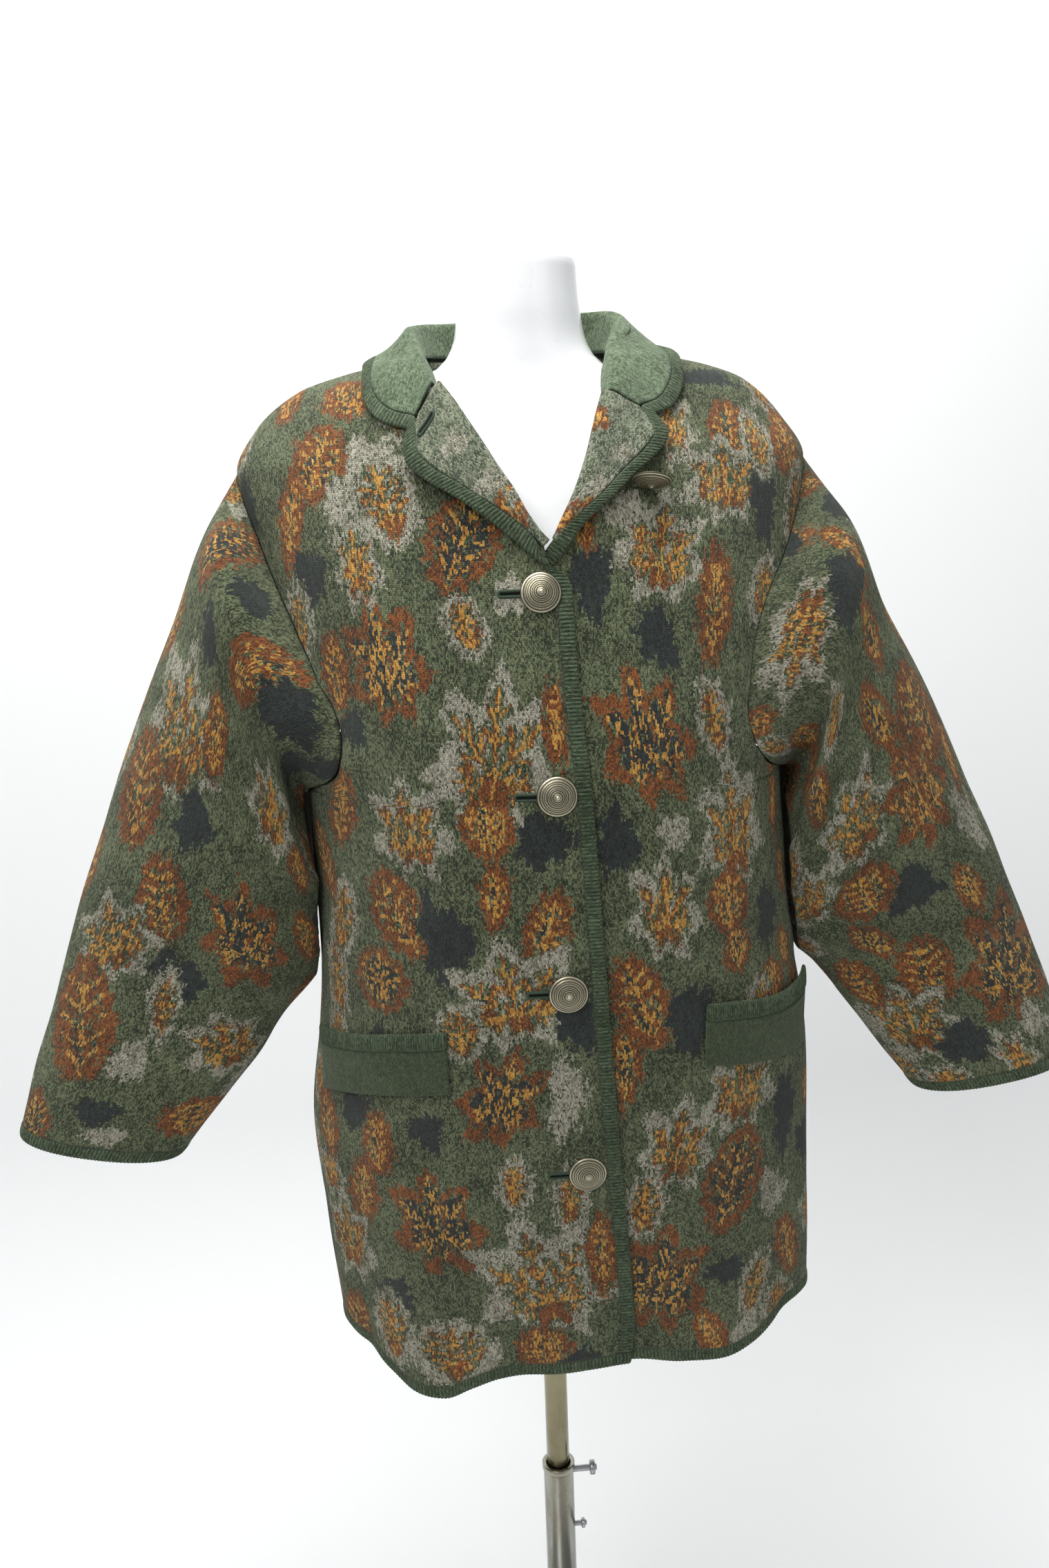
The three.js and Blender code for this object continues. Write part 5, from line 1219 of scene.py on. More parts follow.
def make_group(
    name: str, inputs: Sequence[tuple[str, str, object]], outputs: Sequence[str], kind: str = "Float"
) -> tuple:
    """Empty shader node group with its sockets.

    Args:
        name: Name of the group.
        inputs: Name, kind and starting value of each input.
        outputs: Name of each output.
        kind: Kind of the outputs.

    Returns:
        The group's board, the wires of its inputs and its output node.
    """
    tree = bpy.data.node_groups.new(name, "ShaderNodeTree")
    for label, sort, value in inputs:
        socket = tree.interface.new_socket(label, in_out="INPUT", socket_type="NodeSocket" + sort)
        if value is not None:
            socket.default_value = value
    for label in outputs:
        tree.interface.new_socket(label, in_out="OUTPUT", socket_type="NodeSocket" + kind)
    board = Board(tree)
    return board, board.wires(tree.nodes.new("NodeGroupInput"), len(inputs)), tree.nodes.new("NodeGroupOutput")


def stitch_group() -> bpy.types.NodeTree:
    """Group that divides the cloth into knitted stitches.

    Returns:
        A group with a chance for each stitch, leg, streak and dash, and the stitches' height.
    """
    board, (place, wale, course), end = make_group(
        "knitted_stitches", [("Place", "Vector", None), ("Wale", "Float", 2.0), ("Course", "Float", 1.6)],
        ["Chance", "Leg", "Streak", "Height", "Dash"],
    )
    x, y, _ = board.wires(board.add("SeparateXYZ", Vector=board.sway(place, 0.09, 3.0)))
    column = x / wale
    side = abs(column.math("FRACT") - 0.5)
    row = y / course - side * 1.1
    cells = (
        ("Chance", column, row, 0.0), ("Leg", column * 2.0, row, 7.0), ("Streak", column, row * 0.25, 3.0),
        ("Dash", column * 1.5, row * 0.45, 11.0),
    )
    for label, across, up, layer in cells:
        cell = board.add("CombineXYZ", X=across.math("FLOOR"), Y=up.math("FLOOR"), Z=layer).outputs[0]
        board.feed(end.inputs[label], board.add("TexWhiteNoise", Vector=cell).outputs[0])
    leg, tall = side * 4.0 - 1.0, row.math("FRACT") * 2.0 - 1.0
    swell = (1.0 - leg * leg) * (1.0 - tall * tall)
    board.feed(end.inputs["Height"], swell.math("MAXIMUM", 0.0) ** 0.6)
    return board.tree


def heather_group() -> bpy.types.NodeTree:
    """Group that gives a yarn spun from fibres of two shades."""
    colours = [("Dark", "Color", (0, 0, 0, 1)), ("Light", "Color", (1, 1, 1, 1))]
    values = [("Leg", "Float", 0.5), ("Place", "Vector", None), ("Contrast", "Float", 0.5)]
    board, (dark, light, leg, place, contrast), end = make_group("heathered_yarn", colours + values, ["Color"], "Color")
    fibre = board.noise(board.stretch(place, 1.0, 0.55, 1.0), 1.7, 3.0, 0.62)
    patch = board.noise(board.stretch(place, 1.3, 0.4, 1.0), 0.16)
    wide = board.noise(place, 0.022)
    level = leg * 0.55 + fibre * 0.8 + (patch - 0.5) * 0.45 + (wide - 0.5) * 0.5
    share = board.ramp(level, 0.74 - contrast * 0.6, 0.78 + contrast * 0.6)
    board.feed(end.inputs[0], board.mix(share, dark, light))
    return board.tree


def nap_group() -> bpy.types.NodeTree:
    """Group that gives the felted nap: a height for bump and a pale bloom of loose fibres."""
    inputs = [("Place", "Vector", None), ("Stitch Height", "Float", 0.5), ("Felting", "Float", 0.6)]
    board, (place, stitch, felting), end = make_group("felted_nap", inputs, ["Height", "Bloom"])
    swirled = board.sway(place, 0.5, 2.2)
    fine = board.noise(board.stretch(swirled, 1.0, 0.5, 1.0), 3.6, 3.0, 0.7)
    board.feed(end.inputs["Height"], stitch * (1.0 - felting) + fine * 0.55 + board.noise(swirled, 0.8) * 0.5)
    board.feed(end.inputs["Bloom"], board.ramp(fine, 0.52, 0.78))
    return board.tree


def seam_dip_and_shade_group() -> bpy.types.NodeTree:
    """Group that gives the dip of the cloth beside a seam, for bump, and the painted shade that darkens its colour
    there.
    """
    inputs = [("Distance", "Float", 9.0), ("Reach", "Float", 4.0)]
    board, (distance, reach), end = make_group("seam_dip_and_painted_shade", inputs, ["Depth", "Painted_Shade"])
    near = board.ramp(distance, 0.0, reach, 1.0, 0.0)
    board.feed(end.inputs["Depth"], near**2.0)
    # painted shade: how strongly the colour is darkened near the seam
    board.feed(end.inputs["Painted_Shade"], near**1.5)
    return board.tree


def patina_group() -> bpy.types.NodeTree:
    """Group that gives wear on metal: cloudy tarnish and fine scratches."""
    inputs = [("Place", "Vector", None), ("Scale", "Float", 40.0)]
    board, (place, scale), end = make_group("metal_patina", inputs, ["Tarnish", "Scratch"])
    board.feed(end.inputs["Tarnish"], board.ramp(board.noise(place, scale, 6.0, 0.65), 0.38, 0.68))
    lines = board.noise(board.stretch(place, 1.0, 1.0, 14.0), scale * 3.0, 3.0)
    board.feed(end.inputs["Scratch"], board.ramp(lines, 0.60, 0.70))
    return board.tree


@dataclass(frozen=True)
class Yarn:
    """Two shades that a yarn is spun from, and how strongly they differ from strand to strand."""

    dark: str
    light: str
    contrast: float = 0.5


def woolly(sheen: float, tint: str) -> dict[str, object]:
    """Shader inputs of wool, with its sheen."""
    return {
        "Roughness": 0.92, "Specular_IOR_Level": 0.18, "Sheen_Weight": sheen, "Sheen_Roughness": 0.55,
        "Sheen_Tint": colour(tint),
    }


class Finishes:
    """Every finish of the part, built on the shared groups."""

    GROUND = Yarn("#222b18", "#858e69", 0.46)
    RUST = Yarn("#552a10", "#ab642f", 0.42)
    GREY = Yarn("#6f6b5a", "#cfcbb7", 0.46)
    NAVY = Yarn("#14181a", "#3a4244", 0.5)
    GOLD = Yarn("#b1782b", "#edb95c", 0.42)
    COLLAR = Yarn("#323f2b", "#74836a", 0.5)
    PLAIN = Yarn("#2a3423", "#4d5740", 0.5)
    RIB = Yarn("#313d2b", "#6a785e", 0.5)
    REVERSE = Yarn("#384230", "#a8ae93", 0.5)

    def __init__(self) -> None:
        """Builds the groups and then each material."""
        self.stitches, self.heather, self.nap = stitch_group(), heather_group(), nap_group()
        self.seam, self.patina = seam_dip_and_shade_group(), patina_group()
        self.jacquard = self._jacquard("leaf_jacquard_wool", self.GROUND)
        self.reverse = self._jacquard("turned_lapel_wool", self.REVERSE)
        self.collar = self._plain("collar_fulled_wool", self.COLLAR)
        self.plain = self._plain("welt_fulled_wool", self.PLAIN)
        self.rib = self._rib("ribbed_band_knit")
        self.silver = self._silver("antique_silver_button")
        self.gloss = self._gloss("glossy_white_form")
        self.chrome = self._tube("worn_chrome_tube", "#8f8a70", "#6a5f45")
        self.lower_chrome = self._tube("taped_chrome_tube", "#adb0a4", "#7d5f42")
        self.steel = self._steel("satin_steel")
        self.thread = self._thread("buttonhole_thread")

    def _yarn(self, board: Board, yarn: Yarn, leg: Wire, place: Wire) -> Wire:
        """Colour of a heathered yarn."""
        shades = {"Dark": colour(yarn.dark), "Light": colour(yarn.light)}
        return board.group(self.heather, **shades, Leg=leg, Place=place, Contrast=yarn.contrast)[0]

    def _jacquard(self, name: str, ground: Yarn) -> bpy.types.Material:
        """Leaf jacquard: ground and leaf yarns chosen stitch by stitch from the leaf fields."""
        board = Surface(name)
        place = board.attribute("stitch_place", "Vector")
        rust, grey, navy = board.wires(board.add("SeparateColor", Color=board.attribute("leaf_yarns", "Color")))
        gold = board.attribute("leaf_yarns", "Alpha")
        chance, leg, streak, height, dash = board.group(self.stitches, Place=place)
        flame = board.noise(board.stretch(place, 1.0, 0.22, 1.0), 0.26, 2.0, 0.6)
        fray = (chance - 0.5) * 3.4 + (streak - 0.5) * 3.6 + (flame - 0.5) * 15.0
        shade = self._yarn(board, ground, leg, place)
        for yarn, field in ((self.NAVY, navy), (self.GREY, grey), (self.RUST, rust)):
            mask = board.ramp(field + fray, -0.35, 0.35) * board.ramp(leg, 0.04, 0.06)
            shade = board.mix(mask, shade, self._yarn(board, yarn, leg, place))
        bits = (dash - 0.66) * 3.6 + (chance - 0.5) * 0.9
        shade = board.mix(board.ramp(gold + bits, -0.1, 0.25), shade, self._yarn(board, self.GOLD, leg, place))
        nap, bloom = board.group(self.nap, Place=place, Stitch_Height=height, Felting=0.3)
        shade = board.mix(bloom * 0.16, shade, colour("#a8ad9c"))
        # painted shade: the colour is darkened where the stitches are low, in the gaps between them
        stitch_gap_shade = board.ramp(height, 0.0, 0.7, 0.62, 1.0)
        level = board.add("CombineColor", Red=stitch_gap_shade, Green=stitch_gap_shade, Blue=stitch_gap_shade).outputs[0]
        shade = board.mix(1.0, shade, level, "MULTIPLY")
        # painted shade: the colour is darkened beside seams and edges
        depth, dark = board.group(self.seam, Distance=board.attribute("seam_distance"), Reach=3.0)
        shade = board.mix(dark * 0.2, shade, colour("#20271f"))
        inside = self._yarn(board, self.REVERSE, leg, place)
        shade = board.mix(board.attribute("wrong_side"), shade, inside)
        return board.finish(nap - depth, 0.85, 0.0012, Base_Color=shade, **woolly(0.22, "#c9cdbf"))

    def _plain(self, name: str, yarn: Yarn) -> bpy.types.Material:
        """Plain fulled wool of the collar and welts, with its stitches nearly felted away."""
        board = Surface(name)
        place, distance = board.attribute("stitch_place", "Vector"), board.attribute("seam_distance")
        _, leg, _, height, _ = board.group(self.stitches, Place=place)
        nap, bloom = board.group(self.nap, Place=place, Stitch_Height=height, Felting=0.75)
        shade = board.mix(bloom * 0.22, self._yarn(board, yarn, leg, place), colour("#8f9a86"))
        # painted shade: the colour is darkened strongly beside seams and edges
        depth, dark = board.group(self.seam, Distance=distance, Reach=3.4)
        shade = board.mix(dark * 0.55, shade, colour("#1c241c"))
        groove = board.ramp(abs(distance - STITCHED_LINE), 0.0, 1.3, 0.9, 0.0)
        return board.finish(
            nap - depth * 1.4 - groove, 0.55, 0.0009, Base_Color=shade, **woolly(0.28, "#b9c2af")
        )

    def _rib(self, name: str) -> bpy.types.Material:
        """Ribbed band: painted shade in its furrows, and brushed on its ribs."""
        board = Surface(name)
        place = board.attribute("stitch_place", "Vector")
        _, leg, _, height, _ = board.group(self.stitches, Place=place, Wale=1.45, Course=1.2)
        # painted shade: the colour is darkened in the furrows between the ribs
        furrow_shade = board.attribute("painted_groove_shade") * 0.6
        shade = board.mix(furrow_shade, self._yarn(board, self.RIB, leg, place), colour("#141b15"))
        nap, bloom = board.group(self.nap, Place=place, Stitch_Height=height, Felting=0.4)
        shade = board.mix(bloom * 0.14, shade, colour("#7d8a76"))
        return board.finish(nap, 0.6, 0.0008, Base_Color=shade, **woolly(0.2, "#b0baa8"))

    def _silver(self, name: str) -> bpy.types.Material:
        """Antique silver: dark in the hollows of the relief and rubbed bright on its heights."""
        board = Surface(name)
        height = board.attribute("relief_height")
        tarnish, _ = board.group(self.patina, Place=board.object_place(), Scale=420.0)
        shade = board.mix(board.ramp(height, 0.15, 0.75), colour("#3e3a2e"), colour("#c9c3ab"))
        shade = board.mix(tarnish * 0.35, shade, colour("#857c64"))
        rough = board.ramp(height + tarnish * -0.4, 0.0, 1.0, 0.55, 0.27)
        return board.finish(tarnish, 0.12, 0.0002, Base_Color=shade, Roughness=rough, Metallic=1.0)

    def _gloss(self, name: str) -> bpy.types.Material:
        """Glossy white moulding with faint flow waves and dust."""
        board = Surface(name)
        place = board.object_place()
        wave, dust = board.noise(place, 9.0), board.noise(place, 260.0, 4.0, 0.7)
        shade = board.mix(board.ramp(dust, 0.62, 0.8), colour("#f3f4f5"), colour("#dfe0e0"))
        rough = board.ramp(wave, 0.3, 0.7, 0.16, 0.24)
        coat = {"Coat_Weight": 0.4, "Coat_Roughness": 0.08}
        return board.finish(wave, 0.05, 0.002, Base_Color=shade, Roughness=rough, **coat)

    def _tube(self, name: str, bright: str, stain: str) -> bpy.types.Material:
        """Chromed tube with hazy stains, lengthwise scuffs and rubbed rings."""
        board = Surface(name)
        place = board.object_place()
        haze, _ = board.group(self.patina, Place=board.stretch(place, 1.0, 1.0, 0.35), Scale=38.0)
        _, rings = board.group(self.patina, Place=place, Scale=60.0)
        shade = board.mix(haze * 0.55, colour(bright), colour(stain))
        shade = board.mix(rings * 0.5, shade, colour("#6d5c4a"))
        rough = board.ramp(haze, 0.0, 1.0, 0.12, 0.34)
        return board.finish(rings, 0.08, 0.0002, Base_Color=shade, Roughness=rough, Metallic=1.0)

    def _steel(self, name: str) -> bpy.types.Material:
        """Satin plated steel of the base and screws."""
        board = Surface(name)
        tarnish, scratch = board.group(self.patina, Place=board.object_place(), Scale=30.0)
        shade = board.mix(tarnish, colour("#b9bbbc"), colour("#8d8f90"))
        rough = board.ramp(tarnish, 0.0, 1.0, 0.28, 0.46)
        return board.finish(scratch, 0.1, 0.0002, Base_Color=shade, Roughness=rough, Metallic=1.0)

    def _thread(self, name: str) -> bpy.types.Material:
        """Twisted sewing thread round a buttonhole, with painted shade near black inside the slit."""
        board = Surface(name)
        place = board.attribute("stitch_place", "Vector")
        strand = board.noise(board.stretch(place, 1.0, 0.3, 1.0), 2.6)
        thread = board.mix(strand, colour("#1f2a22"), colour("#4c5c4c"))
        # painted shade: the slit is coloured near black as if in shadow
        shade = board.mix(board.attribute("painted_groove_shade"), thread, colour("#0c0f0c"))
        return board.finish(strand, 0.5, 0.0006, Base_Color=shade, **woolly(0.12, "#9aa596"))


def dress(thing: bpy.types.Object, material: bpy.types.Material, slot: str, *nodes: str) -> bpy.types.Object:
    """Gives a piece its material and hides the nodes of the solids that it stands for.

    Args:
        thing: The piece.
        material: Its finish.
        slot: Not used.
        nodes: Nodes of the solids that it replaces.

    Returns:
        The same piece.
    """
    thing.data.materials.append(material)
    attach(thing, "root")
    if nodes:
        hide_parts(*nodes)
    LOG.info("%s: %d faces", thing.name, len(thing.data.polygons))
    return thing


def declare_sheet(thing: bpy.types.Object, width: float, length: float, share: float, rests_on: Sequence[str]) -> None:
    """Works out the area that a flat cut fills and lists what holds a piece, and keeps neither.

    Args:
        thing: Not used.
        width: Width of the cut's rectangle in metres.
        length: Its length in metres.
        share: Share of the rectangle that the cut fills.
        rests_on: Names of what holds it.
    """
    list(rests_on)
    share * width * length


# ---------------------------------------------------------------- body panels


class Panel(Enum):
    """The three panels of the body."""

    RIGHT_FRONT = "right_front"
    LEFT_FRONT = "left_front"
    BACK = "back"


@dataclass
class BodyPanel:
    """One panel of the body, from the hem band up to the neck.

    Attributes:
        panel: Which panel it is.
        flat: Width and length of its cut in metres, and the share of them that it fills.
    """

    panel: Panel
    flat: tuple[float, float, float]

    FRONT_COLUMNS = 122
    BACK_COLUMNS = 226
    BACK_SCALE = (3.0, 1.0)

    def _edge_x(self, z: Grid) -> Grid:
        """Inner edge of a front: beside its band or hidden under the other, then the roll line."""
        if self.panel is Panel.RIGHT_FRONT:
            roll, start, inset = RIGHT_ROLL, BREAK_Z, BAND_WIDTH + SEAM_GAP
        else:
            roll, start, inset = LEFT_ROLL, LEFT_ROLL[0][0], UNDERLAP
        return np.where(z >= start, Curve.of(roll)(z), BODY.edge(z) - inset)

    def _angles(self, levels: Grid) -> tuple[Grid, Grid]:
        """First and last angle of the panel at each level."""
        if self.panel is Panel.BACK:
            side = BODY.side_angle(levels, "back")
            return math.pi + side, 2 * math.pi - side
        side = BODY.side_angle(levels, self.panel.value)
        inner = BODY.front_angle(self._edge_x(levels), levels)
        return (math.pi - side, inner) if self.panel is Panel.RIGHT_FRONT else (inner, side)

    def grid(self) -> tuple[Grid, Grid, Grid]:
        """Angles, heights and lifts of a fine grid of places."""
        levels = np.linspace(LOWEST_LEVEL, NECK_TOP, int((NECK_TOP - LOWEST_LEVEL) / CLOTH_STEP))
        first, last = self._angles(levels)
        share = np.linspace(0, 1, self.BACK_COLUMNS if self.panel is Panel.BACK else self.FRONT_COLUMNS)
        angle = first[:, None] + (last - first)[:, None] * share
        z = BODY.level_height(levels[:, None] * np.ones_like(angle), angle)
        lift = BODY.left_lift(angle, z) if self.panel is Panel.LEFT_FRONT else np.zeros_like(z)
        return angle, z, lift

    def build(self, finishes: Finishes) -> bpy.types.Object:
        """Makes the panel with its leaves.

        Args:
            finishes: The part's finishes.

        Returns:
            The panel.
        """
        angle, z, lift = self.grid()
        outer = BODY.place(angle, z, lift)
        along = arc_length(outer, 1)
        stitch = BODY.stitch_places(angle, z, self.panel is Panel.BACK)
        knitter = LeafKnitter(stitch)
        if self.panel is Panel.BACK:
            places = np.stack([np.degrees(angle) * self.BACK_SCALE[0], z], axis=-1)
            knitter.lay_out(BACK_LEAVES, places, self.BACK_SCALE)
            knitter.fill(31)
        else:
            rows = RIGHT_FRONT_LEAVES if self.panel is Panel.RIGHT_FRONT else LEFT_FRONT_LEAVES
            knitter.lay_out(rows, outer[..., [0, 2]])
            knitter.fill(7 + len(rows))
        edges = np.minimum(along, along[:, -1:] - along)
        edges = np.minimum(edges, arc_length(outer, 0))
        node = "back_panel" if self.panel is Panel.BACK else self.panel.value
        inward = -BODY.normal(angle, z)
        thing = Cloth(f"{self.panel.value}_cloth", outer, inward, stitch, knitter.fields, edges).build()
        dress(thing, finishes.jacquard, "leaf_jacquard", node)
        declare_sheet(thing, *self.flat, ["form_shell"])
        return thing


# ---------------------------------------------------------------- bands


@dataclass
class RibbedBand:
    """Knitted band swept between an inner and an outer line, with raised ribs across it.

    Attributes:
        name: Name of the piece.
        nodes: Nodes that it replaces.
        inner: Line beside the cloth that it edges.
        outer: Line of its free edge.
        normal: Directions out of its face.
        thickness: Thickness over the ribs.
        closed: True for a ring.
        pitch: Distance from rib to rib.
        overlap: How far it reaches over the cloth.
        overhang: How far its rounded edge stands past the outer line.
        end_radius: Radius of its rounded ends.
    """

    name: str
    nodes: tuple[str, ...]
    inner: Grid
    outer: Grid
    normal: Grid
    thickness: float = WOOL + 2 * BAND_SWELL + 1.0
    closed: bool = False
    pitch: float = RIB_PITCH
    overlap: float = 1.0
    overhang: float = 1.3
    end_radius: float = 2.2

    SPACING = 0.62
    SIDES = 16

    def build(self, finishes: Finishes) -> bpy.types.Object:
        """Makes the band.

        Args:
            finishes: The part's finishes.

        Returns:
            The band.
        """
        lines = [(self.inner + self.outer) / 2, self.inner, self.outer, self.normal]
        line = resample(np.concatenate(lines, axis=1), self.SPACING)
        if self.closed:
            line = line[:-1]
        middle, inner, outer, normal = line[:, :3], line[:, 3:6], line[:, 6:9], unit(line[:, 9:])
        way = unit(outer - inner)
        inner, outer = inner - way * self.overlap, outer + way * self.overhang
        along = arc_length(middle, 0)
        count = len(line)
        total = along[-1] + (np.linalg.norm(middle[0] - middle[-1]) if self.closed else 0)
        ribs = max(round(total / self.pitch), 1)
        phase = 2 * math.pi * ribs * along / total
        sway = 0.35 * np.sin(along / 17.0) + 0.25 * np.sin(along / 7.3 + 1.0)
        rib = 0.5 - 0.5 * np.cos(phase + sway)
        turn = np.linspace(0, 2 * math.pi, self.SIDES, endpoint=False)
        across = 0.5 + 0.5 * signed_power(np.cos(turn), 0.62)
        rise = 0.5 * signed_power(np.sin(turn), 0.8)
        sunk = 1 - 0.34 * rib[:, None] * (0.35 + 0.65 * np.abs(np.sin(turn)))
        lean = np.where(across < 0.5, 1.0, 1 - 0.045 * rib[:, None])
        to_end = np.full(count, np.inf) if self.closed else np.minimum(along, along[-1] - along)
        inward = np.clip(to_end / self.end_radius, 0, 1)
        round_end = np.sqrt(np.clip(1 - (1 - inward) ** 2, 0.04, 1))[:, None]
        across = 0.5 + (across * lean - 0.5) * (0.55 + 0.45 * round_end)
        points = (
            inner[:, None] + (outer - inner)[:, None] * across[..., None]
            + normal[:, None] * (self.thickness * rise * sunk * round_end)[..., None]
        )
        if self.closed:
            numbers = np.arange(count * self.SIDES).reshape(count, self.SIDES)
            faces = grid_quads(np.concatenate([numbers, numbers[:1]]), True)
        else:
            faces = tube_faces(count, self.SIDES)
        stitch = np.stack(np.broadcast_arrays(along[:, None], turn * 4.4), axis=-1)
        # painted shade mask: highest in the furrows between the ribs
        values = {"stitch_place": stitch, "painted_groove_shade": np.repeat(rib**1.6, self.SIDES)}
        thing = make_solid(self.name, points, faces, values)
        return dress(thing, finishes.rib, "rib_knit", *self.nodes)


class Lapel:
    """Turned-back lapel of one side: rows from the break to the gorge."""

    def __init__(self, rows: Rows, is_right: bool) -> None:
        """Makes the curves of its rows.

        Args:
            rows: Roll and edge points, row by row.
            is_right: True for the wearer's right.
        """
        self.rows = numbered_curves(rows, ("roll_x", "roll_z", "edge_x", "edge_z"))
        self.last = len(rows) - 1
        self.is_right = is_right

    def row(self, at: Grid) -> dict[str, Grid]:
        """Roll and edge points at row numbers, with the width between them."""
        values = {name: curve(at) for name, curve in self.rows.items()}
        values["width"] = np.hypot(values["edge_x"] - values["roll_x"], values["edge_z"] - values["roll_z"])
        return values

    def place(self, row: dict[str, Grid], distance: Grid, lift: Grid) -> Grid:
        """Points at distances from the roll towards the edge, and lifts above the front."""
        share = distance / row["width"]
        x = mix(row["roll_x"], row["edge_x"], share)
        z = mix(row["roll_z"], row["edge_z"], share)
        return BODY.place(BODY.front_angle(x, z), z, lift)

    def turned_lift(self, distance: Grid, at: Grid) -> Grid:
        """Lift of the middle of the turned sheet, highest next to the roll and again at its free edge."""
        flat = LAYER_GAP + BAND_SWELL + WOOL / 2
        top = 2 * self.roll_radius(at) - WOOL / 2
        spring = EDGE_SPRING * smooth_step(at / 2.5) * (1 - 0.55 * smooth_step((at - self.last + 2) / 2))
        down = mix(top, flat, smooth_step(distance / TURNED_WIDTH))
        return down + spring * smooth_step((distance - 6) / 26)

    @staticmethod
    def roll_radius(at: Grid) -> Grid:
        """Radius of the roll, small where it starts at the break."""
        return ROLL_RADIUS * mix(0.4, 1.0, smooth_step(at / 2.4))

    def band_lines(self, start: float) -> tuple[Grid, Grid, Grid]:
        """Inner line, outer line and directions of the lapel's part of the edge band.

        Args:
            start: Row number at which it starts.

        Returns:
            The three lines from the start up to the gorge.
        """
        at = np.linspace(start, self.last, 70)
        row = self.row(at)
        inset = np.maximum(row["width"] - BAND_WIDTH, 0.5)
        lines = [self.place(row, d, self.turned_lift(d, at)) for d in (inset, row["width"])]
        x, z = (row["roll_x"] + row["edge_x"]) / 2, (row["roll_z"] + row["edge_z"]) / 2
        return lines[0], lines[1], BODY.normal(BODY.front_angle(x, z), z)

    def build(self, finishes: Finishes) -> bpy.types.Object:
        """Makes the turned cloth of the lapel.

        Args:
            finishes: The part's finishes.

        Returns:
            The lapel.
        """
        at = np.linspace(0.15, self.last, 74)[:, None]
        row = self.row(at)
        turns = np.radians(np.linspace(-90, -225, 9))[None, :]
        radius = self.roll_radius(at)
        arc_distance = -ROLL_START * mix(0.1, 1.0, smooth_step(at / 2.5)) + radius * np.cos(turns)
        arc_lift = -WOOL / 2 + radius + radius * np.sin(turns)
        end = np.maximum(row["width"] - BAND_WIDTH - 0.8, 0.6)
        flat_distance = end * np.linspace(0, 1, 34)[None, :]
        distance = np.concatenate([arc_distance, flat_distance], axis=1)
        lift = np.concatenate([arc_lift, self.turned_lift(flat_distance, at)], axis=1)
        ripple = 0.5 * np.sin(distance / 9.0 + at * 2.1) * smooth_step(distance / 14)
        middle = self.place(row, distance, lift + ripple)
        across = arc_length(middle, 1)
        up = arc_length(middle, 0)[:, 20:21] + 0 * across
        stitch = np.stack([across, up], axis=-1)
        knitter = LeafKnitter(stitch)
        knitter.lay_out(RIGHT_LAPEL_LEAVES if self.is_right else LEFT_LAPEL_LEAVES, stitch)
        seam = np.minimum(across[:, -1:] - across, up[-1:] - up)
        side = "right" if self.is_right else "left"
        thing = slab(f"{side}_lapel_cloth", middle, stitch, knitter.fields, seam)
        dress(thing, finishes.reverse, "leaf_jacquard", f"{side}_lapel")
        declare_sheet(thing, 0.062, 0.155, 0.62, [f"{side}_front_cloth"])
        return thing


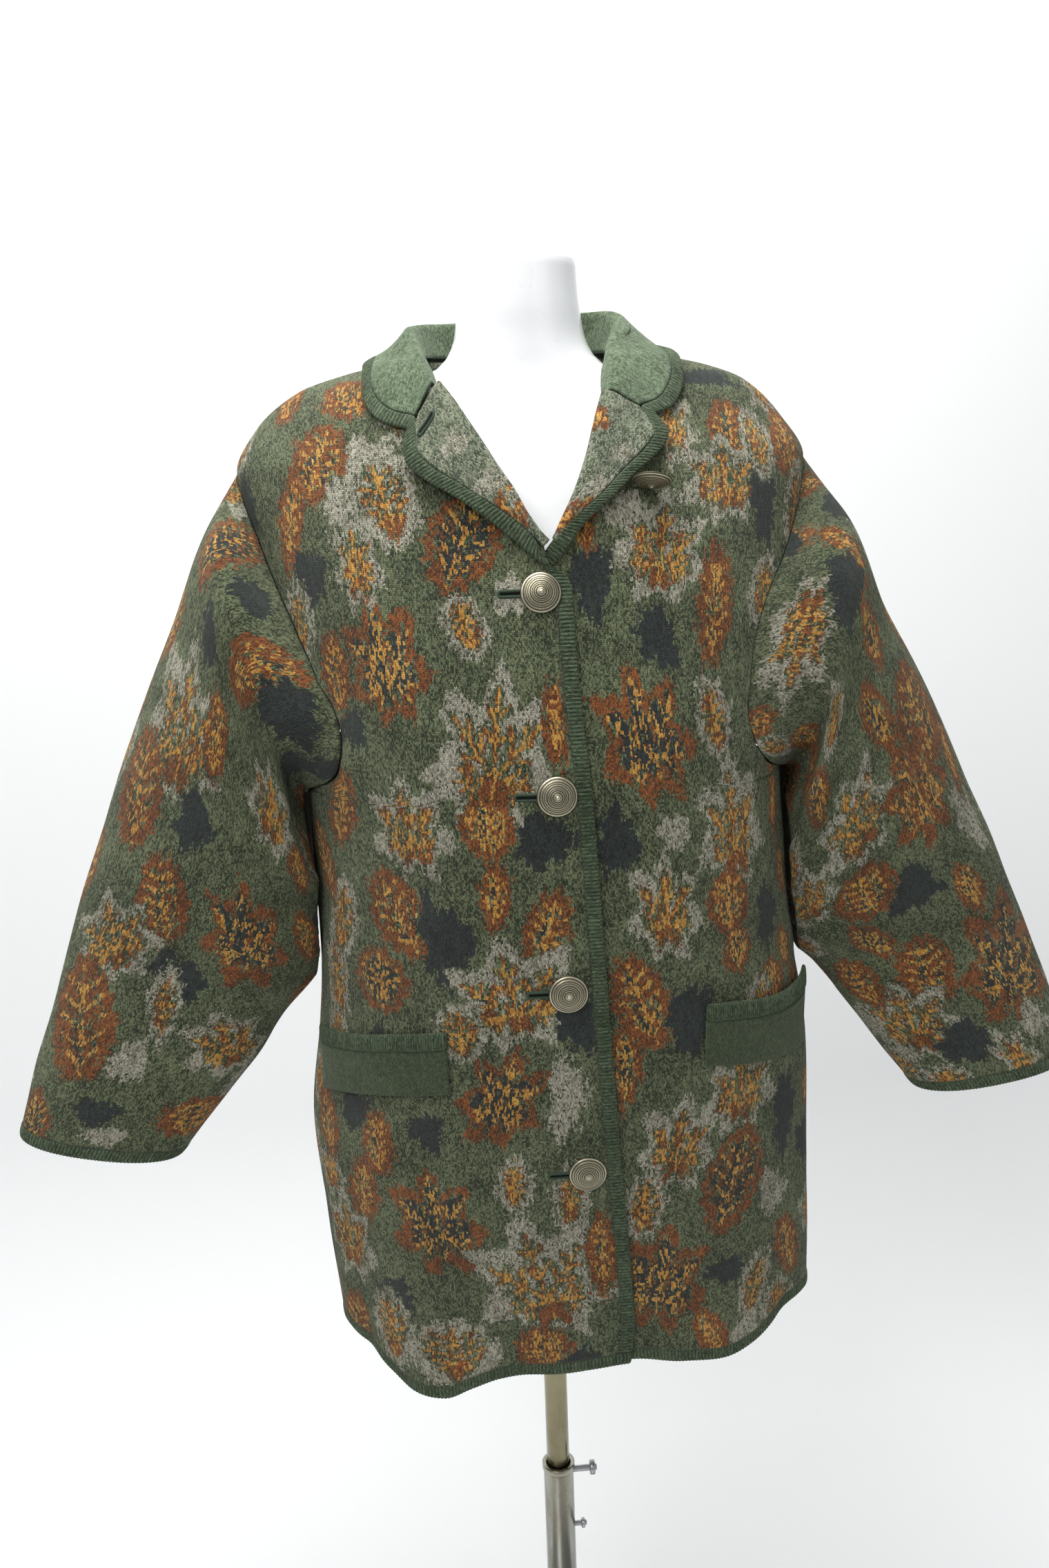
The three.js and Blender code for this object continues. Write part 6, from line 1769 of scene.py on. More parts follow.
class Collar:
    """Collar: a stand round the neck, a fold and a fall that lies on the shoulders."""

    FALL_OUT = 3.2
    FALL_DROP = np.array([0, 0, -2.2])

    def __init__(self) -> None:
        """Makes the curves of its stations."""
        names = [part + axis for part in ("seam", "fold", "edge") for axis in "XYZ"]
        self.stations = numbered_curves(COLLAR, names)
        self.last = len(COLLAR) - 1

    def _station(self, at: Grid) -> tuple[Grid, Grid, Grid, Grid]:
        """Seam, fold and edge points at station numbers, and the level direction outwards."""
        seam, fold, edge = (
            np.stack([self.stations[part + axis](at) for axis in "XYZ"], axis=-1) for part in ("seam", "fold", "edge")
        )
        return seam, fold, edge, unit((edge - seam) * (1, 1, 0))

    def fall(self, at: Grid, share: Grid) -> Grid:
        """Points of the fall at shares of its height, 0 beside the fold and 1 at the edge.

        Args:
            at: Station numbers.
            share: Shares, with a column for each.

        Returns:
            Grid of points in the middle of the sheet.
        """
        _, fold, edge, out = self._station(at)
        top = fold + out * self.FALL_OUT + self.FALL_DROP
        swell = (FALL_SWELL * np.sin(math.pi * share) * math.sqrt(0.5))[..., None]
        points = mix(top[:, None], edge[:, None], share[..., None]) + (out[:, None] + (0, 0, 1)) * swell
        return BODY.push_out(points, WOOL / 2 + COLLAR_CLEARANCE)

    def _fall_length(self, at: Grid) -> Grid:
        """Height of the fall at station numbers."""
        _, fold, edge, out = self._station(at)
        return np.linalg.norm(edge - fold - out * self.FALL_OUT - self.FALL_DROP, axis=-1)

    def band_lines(self) -> tuple[Grid, Grid, Grid]:
        """Inner line, outer line and directions of the collar's part of the edge band."""
        at = np.linspace(0, self.last, 240)
        inner_share = 1 - BAND_WIDTH / self._fall_length(at)
        share = np.stack([inner_share, (inner_share + 1) / 2, np.ones_like(at)], axis=1)
        points = self.fall(at, share)
        along = np.gradient(points[:, 1], axis=0)
        normal = unit(np.cross(points[:, 2] - points[:, 0], along))
        normal *= np.sign(normal[:, 2:3] + 1e-9)
        return points[:, 0], points[:, 2], normal

    def build(self, finishes: Finishes) -> bpy.types.Object:
        """Makes the collar's plain cloth.

        Args:
            finishes: The part's finishes.

        Returns:
            The collar.
        """
        at = np.linspace(0, self.last, 250)
        seam, fold, _, out = self._station(at)
        end = 1 - (BAND_WIDTH + 0.8) / self._fall_length(at)
        share = np.linspace(0, 1, 9)[None, :] * end[:, None]
        inner = fold - out * self.FALL_OUT + (0, 0, -3)
        stand = [mix(seam, inner, part) for part in (0, 0.35, 0.7, 1)]
        stand += [fold + out * outward + (0, 0, rise) for outward, rise in ((-1.7, -0.7), (0, 0.1), (1.7, -0.6))]
        keys = np.concatenate([np.stack(stand, axis=1), self.fall(at, share)], axis=1)
        middle = spline_rows(keys, 46)
        across = arc_length(middle, 1)
        along = arc_length(middle, 0)[:, 12:13] + 0 * across
        normal = grid_normals(middle, False)
        ripple = 0.55 * np.sin(along / 21 + 0.6 * np.sin(across / 9)) * np.sin(across / 11) + 0.3 * np.sin(along / 9.7)
        middle = middle + normal * (ripple * np.minimum(across / 12, 1))[..., None]
        stitch = np.stack([along, across], axis=-1)
        seam_distance = np.minimum(across[:, -1:] - across, np.minimum(along, along[-1:] - along) + 0.4)
        thing = slab("collar_cloth", middle, stitch, None, seam_distance)
        dress(thing, finishes.collar, "plain_wool", "collar")
        declare_sheet(thing, 0.43, 0.085, 0.9, ["back_cloth", "right_front_cloth", "left_front_cloth"])
        return thing


class EdgeBands:
    """The bands of the garment's edges: one run up the front and round the lapels and collar, and the hem."""

    def __init__(self, right: Lapel, left: Lapel, collar: Collar) -> None:
        """Keeps the lapels and collar whose edges the long band follows."""
        self.right, self.left, self.collar = right, left, collar

    def front_run(self, finishes: Finishes) -> bpy.types.Object:
        """Makes the one long band from the right front's hem round the neck to the left front.

        Args:
            finishes: The part's finishes.

        Returns:
            The band.
        """
        levels = np.linspace(LOWEST_LEVEL, BREAK_Z - BAND_WIDTH, 240)
        angles = [BODY.front_angle(BODY.edge(levels) - BAND_WIDTH * share, levels) for share in (1, 0, 0.5)]
        front = [BODY.place(angle, BODY.level_height(levels, angle), -WOOL / 2) for angle in angles[:2]]
        front.append(BODY.normal(angles[2], levels))
        left = self._tucked(*(line[::-1] for line in self.left.band_lines(0.15)))
        parts = [front, self.right.band_lines(1.0), self.collar.band_lines(), left]
        inner, outer, normal = self._soften(*(np.concatenate([part[k] for part in parts]) for k in range(3)))
        nodes = ("right_front_band", "right_lapel_band", "collar_band", "left_lapel_band")
        return RibbedBand("front_neck_band", nodes, inner, outer, normal).build(finishes)

    @staticmethod
    def _tucked(inner: Grid, outer: Grid, normal: Grid) -> tuple[Grid, Grid, Grid]:
        """The left lapel's band run on under the right front at the break."""
        way = unit(((inner + outer)[-1] - (inner + outer)[-4])[None])
        steps = np.array([5.0, 10.0, 16.0, 22.0])[:, None]
        drop = normal[-1] * (steps * 0.42)
        tail = [np.concatenate([line, line[-1] + way * steps - drop]) for line in (inner, outer)]
        return tail[0], tail[1], np.concatenate([normal, np.repeat(normal[-1:], 4, axis=0)])

    @staticmethod
    def _soften(inner: Grid, outer: Grid, normal: Grid) -> tuple[Grid, Grid, Grid]:
        """Evens the three lines and rounds their corners at the break and the notches."""
        line = resample(np.concatenate([(inner + outer) / 2, inner, outer, normal], axis=1), 1.5)
        soft = smoothed(line, 14)
        middle = (soft[:, 3:6] + soft[:, 6:9]) / 2
        across = unit(soft[:, 6:9] - soft[:, 3:6])
        half = BAND_WIDTH / 2
        face = soft[:, 9:] - across * (soft[:, 9:] * across).sum(axis=1, keepdims=True)
        return middle - across * half, middle + across * half, unit(face)

    def hem(self, panel: BodyPanel, end_angle: float | None, finishes: Finishes) -> bpy.types.Object:
        """Makes the hem band under a panel.

        Args:
            panel: The panel above it.
            end_angle: Angle to which it runs on past the panel, if it does.
            finishes: The part's finishes.

        Returns:
            The band.
        """
        angle = panel.grid()[0][0]
        if end_angle is not None:
            angle = np.append(angle, np.linspace(angle[-1], end_angle, 8)[1:])
        low = BODY.hem_height(angle)
        lift = BODY.left_lift(angle, low) if panel.panel is Panel.LEFT_FRONT else 0 * low
        upper = BODY.place(angle, low + BAND_WIDTH, lift - WOOL / 2)
        lower = BODY.place(angle, low, lift - WOOL / 2)
        side = panel.panel.value.split("_")[0]
        band = RibbedBand(f"{side}_hem_rib", (f"{side}_hem_band",), upper, lower, BODY.normal(angle, low))
        return band.build(finishes)


# ---------------------------------------------------------------- sleeves


class Sleeve:
    """Sleeve of one side, from the armhole's edge through its rings to the cuff.

    Creases and hidden leaves are placed on a flat sheet of the sleeve, RING_SPAN long from ring to
    ring and GIRTH_SPAN wide.
    """

    RING_SPAN = 75.0
    GIRTH_SPAN = 400.0

    def __init__(self, is_right: bool) -> None:
        """Works out the strings that run down the sleeve.

        Args:
            is_right: True for the wearer's right.
        """
        self.is_right = is_right
        self.side = "right" if is_right else "left"
        self.rings = np.asarray(RIGHT_SLEEVE if is_right else LEFT_SLEEVE, float)
        loop, shares = self._loop(164)
        self.shares = shares
        rings = self._ring_points(shares)
        away = unit(rings[0] - loop)
        self.strings = np.concatenate([(loop + away * 1.3 * SEAM_GAP)[None], rings])
        self.last = len(self.rings)

    def _loop(self, count: int) -> tuple[Grid, Grid]:
        """Points evenly round the armhole's edge, and their shares of the way round."""
        foot, tip = ARMHOLE[0][0], ARMHOLE[-1][0]
        z = np.linspace(foot, tip, 600)
        side_line, turn = (math.pi, -1) if self.is_right else (0.0, 1)
        lift = UNDERARM_LIFT * (1 - smooth_step((z - foot) / 45))
        halves = []
        for panel, way in ((f"{self.side}_front", turn), ("back", -turn)):
            side = np.where((z <= foot) | (z >= tip), 0.0, BODY.side_angle(z, panel))
            angle = (side_line + way * side) % (2 * math.pi)
            halves.append(resample(BODY.place(angle, z, lift), 1.0))
        half = count // 2
        front, back = (line[np.linspace(0, len(line) - 1, half + 1).round().astype(int)] for line in halves)
        loop = np.concatenate([front[:-1], back[::-1][:-1]])
        return loop, np.arange(count) / count

    def _ring_points(self, shares: Grid) -> Grid:
        """Points of every ring at shares of the way round."""
        turn = shares * 2 * math.pi
        across = (-signed_power(np.cos(turn), 2 / SLEEVE_OVAL_POWER) + 1) / 2
        depth = signed_power(np.sin(turn), 2 / SLEEVE_OVAL_POWER)
        out_x, out_z, in_x, in_z, mid_y, front, back = self.rings.T[:, :, None]
        reach = np.where(depth > 0, front, back)
        return np.stack([mix(in_x, out_x, across), mid_y - reach * depth, mix(in_z, out_z, across)], axis=-1)

    def surface(self, along: Grid) -> Grid:
        """Grid of points at steps along the sleeve, from 0 at the armhole to the number of rings."""
        i = np.clip(along.astype(int), 0, self.last - 1)
        t = (along - i)[:, None, None]
        strings, slope = self.strings, np.gradient(self.strings, axis=0)
        points = (
            strings[i] * (1 + 2 * t) * (1 - t) ** 2 + slope[i] * t * (1 - t) ** 2
            + strings[i + 1] * t * t * (3 - 2 * t) - slope[i + 1] * t * t * (1 - t)
        )
        clearance = SLEEVE_CLEARANCE * smooth_step(0.2 + along * 2) * (along > 0)
        pushed = BODY.push_out(points, clearance[:, None] + 0 * points[..., 0])
        return np.where((along > 0)[:, None, None], pushed, points)

    def _creases(self, along: Grid) -> Grid:
        """Height of the creases at steps along the sleeve, for every point round it."""
        rows = RIGHT_SLEEVE_CREASES if self.is_right else LEFT_SLEEVE_CREASES
        px, py = along[:, None] * self.RING_SPAN, self.shares[None, :] * self.GIRTH_SPAN
        total = 0.35 * np.sin(px / 17 + 0.9 * np.sin(py / 31)) * np.sin(py / 23 + px / 57)
        for start, low, end, high, width, height in rows:
            ax, dx = start * self.RING_SPAN, (end - start) * self.RING_SPAN
            ay, dy = low * self.GIRTH_SPAN, (high - low) * self.GIRTH_SPAN
            share = np.clip(((px - ax) * dx + (py - ay) * dy) / (dx * dx + dy * dy), 0, 1)
            distance = np.hypot(px - ax - share * dx, py - ay - share * dy)
            total = total + height * np.sin(math.pi * (0.15 + 0.7 * share)) * np.exp(-((distance / width) ** 2))
        near_cuff = smooth_step((along[:, None] - self.last + 0.6) / 0.5)
        return total * smooth_step(along[:, None] / 0.5) * (1 - 0.8 * near_cuff)

    def _outward(self, grid: Grid) -> Grid:
        """Directions out of the sleeve for a grid of its points."""
        normal = grid_normals(grid, True)
        middle = grid.mean(axis=1, keepdims=True)
        side = np.sign(((grid - middle) * normal).sum(axis=-1).mean())
        return normal * side

    def build(self, finishes: Finishes) -> bpy.types.Object:
        """Makes the sleeve's cloth with its leaves.

        Args:
            finishes: The part's finishes.

        Returns:
            The sleeve.
        """
        end = self.last - CUFF_BAND_SHARE - CUFF_GAP_SHARE
        along = np.concatenate([np.linspace(0, 1, 70, endpoint=False), np.linspace(1, end, 200)])
        plain = self.surface(along)
        normal = self._outward(plain)
        outer = plain + normal * self._creases(along)[..., None]
        outer[:3] = plain[:3]
        count = outer.shape[1]
        start = count // 4
        around = arc_length(np.concatenate([outer, outer[:, :1]], axis=1), 1)[:, :-1]
        girth = around[:, -1:] * (1 + 1 / count)
        around = (around - around[:, start : start + 1] + girth * 0.5) % girth - girth * 0.5
        down = arc_length(outer, 0)[:, start : start + 1] + 0 * around
        stitch = np.stack([around if self.is_right else -around, -down], axis=-1)
        leaves = self._leaves(stitch, outer, along)
        seam = np.minimum(arc_length(outer, 0), arc_length(outer[::-1], 0)[::-1])
        inward = -self._outward(outer)
        thing = Cloth(f"{self.side}_sleeve_cloth", outer, inward, stitch, leaves, seam, wraps=True).build()
        dress(thing, finishes.jacquard, "leaf_jacquard", f"{self.side}_sleeve")
        declare_sheet(thing, 0.50, 0.53, 0.78, [f"{self.side}_front_cloth", "back_cloth"])
        return thing

    def _leaves(self, stitch: Grid, outer: Grid, along: Grid) -> Grid:
        """Leaf fields of the sleeve, from the rows for its front and for its hidden half."""
        behind = np.broadcast_to(np.where(self.shares <= 0.5, 0.0, self.GIRTH_SPAN), outer.shape[:2])
        places = np.stack([outer[..., 0], outer[..., 2], behind], axis=-1)
        scale = (self.GIRTH_SPAN, self.RING_SPAN)
        flat = np.stack(np.broadcast_arrays(self.shares * scale[0], along[:, None] * scale[1]), axis=-1)
        knitter = LeafKnitter(stitch)
        knitter.lay_out(SLEEVE_BACK_LEAVES, flat, scale)
        knitter.lay_out(RIGHT_SLEEVE_LEAVES if self.is_right else LEFT_SLEEVE_LEAVES, places)
        knitter.fill(11 if self.is_right else 12)
        return knitter.fields

    def cuff(self, finishes: Finishes) -> bpy.types.Object:
        """Makes the cuff's ribbed band.

        Args:
            finishes: The part's finishes.

        Returns:
            The band.
        """
        grid = self.surface(self.last - CUFF_BAND_SHARE * np.array([1, 0.5, 0]))
        normal = self._outward(grid)
        middle = grid - normal * WOOL / 2
        lines = [np.concatenate([line, line[:1]]) for line in (middle[0], middle[2], normal[1])]
        band = RibbedBand(f"{self.side}_cuff_rib", (f"{self.side}_cuff_band",), *lines, closed=True)
        return band.build(finishes)


# ---------------------------------------------------------------- pocket welts


@dataclass
class PocketWelt:
    """Plain welt of a pocket with its ribbed upper edge.

    Attributes:
        side: The wearer's right or left.
        rows: x, top, bottom and gape.
    """

    side: str
    rows: Rows

    GAPE_SHARE = {"right": 0.2, "left": 0.6}

    def _places(self, along: Grid, share: Grid | float) -> tuple[Grid, Grid, Grid]:
        """Angles, heights and lifts of the cloth's middle at shares of the welt's height."""
        curves = numbered_curves(self.rows, ("x", "top", "bottom", "gape"))
        x, top, bottom, gape = (curve(along) for curve in curves.values())
        z = mix(bottom, top, share)
        open_share = self.GAPE_SHARE[self.side] * smooth_step((share - 0.25) / 0.75)
        return BODY.front_angle(x, z), z, WELT_GAP + WOOL / 2 + gape * open_share

    def build(self, finishes: Finishes) -> list[bpy.types.Object]:
        """Makes the welt's cloth and its ribbed edge.

        Args:
            finishes: The part's finishes.

        Returns:
            The cloth and the rib.
        """
        last = len(self.rows) - 1
        first, last = (WELT_TRIM, last) if self.side == "right" else (0, last - WELT_TRIM)
        rib_share = 1 - WELT_RIB_HEIGHT / (self.rows[0][1] - self.rows[0][2])
        along = np.linspace(first, last, 90)[None, :]
        share = np.linspace(0, rib_share - 0.006, 30)[:, None]
        angle, z, lift = self._places(along, share)
        middle = BODY.place(angle, z, lift)
        across = arc_length(middle, 1)
        up = arc_length(middle, 0)
        to_side = np.minimum(across, across[:, -1:] - across)
        edge = np.minimum(to_side, np.minimum(up, np.abs(up[-1:] - up) + 0.4))
        puff = 0.5 * smooth_step(edge / 4) - 0.5 + 0.25 * np.sin(across / 17) * np.sin(up / 9)
        middle = middle + BODY.normal(angle, z) * puff[..., None]
        stitch = np.stack([across, up], axis=-1)
        cloth = slab(f"{self.side}_welt_cloth", middle, stitch, None, np.abs(up[-1:] - up) + 0.6)
        dress(cloth, finishes.plain, "plain_wool", f"{self.side}_pocket_welt")
        declare_sheet(cloth, 0.125, 0.04, 0.95, [f"{self.side}_front_cloth"])
        line = np.linspace(first, last, 160)
        ends = [self._places(line, share) for share in (rib_share + 0.01, 1.0)]
        lines = [BODY.place(*end) for end in ends]
        normal = unit(np.cross(np.gradient(lines[0], axis=0), lines[1] - lines[0]))
        normal *= np.sign((normal * BODY.normal(*ends[0][:2])).sum(axis=1))[:, None]
        rib = RibbedBand(f"{self.side}_welt_rib", (f"{self.side}_pocket_welt",), *lines, normal, pitch=2.1)
        return [cloth, rib.build(finishes)]


# ---------------------------------------------------------------- buttons and buttonholes


class MetalButton:
    """Domed metal button, hollow at the back, with rings of fine beading and a shank."""

    SEGMENTS = 144
    POST_STEP = 9
    RINGS = ((0.93, 0.035, 0.50, 0), (0.80, 0.045, 0.42, 72), (0.69, 0.030, 0.30, 0), (0.59, 0.040, 0.40, 54),
             (0.48, 0.028, 0.30, 0), (0.39, 0.034, 0.34, 36), (0.29, 0.026, 0.34, 0))

    def __init__(self, name: str, frame_matrix: Matrix, shank: float) -> None:
        """Keeps the button's name, place and shank length.

        Args:
            name: Name of its node.
            frame_matrix: Place and directions, in millimetres, with z out of the cloth.
            shank: Length of the shank behind the back of the head.
        """
        self.name, self.matrix, self.shank = name, frame_matrix, shank

    def _face(self, share: Grid, turn: Grid) -> tuple[Grid, Grid]:
        """Height of the face at shares of the radius, and the share of it that is relief."""
        dome = np.interp(share, [0, 0.2, 0.4, 0.75, 0.96, 1.0], [6.3, 5.5, 4.8, 3.1, 1.2, 0.9])
        relief = np.zeros_like(dome)
        for at, width, height, beads in self.RINGS:
            ring = np.exp(-(((share - at) / width) ** 2))
            pearl = 1.0 if beads == 0 else 0.35 + 0.65 * np.abs(np.cos(turn * beads / 2))
            relief = relief + height * ring * pearl
        boss = 0.75 * np.exp(-((share / 0.10) ** 2)) + 0.25 * np.exp(-(((share - 0.18) / 0.04) ** 2))
        height = dome + relief * 0.55 + boss * 0.9
        return height + 0 * turn, np.clip((relief + boss) / 0.5, 0, 1) + 0 * turn

    def build(self, finishes: Finishes) -> bpy.types.Object:
        """Makes the button with its shank.

        Args:
            finishes: The part's finishes.

        Returns:
            The button.
        """
        turn = np.linspace(0, 2 * math.pi, self.SEGMENTS, endpoint=False)
        share = np.concatenate([np.linspace(0.012, 0.985, 62), [1.0]])[:, None]
        height, relief = self._face(share, turn)
        back_share = np.array([0.985, 0.94, 0.85, 0.75, 0.5, 0.25, 0.02])[:, None]
        back_height = np.interp(back_share, [0, 0.75, 0.94, 1.0], [1.6, 0.9, 0.0, 0.6]) + 0 * turn
        head = self._rings(
            np.concatenate([share, back_share]) * BUTTON_RADIUS, turn, np.concatenate([height, back_height])
        )
        post_z = SHANK_ROOT - np.array([[-0.8], [self.shank * 0.3], [self.shank * 0.7], [self.shank]])
        post_turn = turn[:: self.POST_STEP]
        post = self._rings(SHANK_RADIUS, post_turn, post_z)
        faces = tube_faces(len(height) + len(back_height), self.SEGMENTS)
        faces += tube_faces(len(post_z), len(post_turn), len(head))
        level = np.concatenate([relief.ravel(), np.full(back_height.size, 0.25), np.full(len(post), 0.4)])
        turned = np.asarray(self.matrix)
        points = np.concatenate([head, post]) @ turned[:3, :3].T + turned[:3, 3]
        thing = make_solid(f"{self.name}_metal", points, faces, {"relief_height": level})
        return dress(thing, finishes.silver, "button_metal", self.name)

    @staticmethod
    def _rings(radius: Grid | float, turn: Grid, z: Grid) -> Grid:
        """Points of rings round the button's axis, one after another."""
        rings = np.broadcast_arrays(radius * np.cos(turn), radius * np.sin(turn), z)
        return np.stack(rings, axis=-1).reshape(-1, 3)


def placed(spot: Grid, x: Grid, y: Grid, z: Grid) -> Matrix:
    """Matrix of a place and three directions."""
    matrix = np.eye(4)
    matrix[:3] = np.stack([x, y, z, spot], axis=1)
    return Matrix(matrix.tolist())


def cloth_frame(angle: float, z: float, lift: float) -> Matrix:
    """Place on the cloth: x along it, y up it and z out of it, in millimetres."""
    spot = np.array(angle), np.array(z)
    out = BODY.normal(*spot)
    side = unit(np.cross([0, 0, 1.0], out))
    return placed(BODY.place(*spot, lift), side, np.cross(out, side), out)


@dataclass
class Buttonhole:
    """Worked buttonhole: two lips of thread round a slit that is darkened with painted shade.

    Attributes:
        name: Name of the piece.
        length: Length of the slit.
        ground: Gives points on the cloth for distances along and across, with a lift.
        half_width: Half the width over both lips.
    """

    name: str
    length: float
    ground: Callable[[Grid, Grid, Grid], Grid]
    half_width: float = 3.9

    OVERRUN = 3.2

    def build(self, finishes: Finishes) -> bpy.types.Object:
        """Makes the buttonhole.

        Args:
            finishes: The part's finishes.

        Returns:
            The piece.
        """
        along, across = np.meshgrid(
            np.linspace(-self.OVERRUN, self.length + self.OVERRUN, 74),
            np.linspace(-self.half_width, self.half_width, 23), indexing="ij",
        )
        beyond = np.maximum(np.maximum(-along, along - self.length), 0)
        off = np.hypot(beyond, across)
        slit = 1 - smooth_step((off - 0.7) / 0.8)
        lip = np.exp(-(((off - 2.0) / 0.8) ** 2)) * (1 + 0.12 * np.sin(along * 4.6 + 2 * np.sign(across)))
        height = 0.55 + 0.8 * lip - 0.25 * slit - 1.4 * smooth_step((off - 2.8) / 0.9)
        upper, lower = (self.ground(along, across, lift) for lift in (height, 0 * height - 1.0))
        # the slit mask also drives the painted shade inside the slit
        values = {"stitch_place": np.stack([along * 3, across], axis=-1), "painted_groove_shade": slit}
        thing = two_faced(self.name, upper, lower, values)
        return dress(thing, finishes.thread, "rib_knit")


class Fastening:
    """The buttons with their buttonholes, the lapel's buttonhole and the button at the turned lapel."""

    def __init__(self, right_lapel: Lapel) -> None:
        """Keeps the lapel that has a buttonhole."""
        self.right_lapel = right_lapel

    def build(self, finishes: Finishes) -> None:
        """Makes the buttons and buttonholes.

        Args:
            finishes: The part's finishes.
        """
        reach = SHANK_ROOT + BUTTON_LIFT + WOOL + LAYER_GAP + BAND_SWELL - SEAM_GAP
        for number, (name, x, z) in enumerate(BUTTONS, 1):
            angle = float(BODY.front_angle(np.array(x), np.array(z)))
            MetalButton(name, cloth_frame(angle, z, BUTTON_LIFT), reach).build(finishes)
            Buttonhole(f"buttonhole_{number}", 27.0, self._beside(x - 1.5, z)).build(finishes)
        MetalButton("button_top", self._hanging(), 6.0).build(finishes)
        Buttonhole("lapel_buttonhole", 15.0, self._on_lapel, 2.6).build(finishes)

    @staticmethod
    def _beside(x: float, z: float) -> Callable[[Grid, Grid, Grid], Grid]:
        """Gives points on the front for distances from a buttonhole's end at x and z."""

        def ground(along: Grid, across: Grid, lift: Grid) -> Grid:
            """Points at distances along and across, with a lift."""
            return BODY.place(BODY.front_angle(x - along, z + across), z + across, lift)

        return ground

    def _on_lapel(self, along: Grid, across: Grid, lift: Grid) -> Grid:
        """Points on the turned lapel, beside its buttonhole."""
        at = 6.5 + 0.028 * along + 0.058 * across
        distance = 27.0 - 0.95 * along + 0.2 * across
        lapel = self.right_lapel
        return lapel.place(lapel.row(at), distance, lift + lapel.turned_lift(distance, at) + WOOL / 2)

    @staticmethod
    def _hanging() -> Matrix:
        """Place of the button that hangs dome down at the turned left lapel."""
        tilt = Matrix.Rotation(math.radians(90 + TOP_BUTTON_TILT), 4, "X")
        lean = Matrix.Rotation(math.radians(TOP_BUTTON_LEAN), 4, "Y")
        return Matrix.Translation(TOP_BUTTON) @ lean @ tilt


# ---------------------------------------------------------------- dress form and stand


@dataclass
class DressForm:
    """Smooth torso with a neck and no limbs."""

    columns: int = 120
    rise: float = 7.0
    cap_shares: tuple[float, float] = (0.985, 0.02)
    rim_drop: float = 1.2

    def build(self, finishes: Finishes) -> bpy.types.Object:
        """Makes the form.

        Args:
            finishes: The part's finishes.

        Returns:
            The form.
        """
        curves = table_curves(FORM_SECTIONS, ("half", "front", "back", "power"))
        low, high = FORM_SECTIONS[0][0], FORM_SECTIONS[-1][0]
        rise = np.linspace(low, high, int((high - low) / self.rise))
        z = np.append(rise, [high, high])[:, None]
        shrink = np.ones_like(z)
        shrink[-2:, 0] = self.cap_shares
        turn = np.linspace(0, 2 * math.pi, self.columns, endpoint=False)[None, :]
        power = curves["power"](z)
        depth = np.where(np.sin(turn) > 0, curves["front"](z), curves["back"](z))
        x = curves["half"](z) * signed_power(np.cos(turn), 2 / power) * shrink
        y = -depth * signed_power(np.sin(turn), 2 / power) * shrink
        level = z + 0 * turn
        level[-3] -= self.rim_drop
        points = np.stack([x, y, level], axis=-1)
        thing = make_solid("form_shell", points, tube_faces(len(z), self.columns), {})
        return dress(thing, finishes.gloss, "form_gloss", "form_torso")


def lathe(name: str, profile: Rows, segments: int, level_z: float | None = None) -> bpy.types.Object:
    """Turned solid from a profile.

    Args:
        name: Name of the piece.
        profile: Radius and distance along the axis, from one end round to the other.
        segments: Number of faces round it.
        level_z: Height of an axis along +X, or None for the upright axis.

    Returns:
        The piece.
    """
    rows = np.asarray(profile, float)
    turn = np.linspace(0, 2 * math.pi, segments, endpoint=False)[None, :]
    a, b, along = rows[:, :1] * np.cos(turn), rows[:, :1] * np.sin(turn), rows[:, 1:2] + 0 * turn
    points = np.stack([a, b, along] if level_z is None else [along, a, b + level_z], axis=-1)
    return make_solid(name, points, tube_faces(len(rows), segments), {})


def rounded(profile: Rows, bevel: float) -> list[tuple[float, float]]:
    """Profile with each corner cut to two points close to it, for a crisp edge that still shades.

    Args:
        profile: Corner points.
        bevel: Distance of the new points from the corner.

    Returns:
        The longer profile.
    """
    points = [np.asarray(p, float) for p in profile]
    result = [tuple(points[0])]
    for before, here, after in zip(points, points[1:], points[2:]):
        for other in (before, after):
            way = other - here
            size = float(np.linalg.norm(way))
            result.append(tuple(here + way / size * min(bevel, size * 0.4)))
    return result + [tuple(points[-1])]


@dataclass(frozen=True)
class ClampScrew:
    """Sizes of a clamp screw: its height, thread radius, length past the tube and head."""

    name: str
    z: float
    radius: float
    length: float
    head: float
    head_length: float


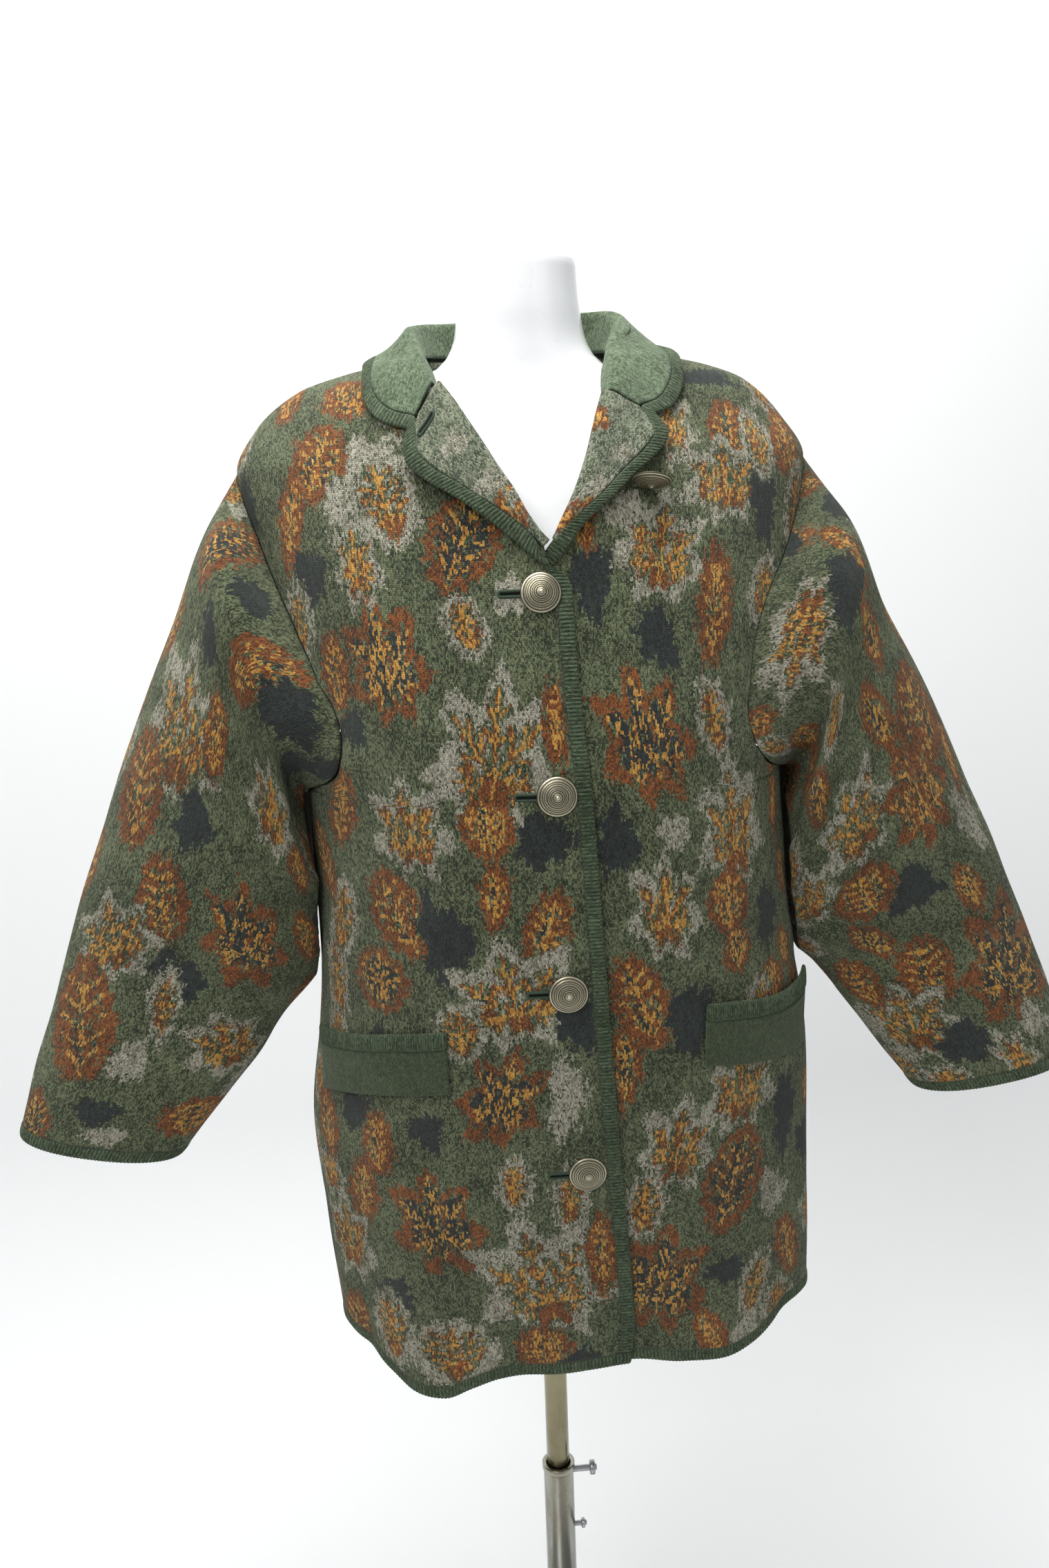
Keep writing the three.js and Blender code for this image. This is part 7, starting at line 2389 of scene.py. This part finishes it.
@dataclass
class TubeStand:
    """Two tubes, one in the other, their clamp screws and the round base."""

    upper_foot: float = 300.0
    upper_radius: float = 10.5
    lower_radius: float = 14.0
    lower_bore: float = 11.0
    lower_top: float = 403.0
    rim_radius: float = 15.2
    rim_height: float = 7.0
    base_radius: float = 170.0
    base_thickness: float = 9.0
    base_seat: float = 26.0
    base_rise: float = 43.0
    screws: tuple[ClampScrew, ...] = (
        ClampScrew("clamp_screw_upper", 393, 3.0, 22, 6.5, 5.0),
        ClampScrew("clamp_screw_lower", 333, 2.5, 11, 4.5, 3.5),
    )

    def build(self, finishes: Finishes) -> None:
        """Makes the stand's pieces.

        Args:
            finishes: The part's finishes.
        """
        self._turned("upper_tube", 64, 0.5, finishes.chrome, "pole_chrome", "pole_upper", self._upper())
        self._turned("lower_tube", 72, 0.5, finishes.lower_chrome, "pole_chrome", "pole_lower", self._lower())
        for screw in self.screws:
            self._screw(screw, finishes)
        self._turned("round_base", 160, 0.8, finishes.steel, "stand_steel", "base_plate", self._base())

    @staticmethod
    def _turned(
        name: str, segments: int, bevel: float, material: bpy.types.Material, slot: str, node: str, profile: Rows
    ) -> None:
        """Makes an upright turned piece with crisp edges and dresses it."""
        dress(lathe(name, rounded(profile, bevel), segments), material, slot, node)

    def _upper(self) -> Rows:
        """Profile of the upper tube."""
        top, radius = FORM_SECTIONS[0][0] - SEAM_GAP, self.upper_radius
        return [(0.2, self.upper_foot), (radius, self.upper_foot), (radius, top), (0.2, top)]

    def _lower(self) -> Rows:
        """Profile of the lower tube with its clamp rim."""
        foot, top, bore = self.base_seat + SEAM_GAP, self.lower_top, self.lower_bore
        rim_foot = top - self.rim_height
        return [
            (bore, foot + 1), (bore, foot), (self.lower_radius, foot), (self.lower_radius, rim_foot),
            (self.rim_radius, rim_foot + 0.8), (self.rim_radius, top), (bore, top), (bore, top - 30),
        ]

    def _base(self) -> Rows:
        """Profile of the base plate with its hub."""
        seat, rise, edge, thick = self.base_seat, self.base_rise, self.base_radius, self.base_thickness
        bore = self.lower_radius + SEAM_GAP
        return [
            (0.5, 0), (edge - 2, 0), (edge, 2), (edge, thick - 2), (edge - 3, thick), (30, thick), (24, 13),
            (24, rise - 2), (22, rise), (bore, rise), (bore, seat), (0.5, seat),
        ]

    def _screw(self, screw: ClampScrew, finishes: Finishes) -> None:
        """Makes a clamp screw with its thread and its head."""
        start, end = self.upper_radius + SEAM_GAP, self.lower_radius + screw.length
        radius, head = screw.radius, screw.head
        head_start = end - 1.5 - screw.head_length
        thread = []
        for at in np.arange(start + 0.4, head_start - 0.4, 0.7):
            thread += [(radius, at), (radius - 0.35, at + 0.35)]
        profile = [
            (0.2, start), (radius - 0.3, start), *thread, (radius, head_start - 0.2), (head - 0.8, head_start),
            (head, head_start + 0.8), (head, end - 2.3), (head - 0.8, end - 1.5), (radius, end - 1.4),
            (radius - 0.4, end), (0.2, end),
        ]
        dress(lathe(f"{screw.name}_bolt", profile, 40, screw.z), finishes.steel, "stand_steel", screw.name)


# ---------------------------------------------------------------- studio


@dataclass
class Studio:
    """Pale floor with a rising backdrop, soft lights and the camera."""

    lens: float = 30.106
    eye: tuple[float, float, float] = (-0.0846, -1.0747, 1.286)
    pitch: float = 12.0
    turn: float = 4.5
    roll: float = 2.1
    shift: float = 15 / 1900

    def build(self) -> None:
        """Makes the floor, backdrop, lights and camera."""
        self._backdrop()
        self._lights()
        self._camera()

    @staticmethod
    def _backdrop() -> None:
        """Makes one sheet that is the floor and then rises behind the object."""
        profile = [(-3.5, 0.0), (-1.0, 0.0), (0.55, 0.0)]
        profile += [(0.55 + 0.35 * math.sin(a), 0.35 - 0.35 * math.cos(a)) for a in np.linspace(0.15, math.pi / 2, 10)]
        profile += [(0.9, 1.6), (0.9, 4.0)]
        points = [(x * 1000, y * 1000, z * 1000) for y, z in profile for x in (-4, 4)]
        faces = [[2 * k, 2 * k + 1, 2 * k + 3, 2 * k + 2] for k in range(len(profile) - 1)]
        sheet = make_object("studio_floor", np.asarray(points), faces, {})
        material = bpy.data.materials.new("pale_floor")
        material.use_nodes = True
        shader = material.node_tree.nodes["Principled BSDF"]
        shader.inputs["Base Color"].default_value = (0.86, 0.87, 0.87, 1)
        shader.inputs["Roughness"].default_value = 0.9
        board = Board(material.node_tree)
        away = board.add("NewGeometry").outputs["Backfacing"]
        clear = board.add("BsdfTransparent").outputs[0]
        one_way = board.add("MixShader", i0=away, i1=shader.outputs[0], i2=clear)
        board.feed(material.node_tree.nodes["Material Output"].inputs[0], one_way.outputs[0])
        sheet.data.materials.append(material)

    @staticmethod
    def _lights() -> None:
        """Makes the soft lights and the even surroundings."""
        world = bpy.data.worlds.new("soft_room")
        world.use_nodes = True
        world.node_tree.nodes["Background"].inputs[0].default_value = (0.97, 0.985, 1.0, 1)
        world.node_tree.nodes["Background"].inputs[1].default_value = 0.34
        bpy.context.scene.world = world
        bpy.context.scene.view_settings.view_transform = "Standard"
        lamps = (
            ("key_light", (-1.2, -1.9, 2.8), (0, 0, 1.1), 1.3, 29.0),
            ("fill_light", (1.8, -2.2, 1.7), (0, 0, 1.0), 1.8, 6.0),
            ("top_light", (-0.1, -0.15, 2.75), (0, 0, 1.2), 1.0, 32.0),
            ("wall_light", (-0.6, -0.2, 2.9), (-0.4, 0.9, 1.4), 1.8, 15.0),
        )
        for name, place, target, size, power in lamps:
            data = bpy.data.lights.new(name, "AREA")
            data.shape = "DISK"
            data.size = size
            data.energy = power
            lamp = bpy.data.objects.new(name, data)
            back = unit(np.subtract(place, target))
            side = unit(np.cross([0, 0, 1.0], back))
            lamp.matrix_world = placed(place, side, np.cross(back, side), back)
            bpy.context.scene.collection.objects.link(lamp)

    def _camera(self) -> None:
        """Makes the camera."""
        pitch, roll = math.radians(self.pitch), math.radians(self.roll)
        yaw = math.radians(self.turn) - math.atan(self.shift)
        ahead = np.array([math.sin(yaw), math.cos(yaw), 0])
        right = np.array([ahead[1], -ahead[0], 0])
        forward = ahead * math.cos(pitch) - (0, 0, math.sin(pitch))
        up = ahead * math.sin(pitch) + (0, 0, math.cos(pitch))
        x = right * math.cos(roll) - up * math.sin(roll)
        y = right * math.sin(roll) + up * math.cos(roll)
        data = bpy.data.cameras.new("camera")
        data.lens = self.lens
        data.sensor_width = 36
        data.sensor_fit = "AUTO"
        camera = bpy.data.objects.new("camera", data)
        camera.matrix_world = placed(self.eye, x, y, -forward)
        bpy.context.scene.collection.objects.link(camera)
        bpy.context.scene.camera = camera


def main() -> None:
    """Builds the studio and then the form, the garment and its trims, in order."""
    logging.basicConfig(level=logging.INFO, format="%(message)s")
    Studio().build()
    finishes = Finishes()
    DressForm().build(finishes)
    TubeStand().build(finishes)
    panels = {
        Panel.RIGHT_FRONT: BodyPanel(Panel.RIGHT_FRONT, (0.36, 0.86, 0.70)),
        Panel.LEFT_FRONT: BodyPanel(Panel.LEFT_FRONT, (0.34, 0.86, 0.70)),
        Panel.BACK: BodyPanel(Panel.BACK, (0.62, 0.87, 0.80)),
    }
    for panel in panels.values():
        panel.build(finishes)
    right, left, collar = Lapel(RIGHT_LAPEL, True), Lapel(LEFT_LAPEL, False), Collar()
    for piece in (right, left, collar):
        piece.build(finishes)
    bands = EdgeBands(right, left, collar)
    bands.front_run(finishes)
    front_end = float(BODY.front_angle(BODY.edge(np.array(LOWEST_LEVEL)), np.array(LOWEST_LEVEL)))
    bands.hem(panels[Panel.RIGHT_FRONT], front_end, finishes)
    bands.hem(panels[Panel.LEFT_FRONT], None, finishes)
    bands.hem(panels[Panel.BACK], None, finishes)
    for is_right in (True, False):
        sleeve = Sleeve(is_right)
        sleeve.build(finishes)
        sleeve.cuff(finishes)
    PocketWelt("right", RIGHT_WELT).build(finishes)
    PocketWelt("left", LEFT_WELT).build(finishes)
    Fastening(right).build(finishes)


if __name__ == "__main__":
    main()
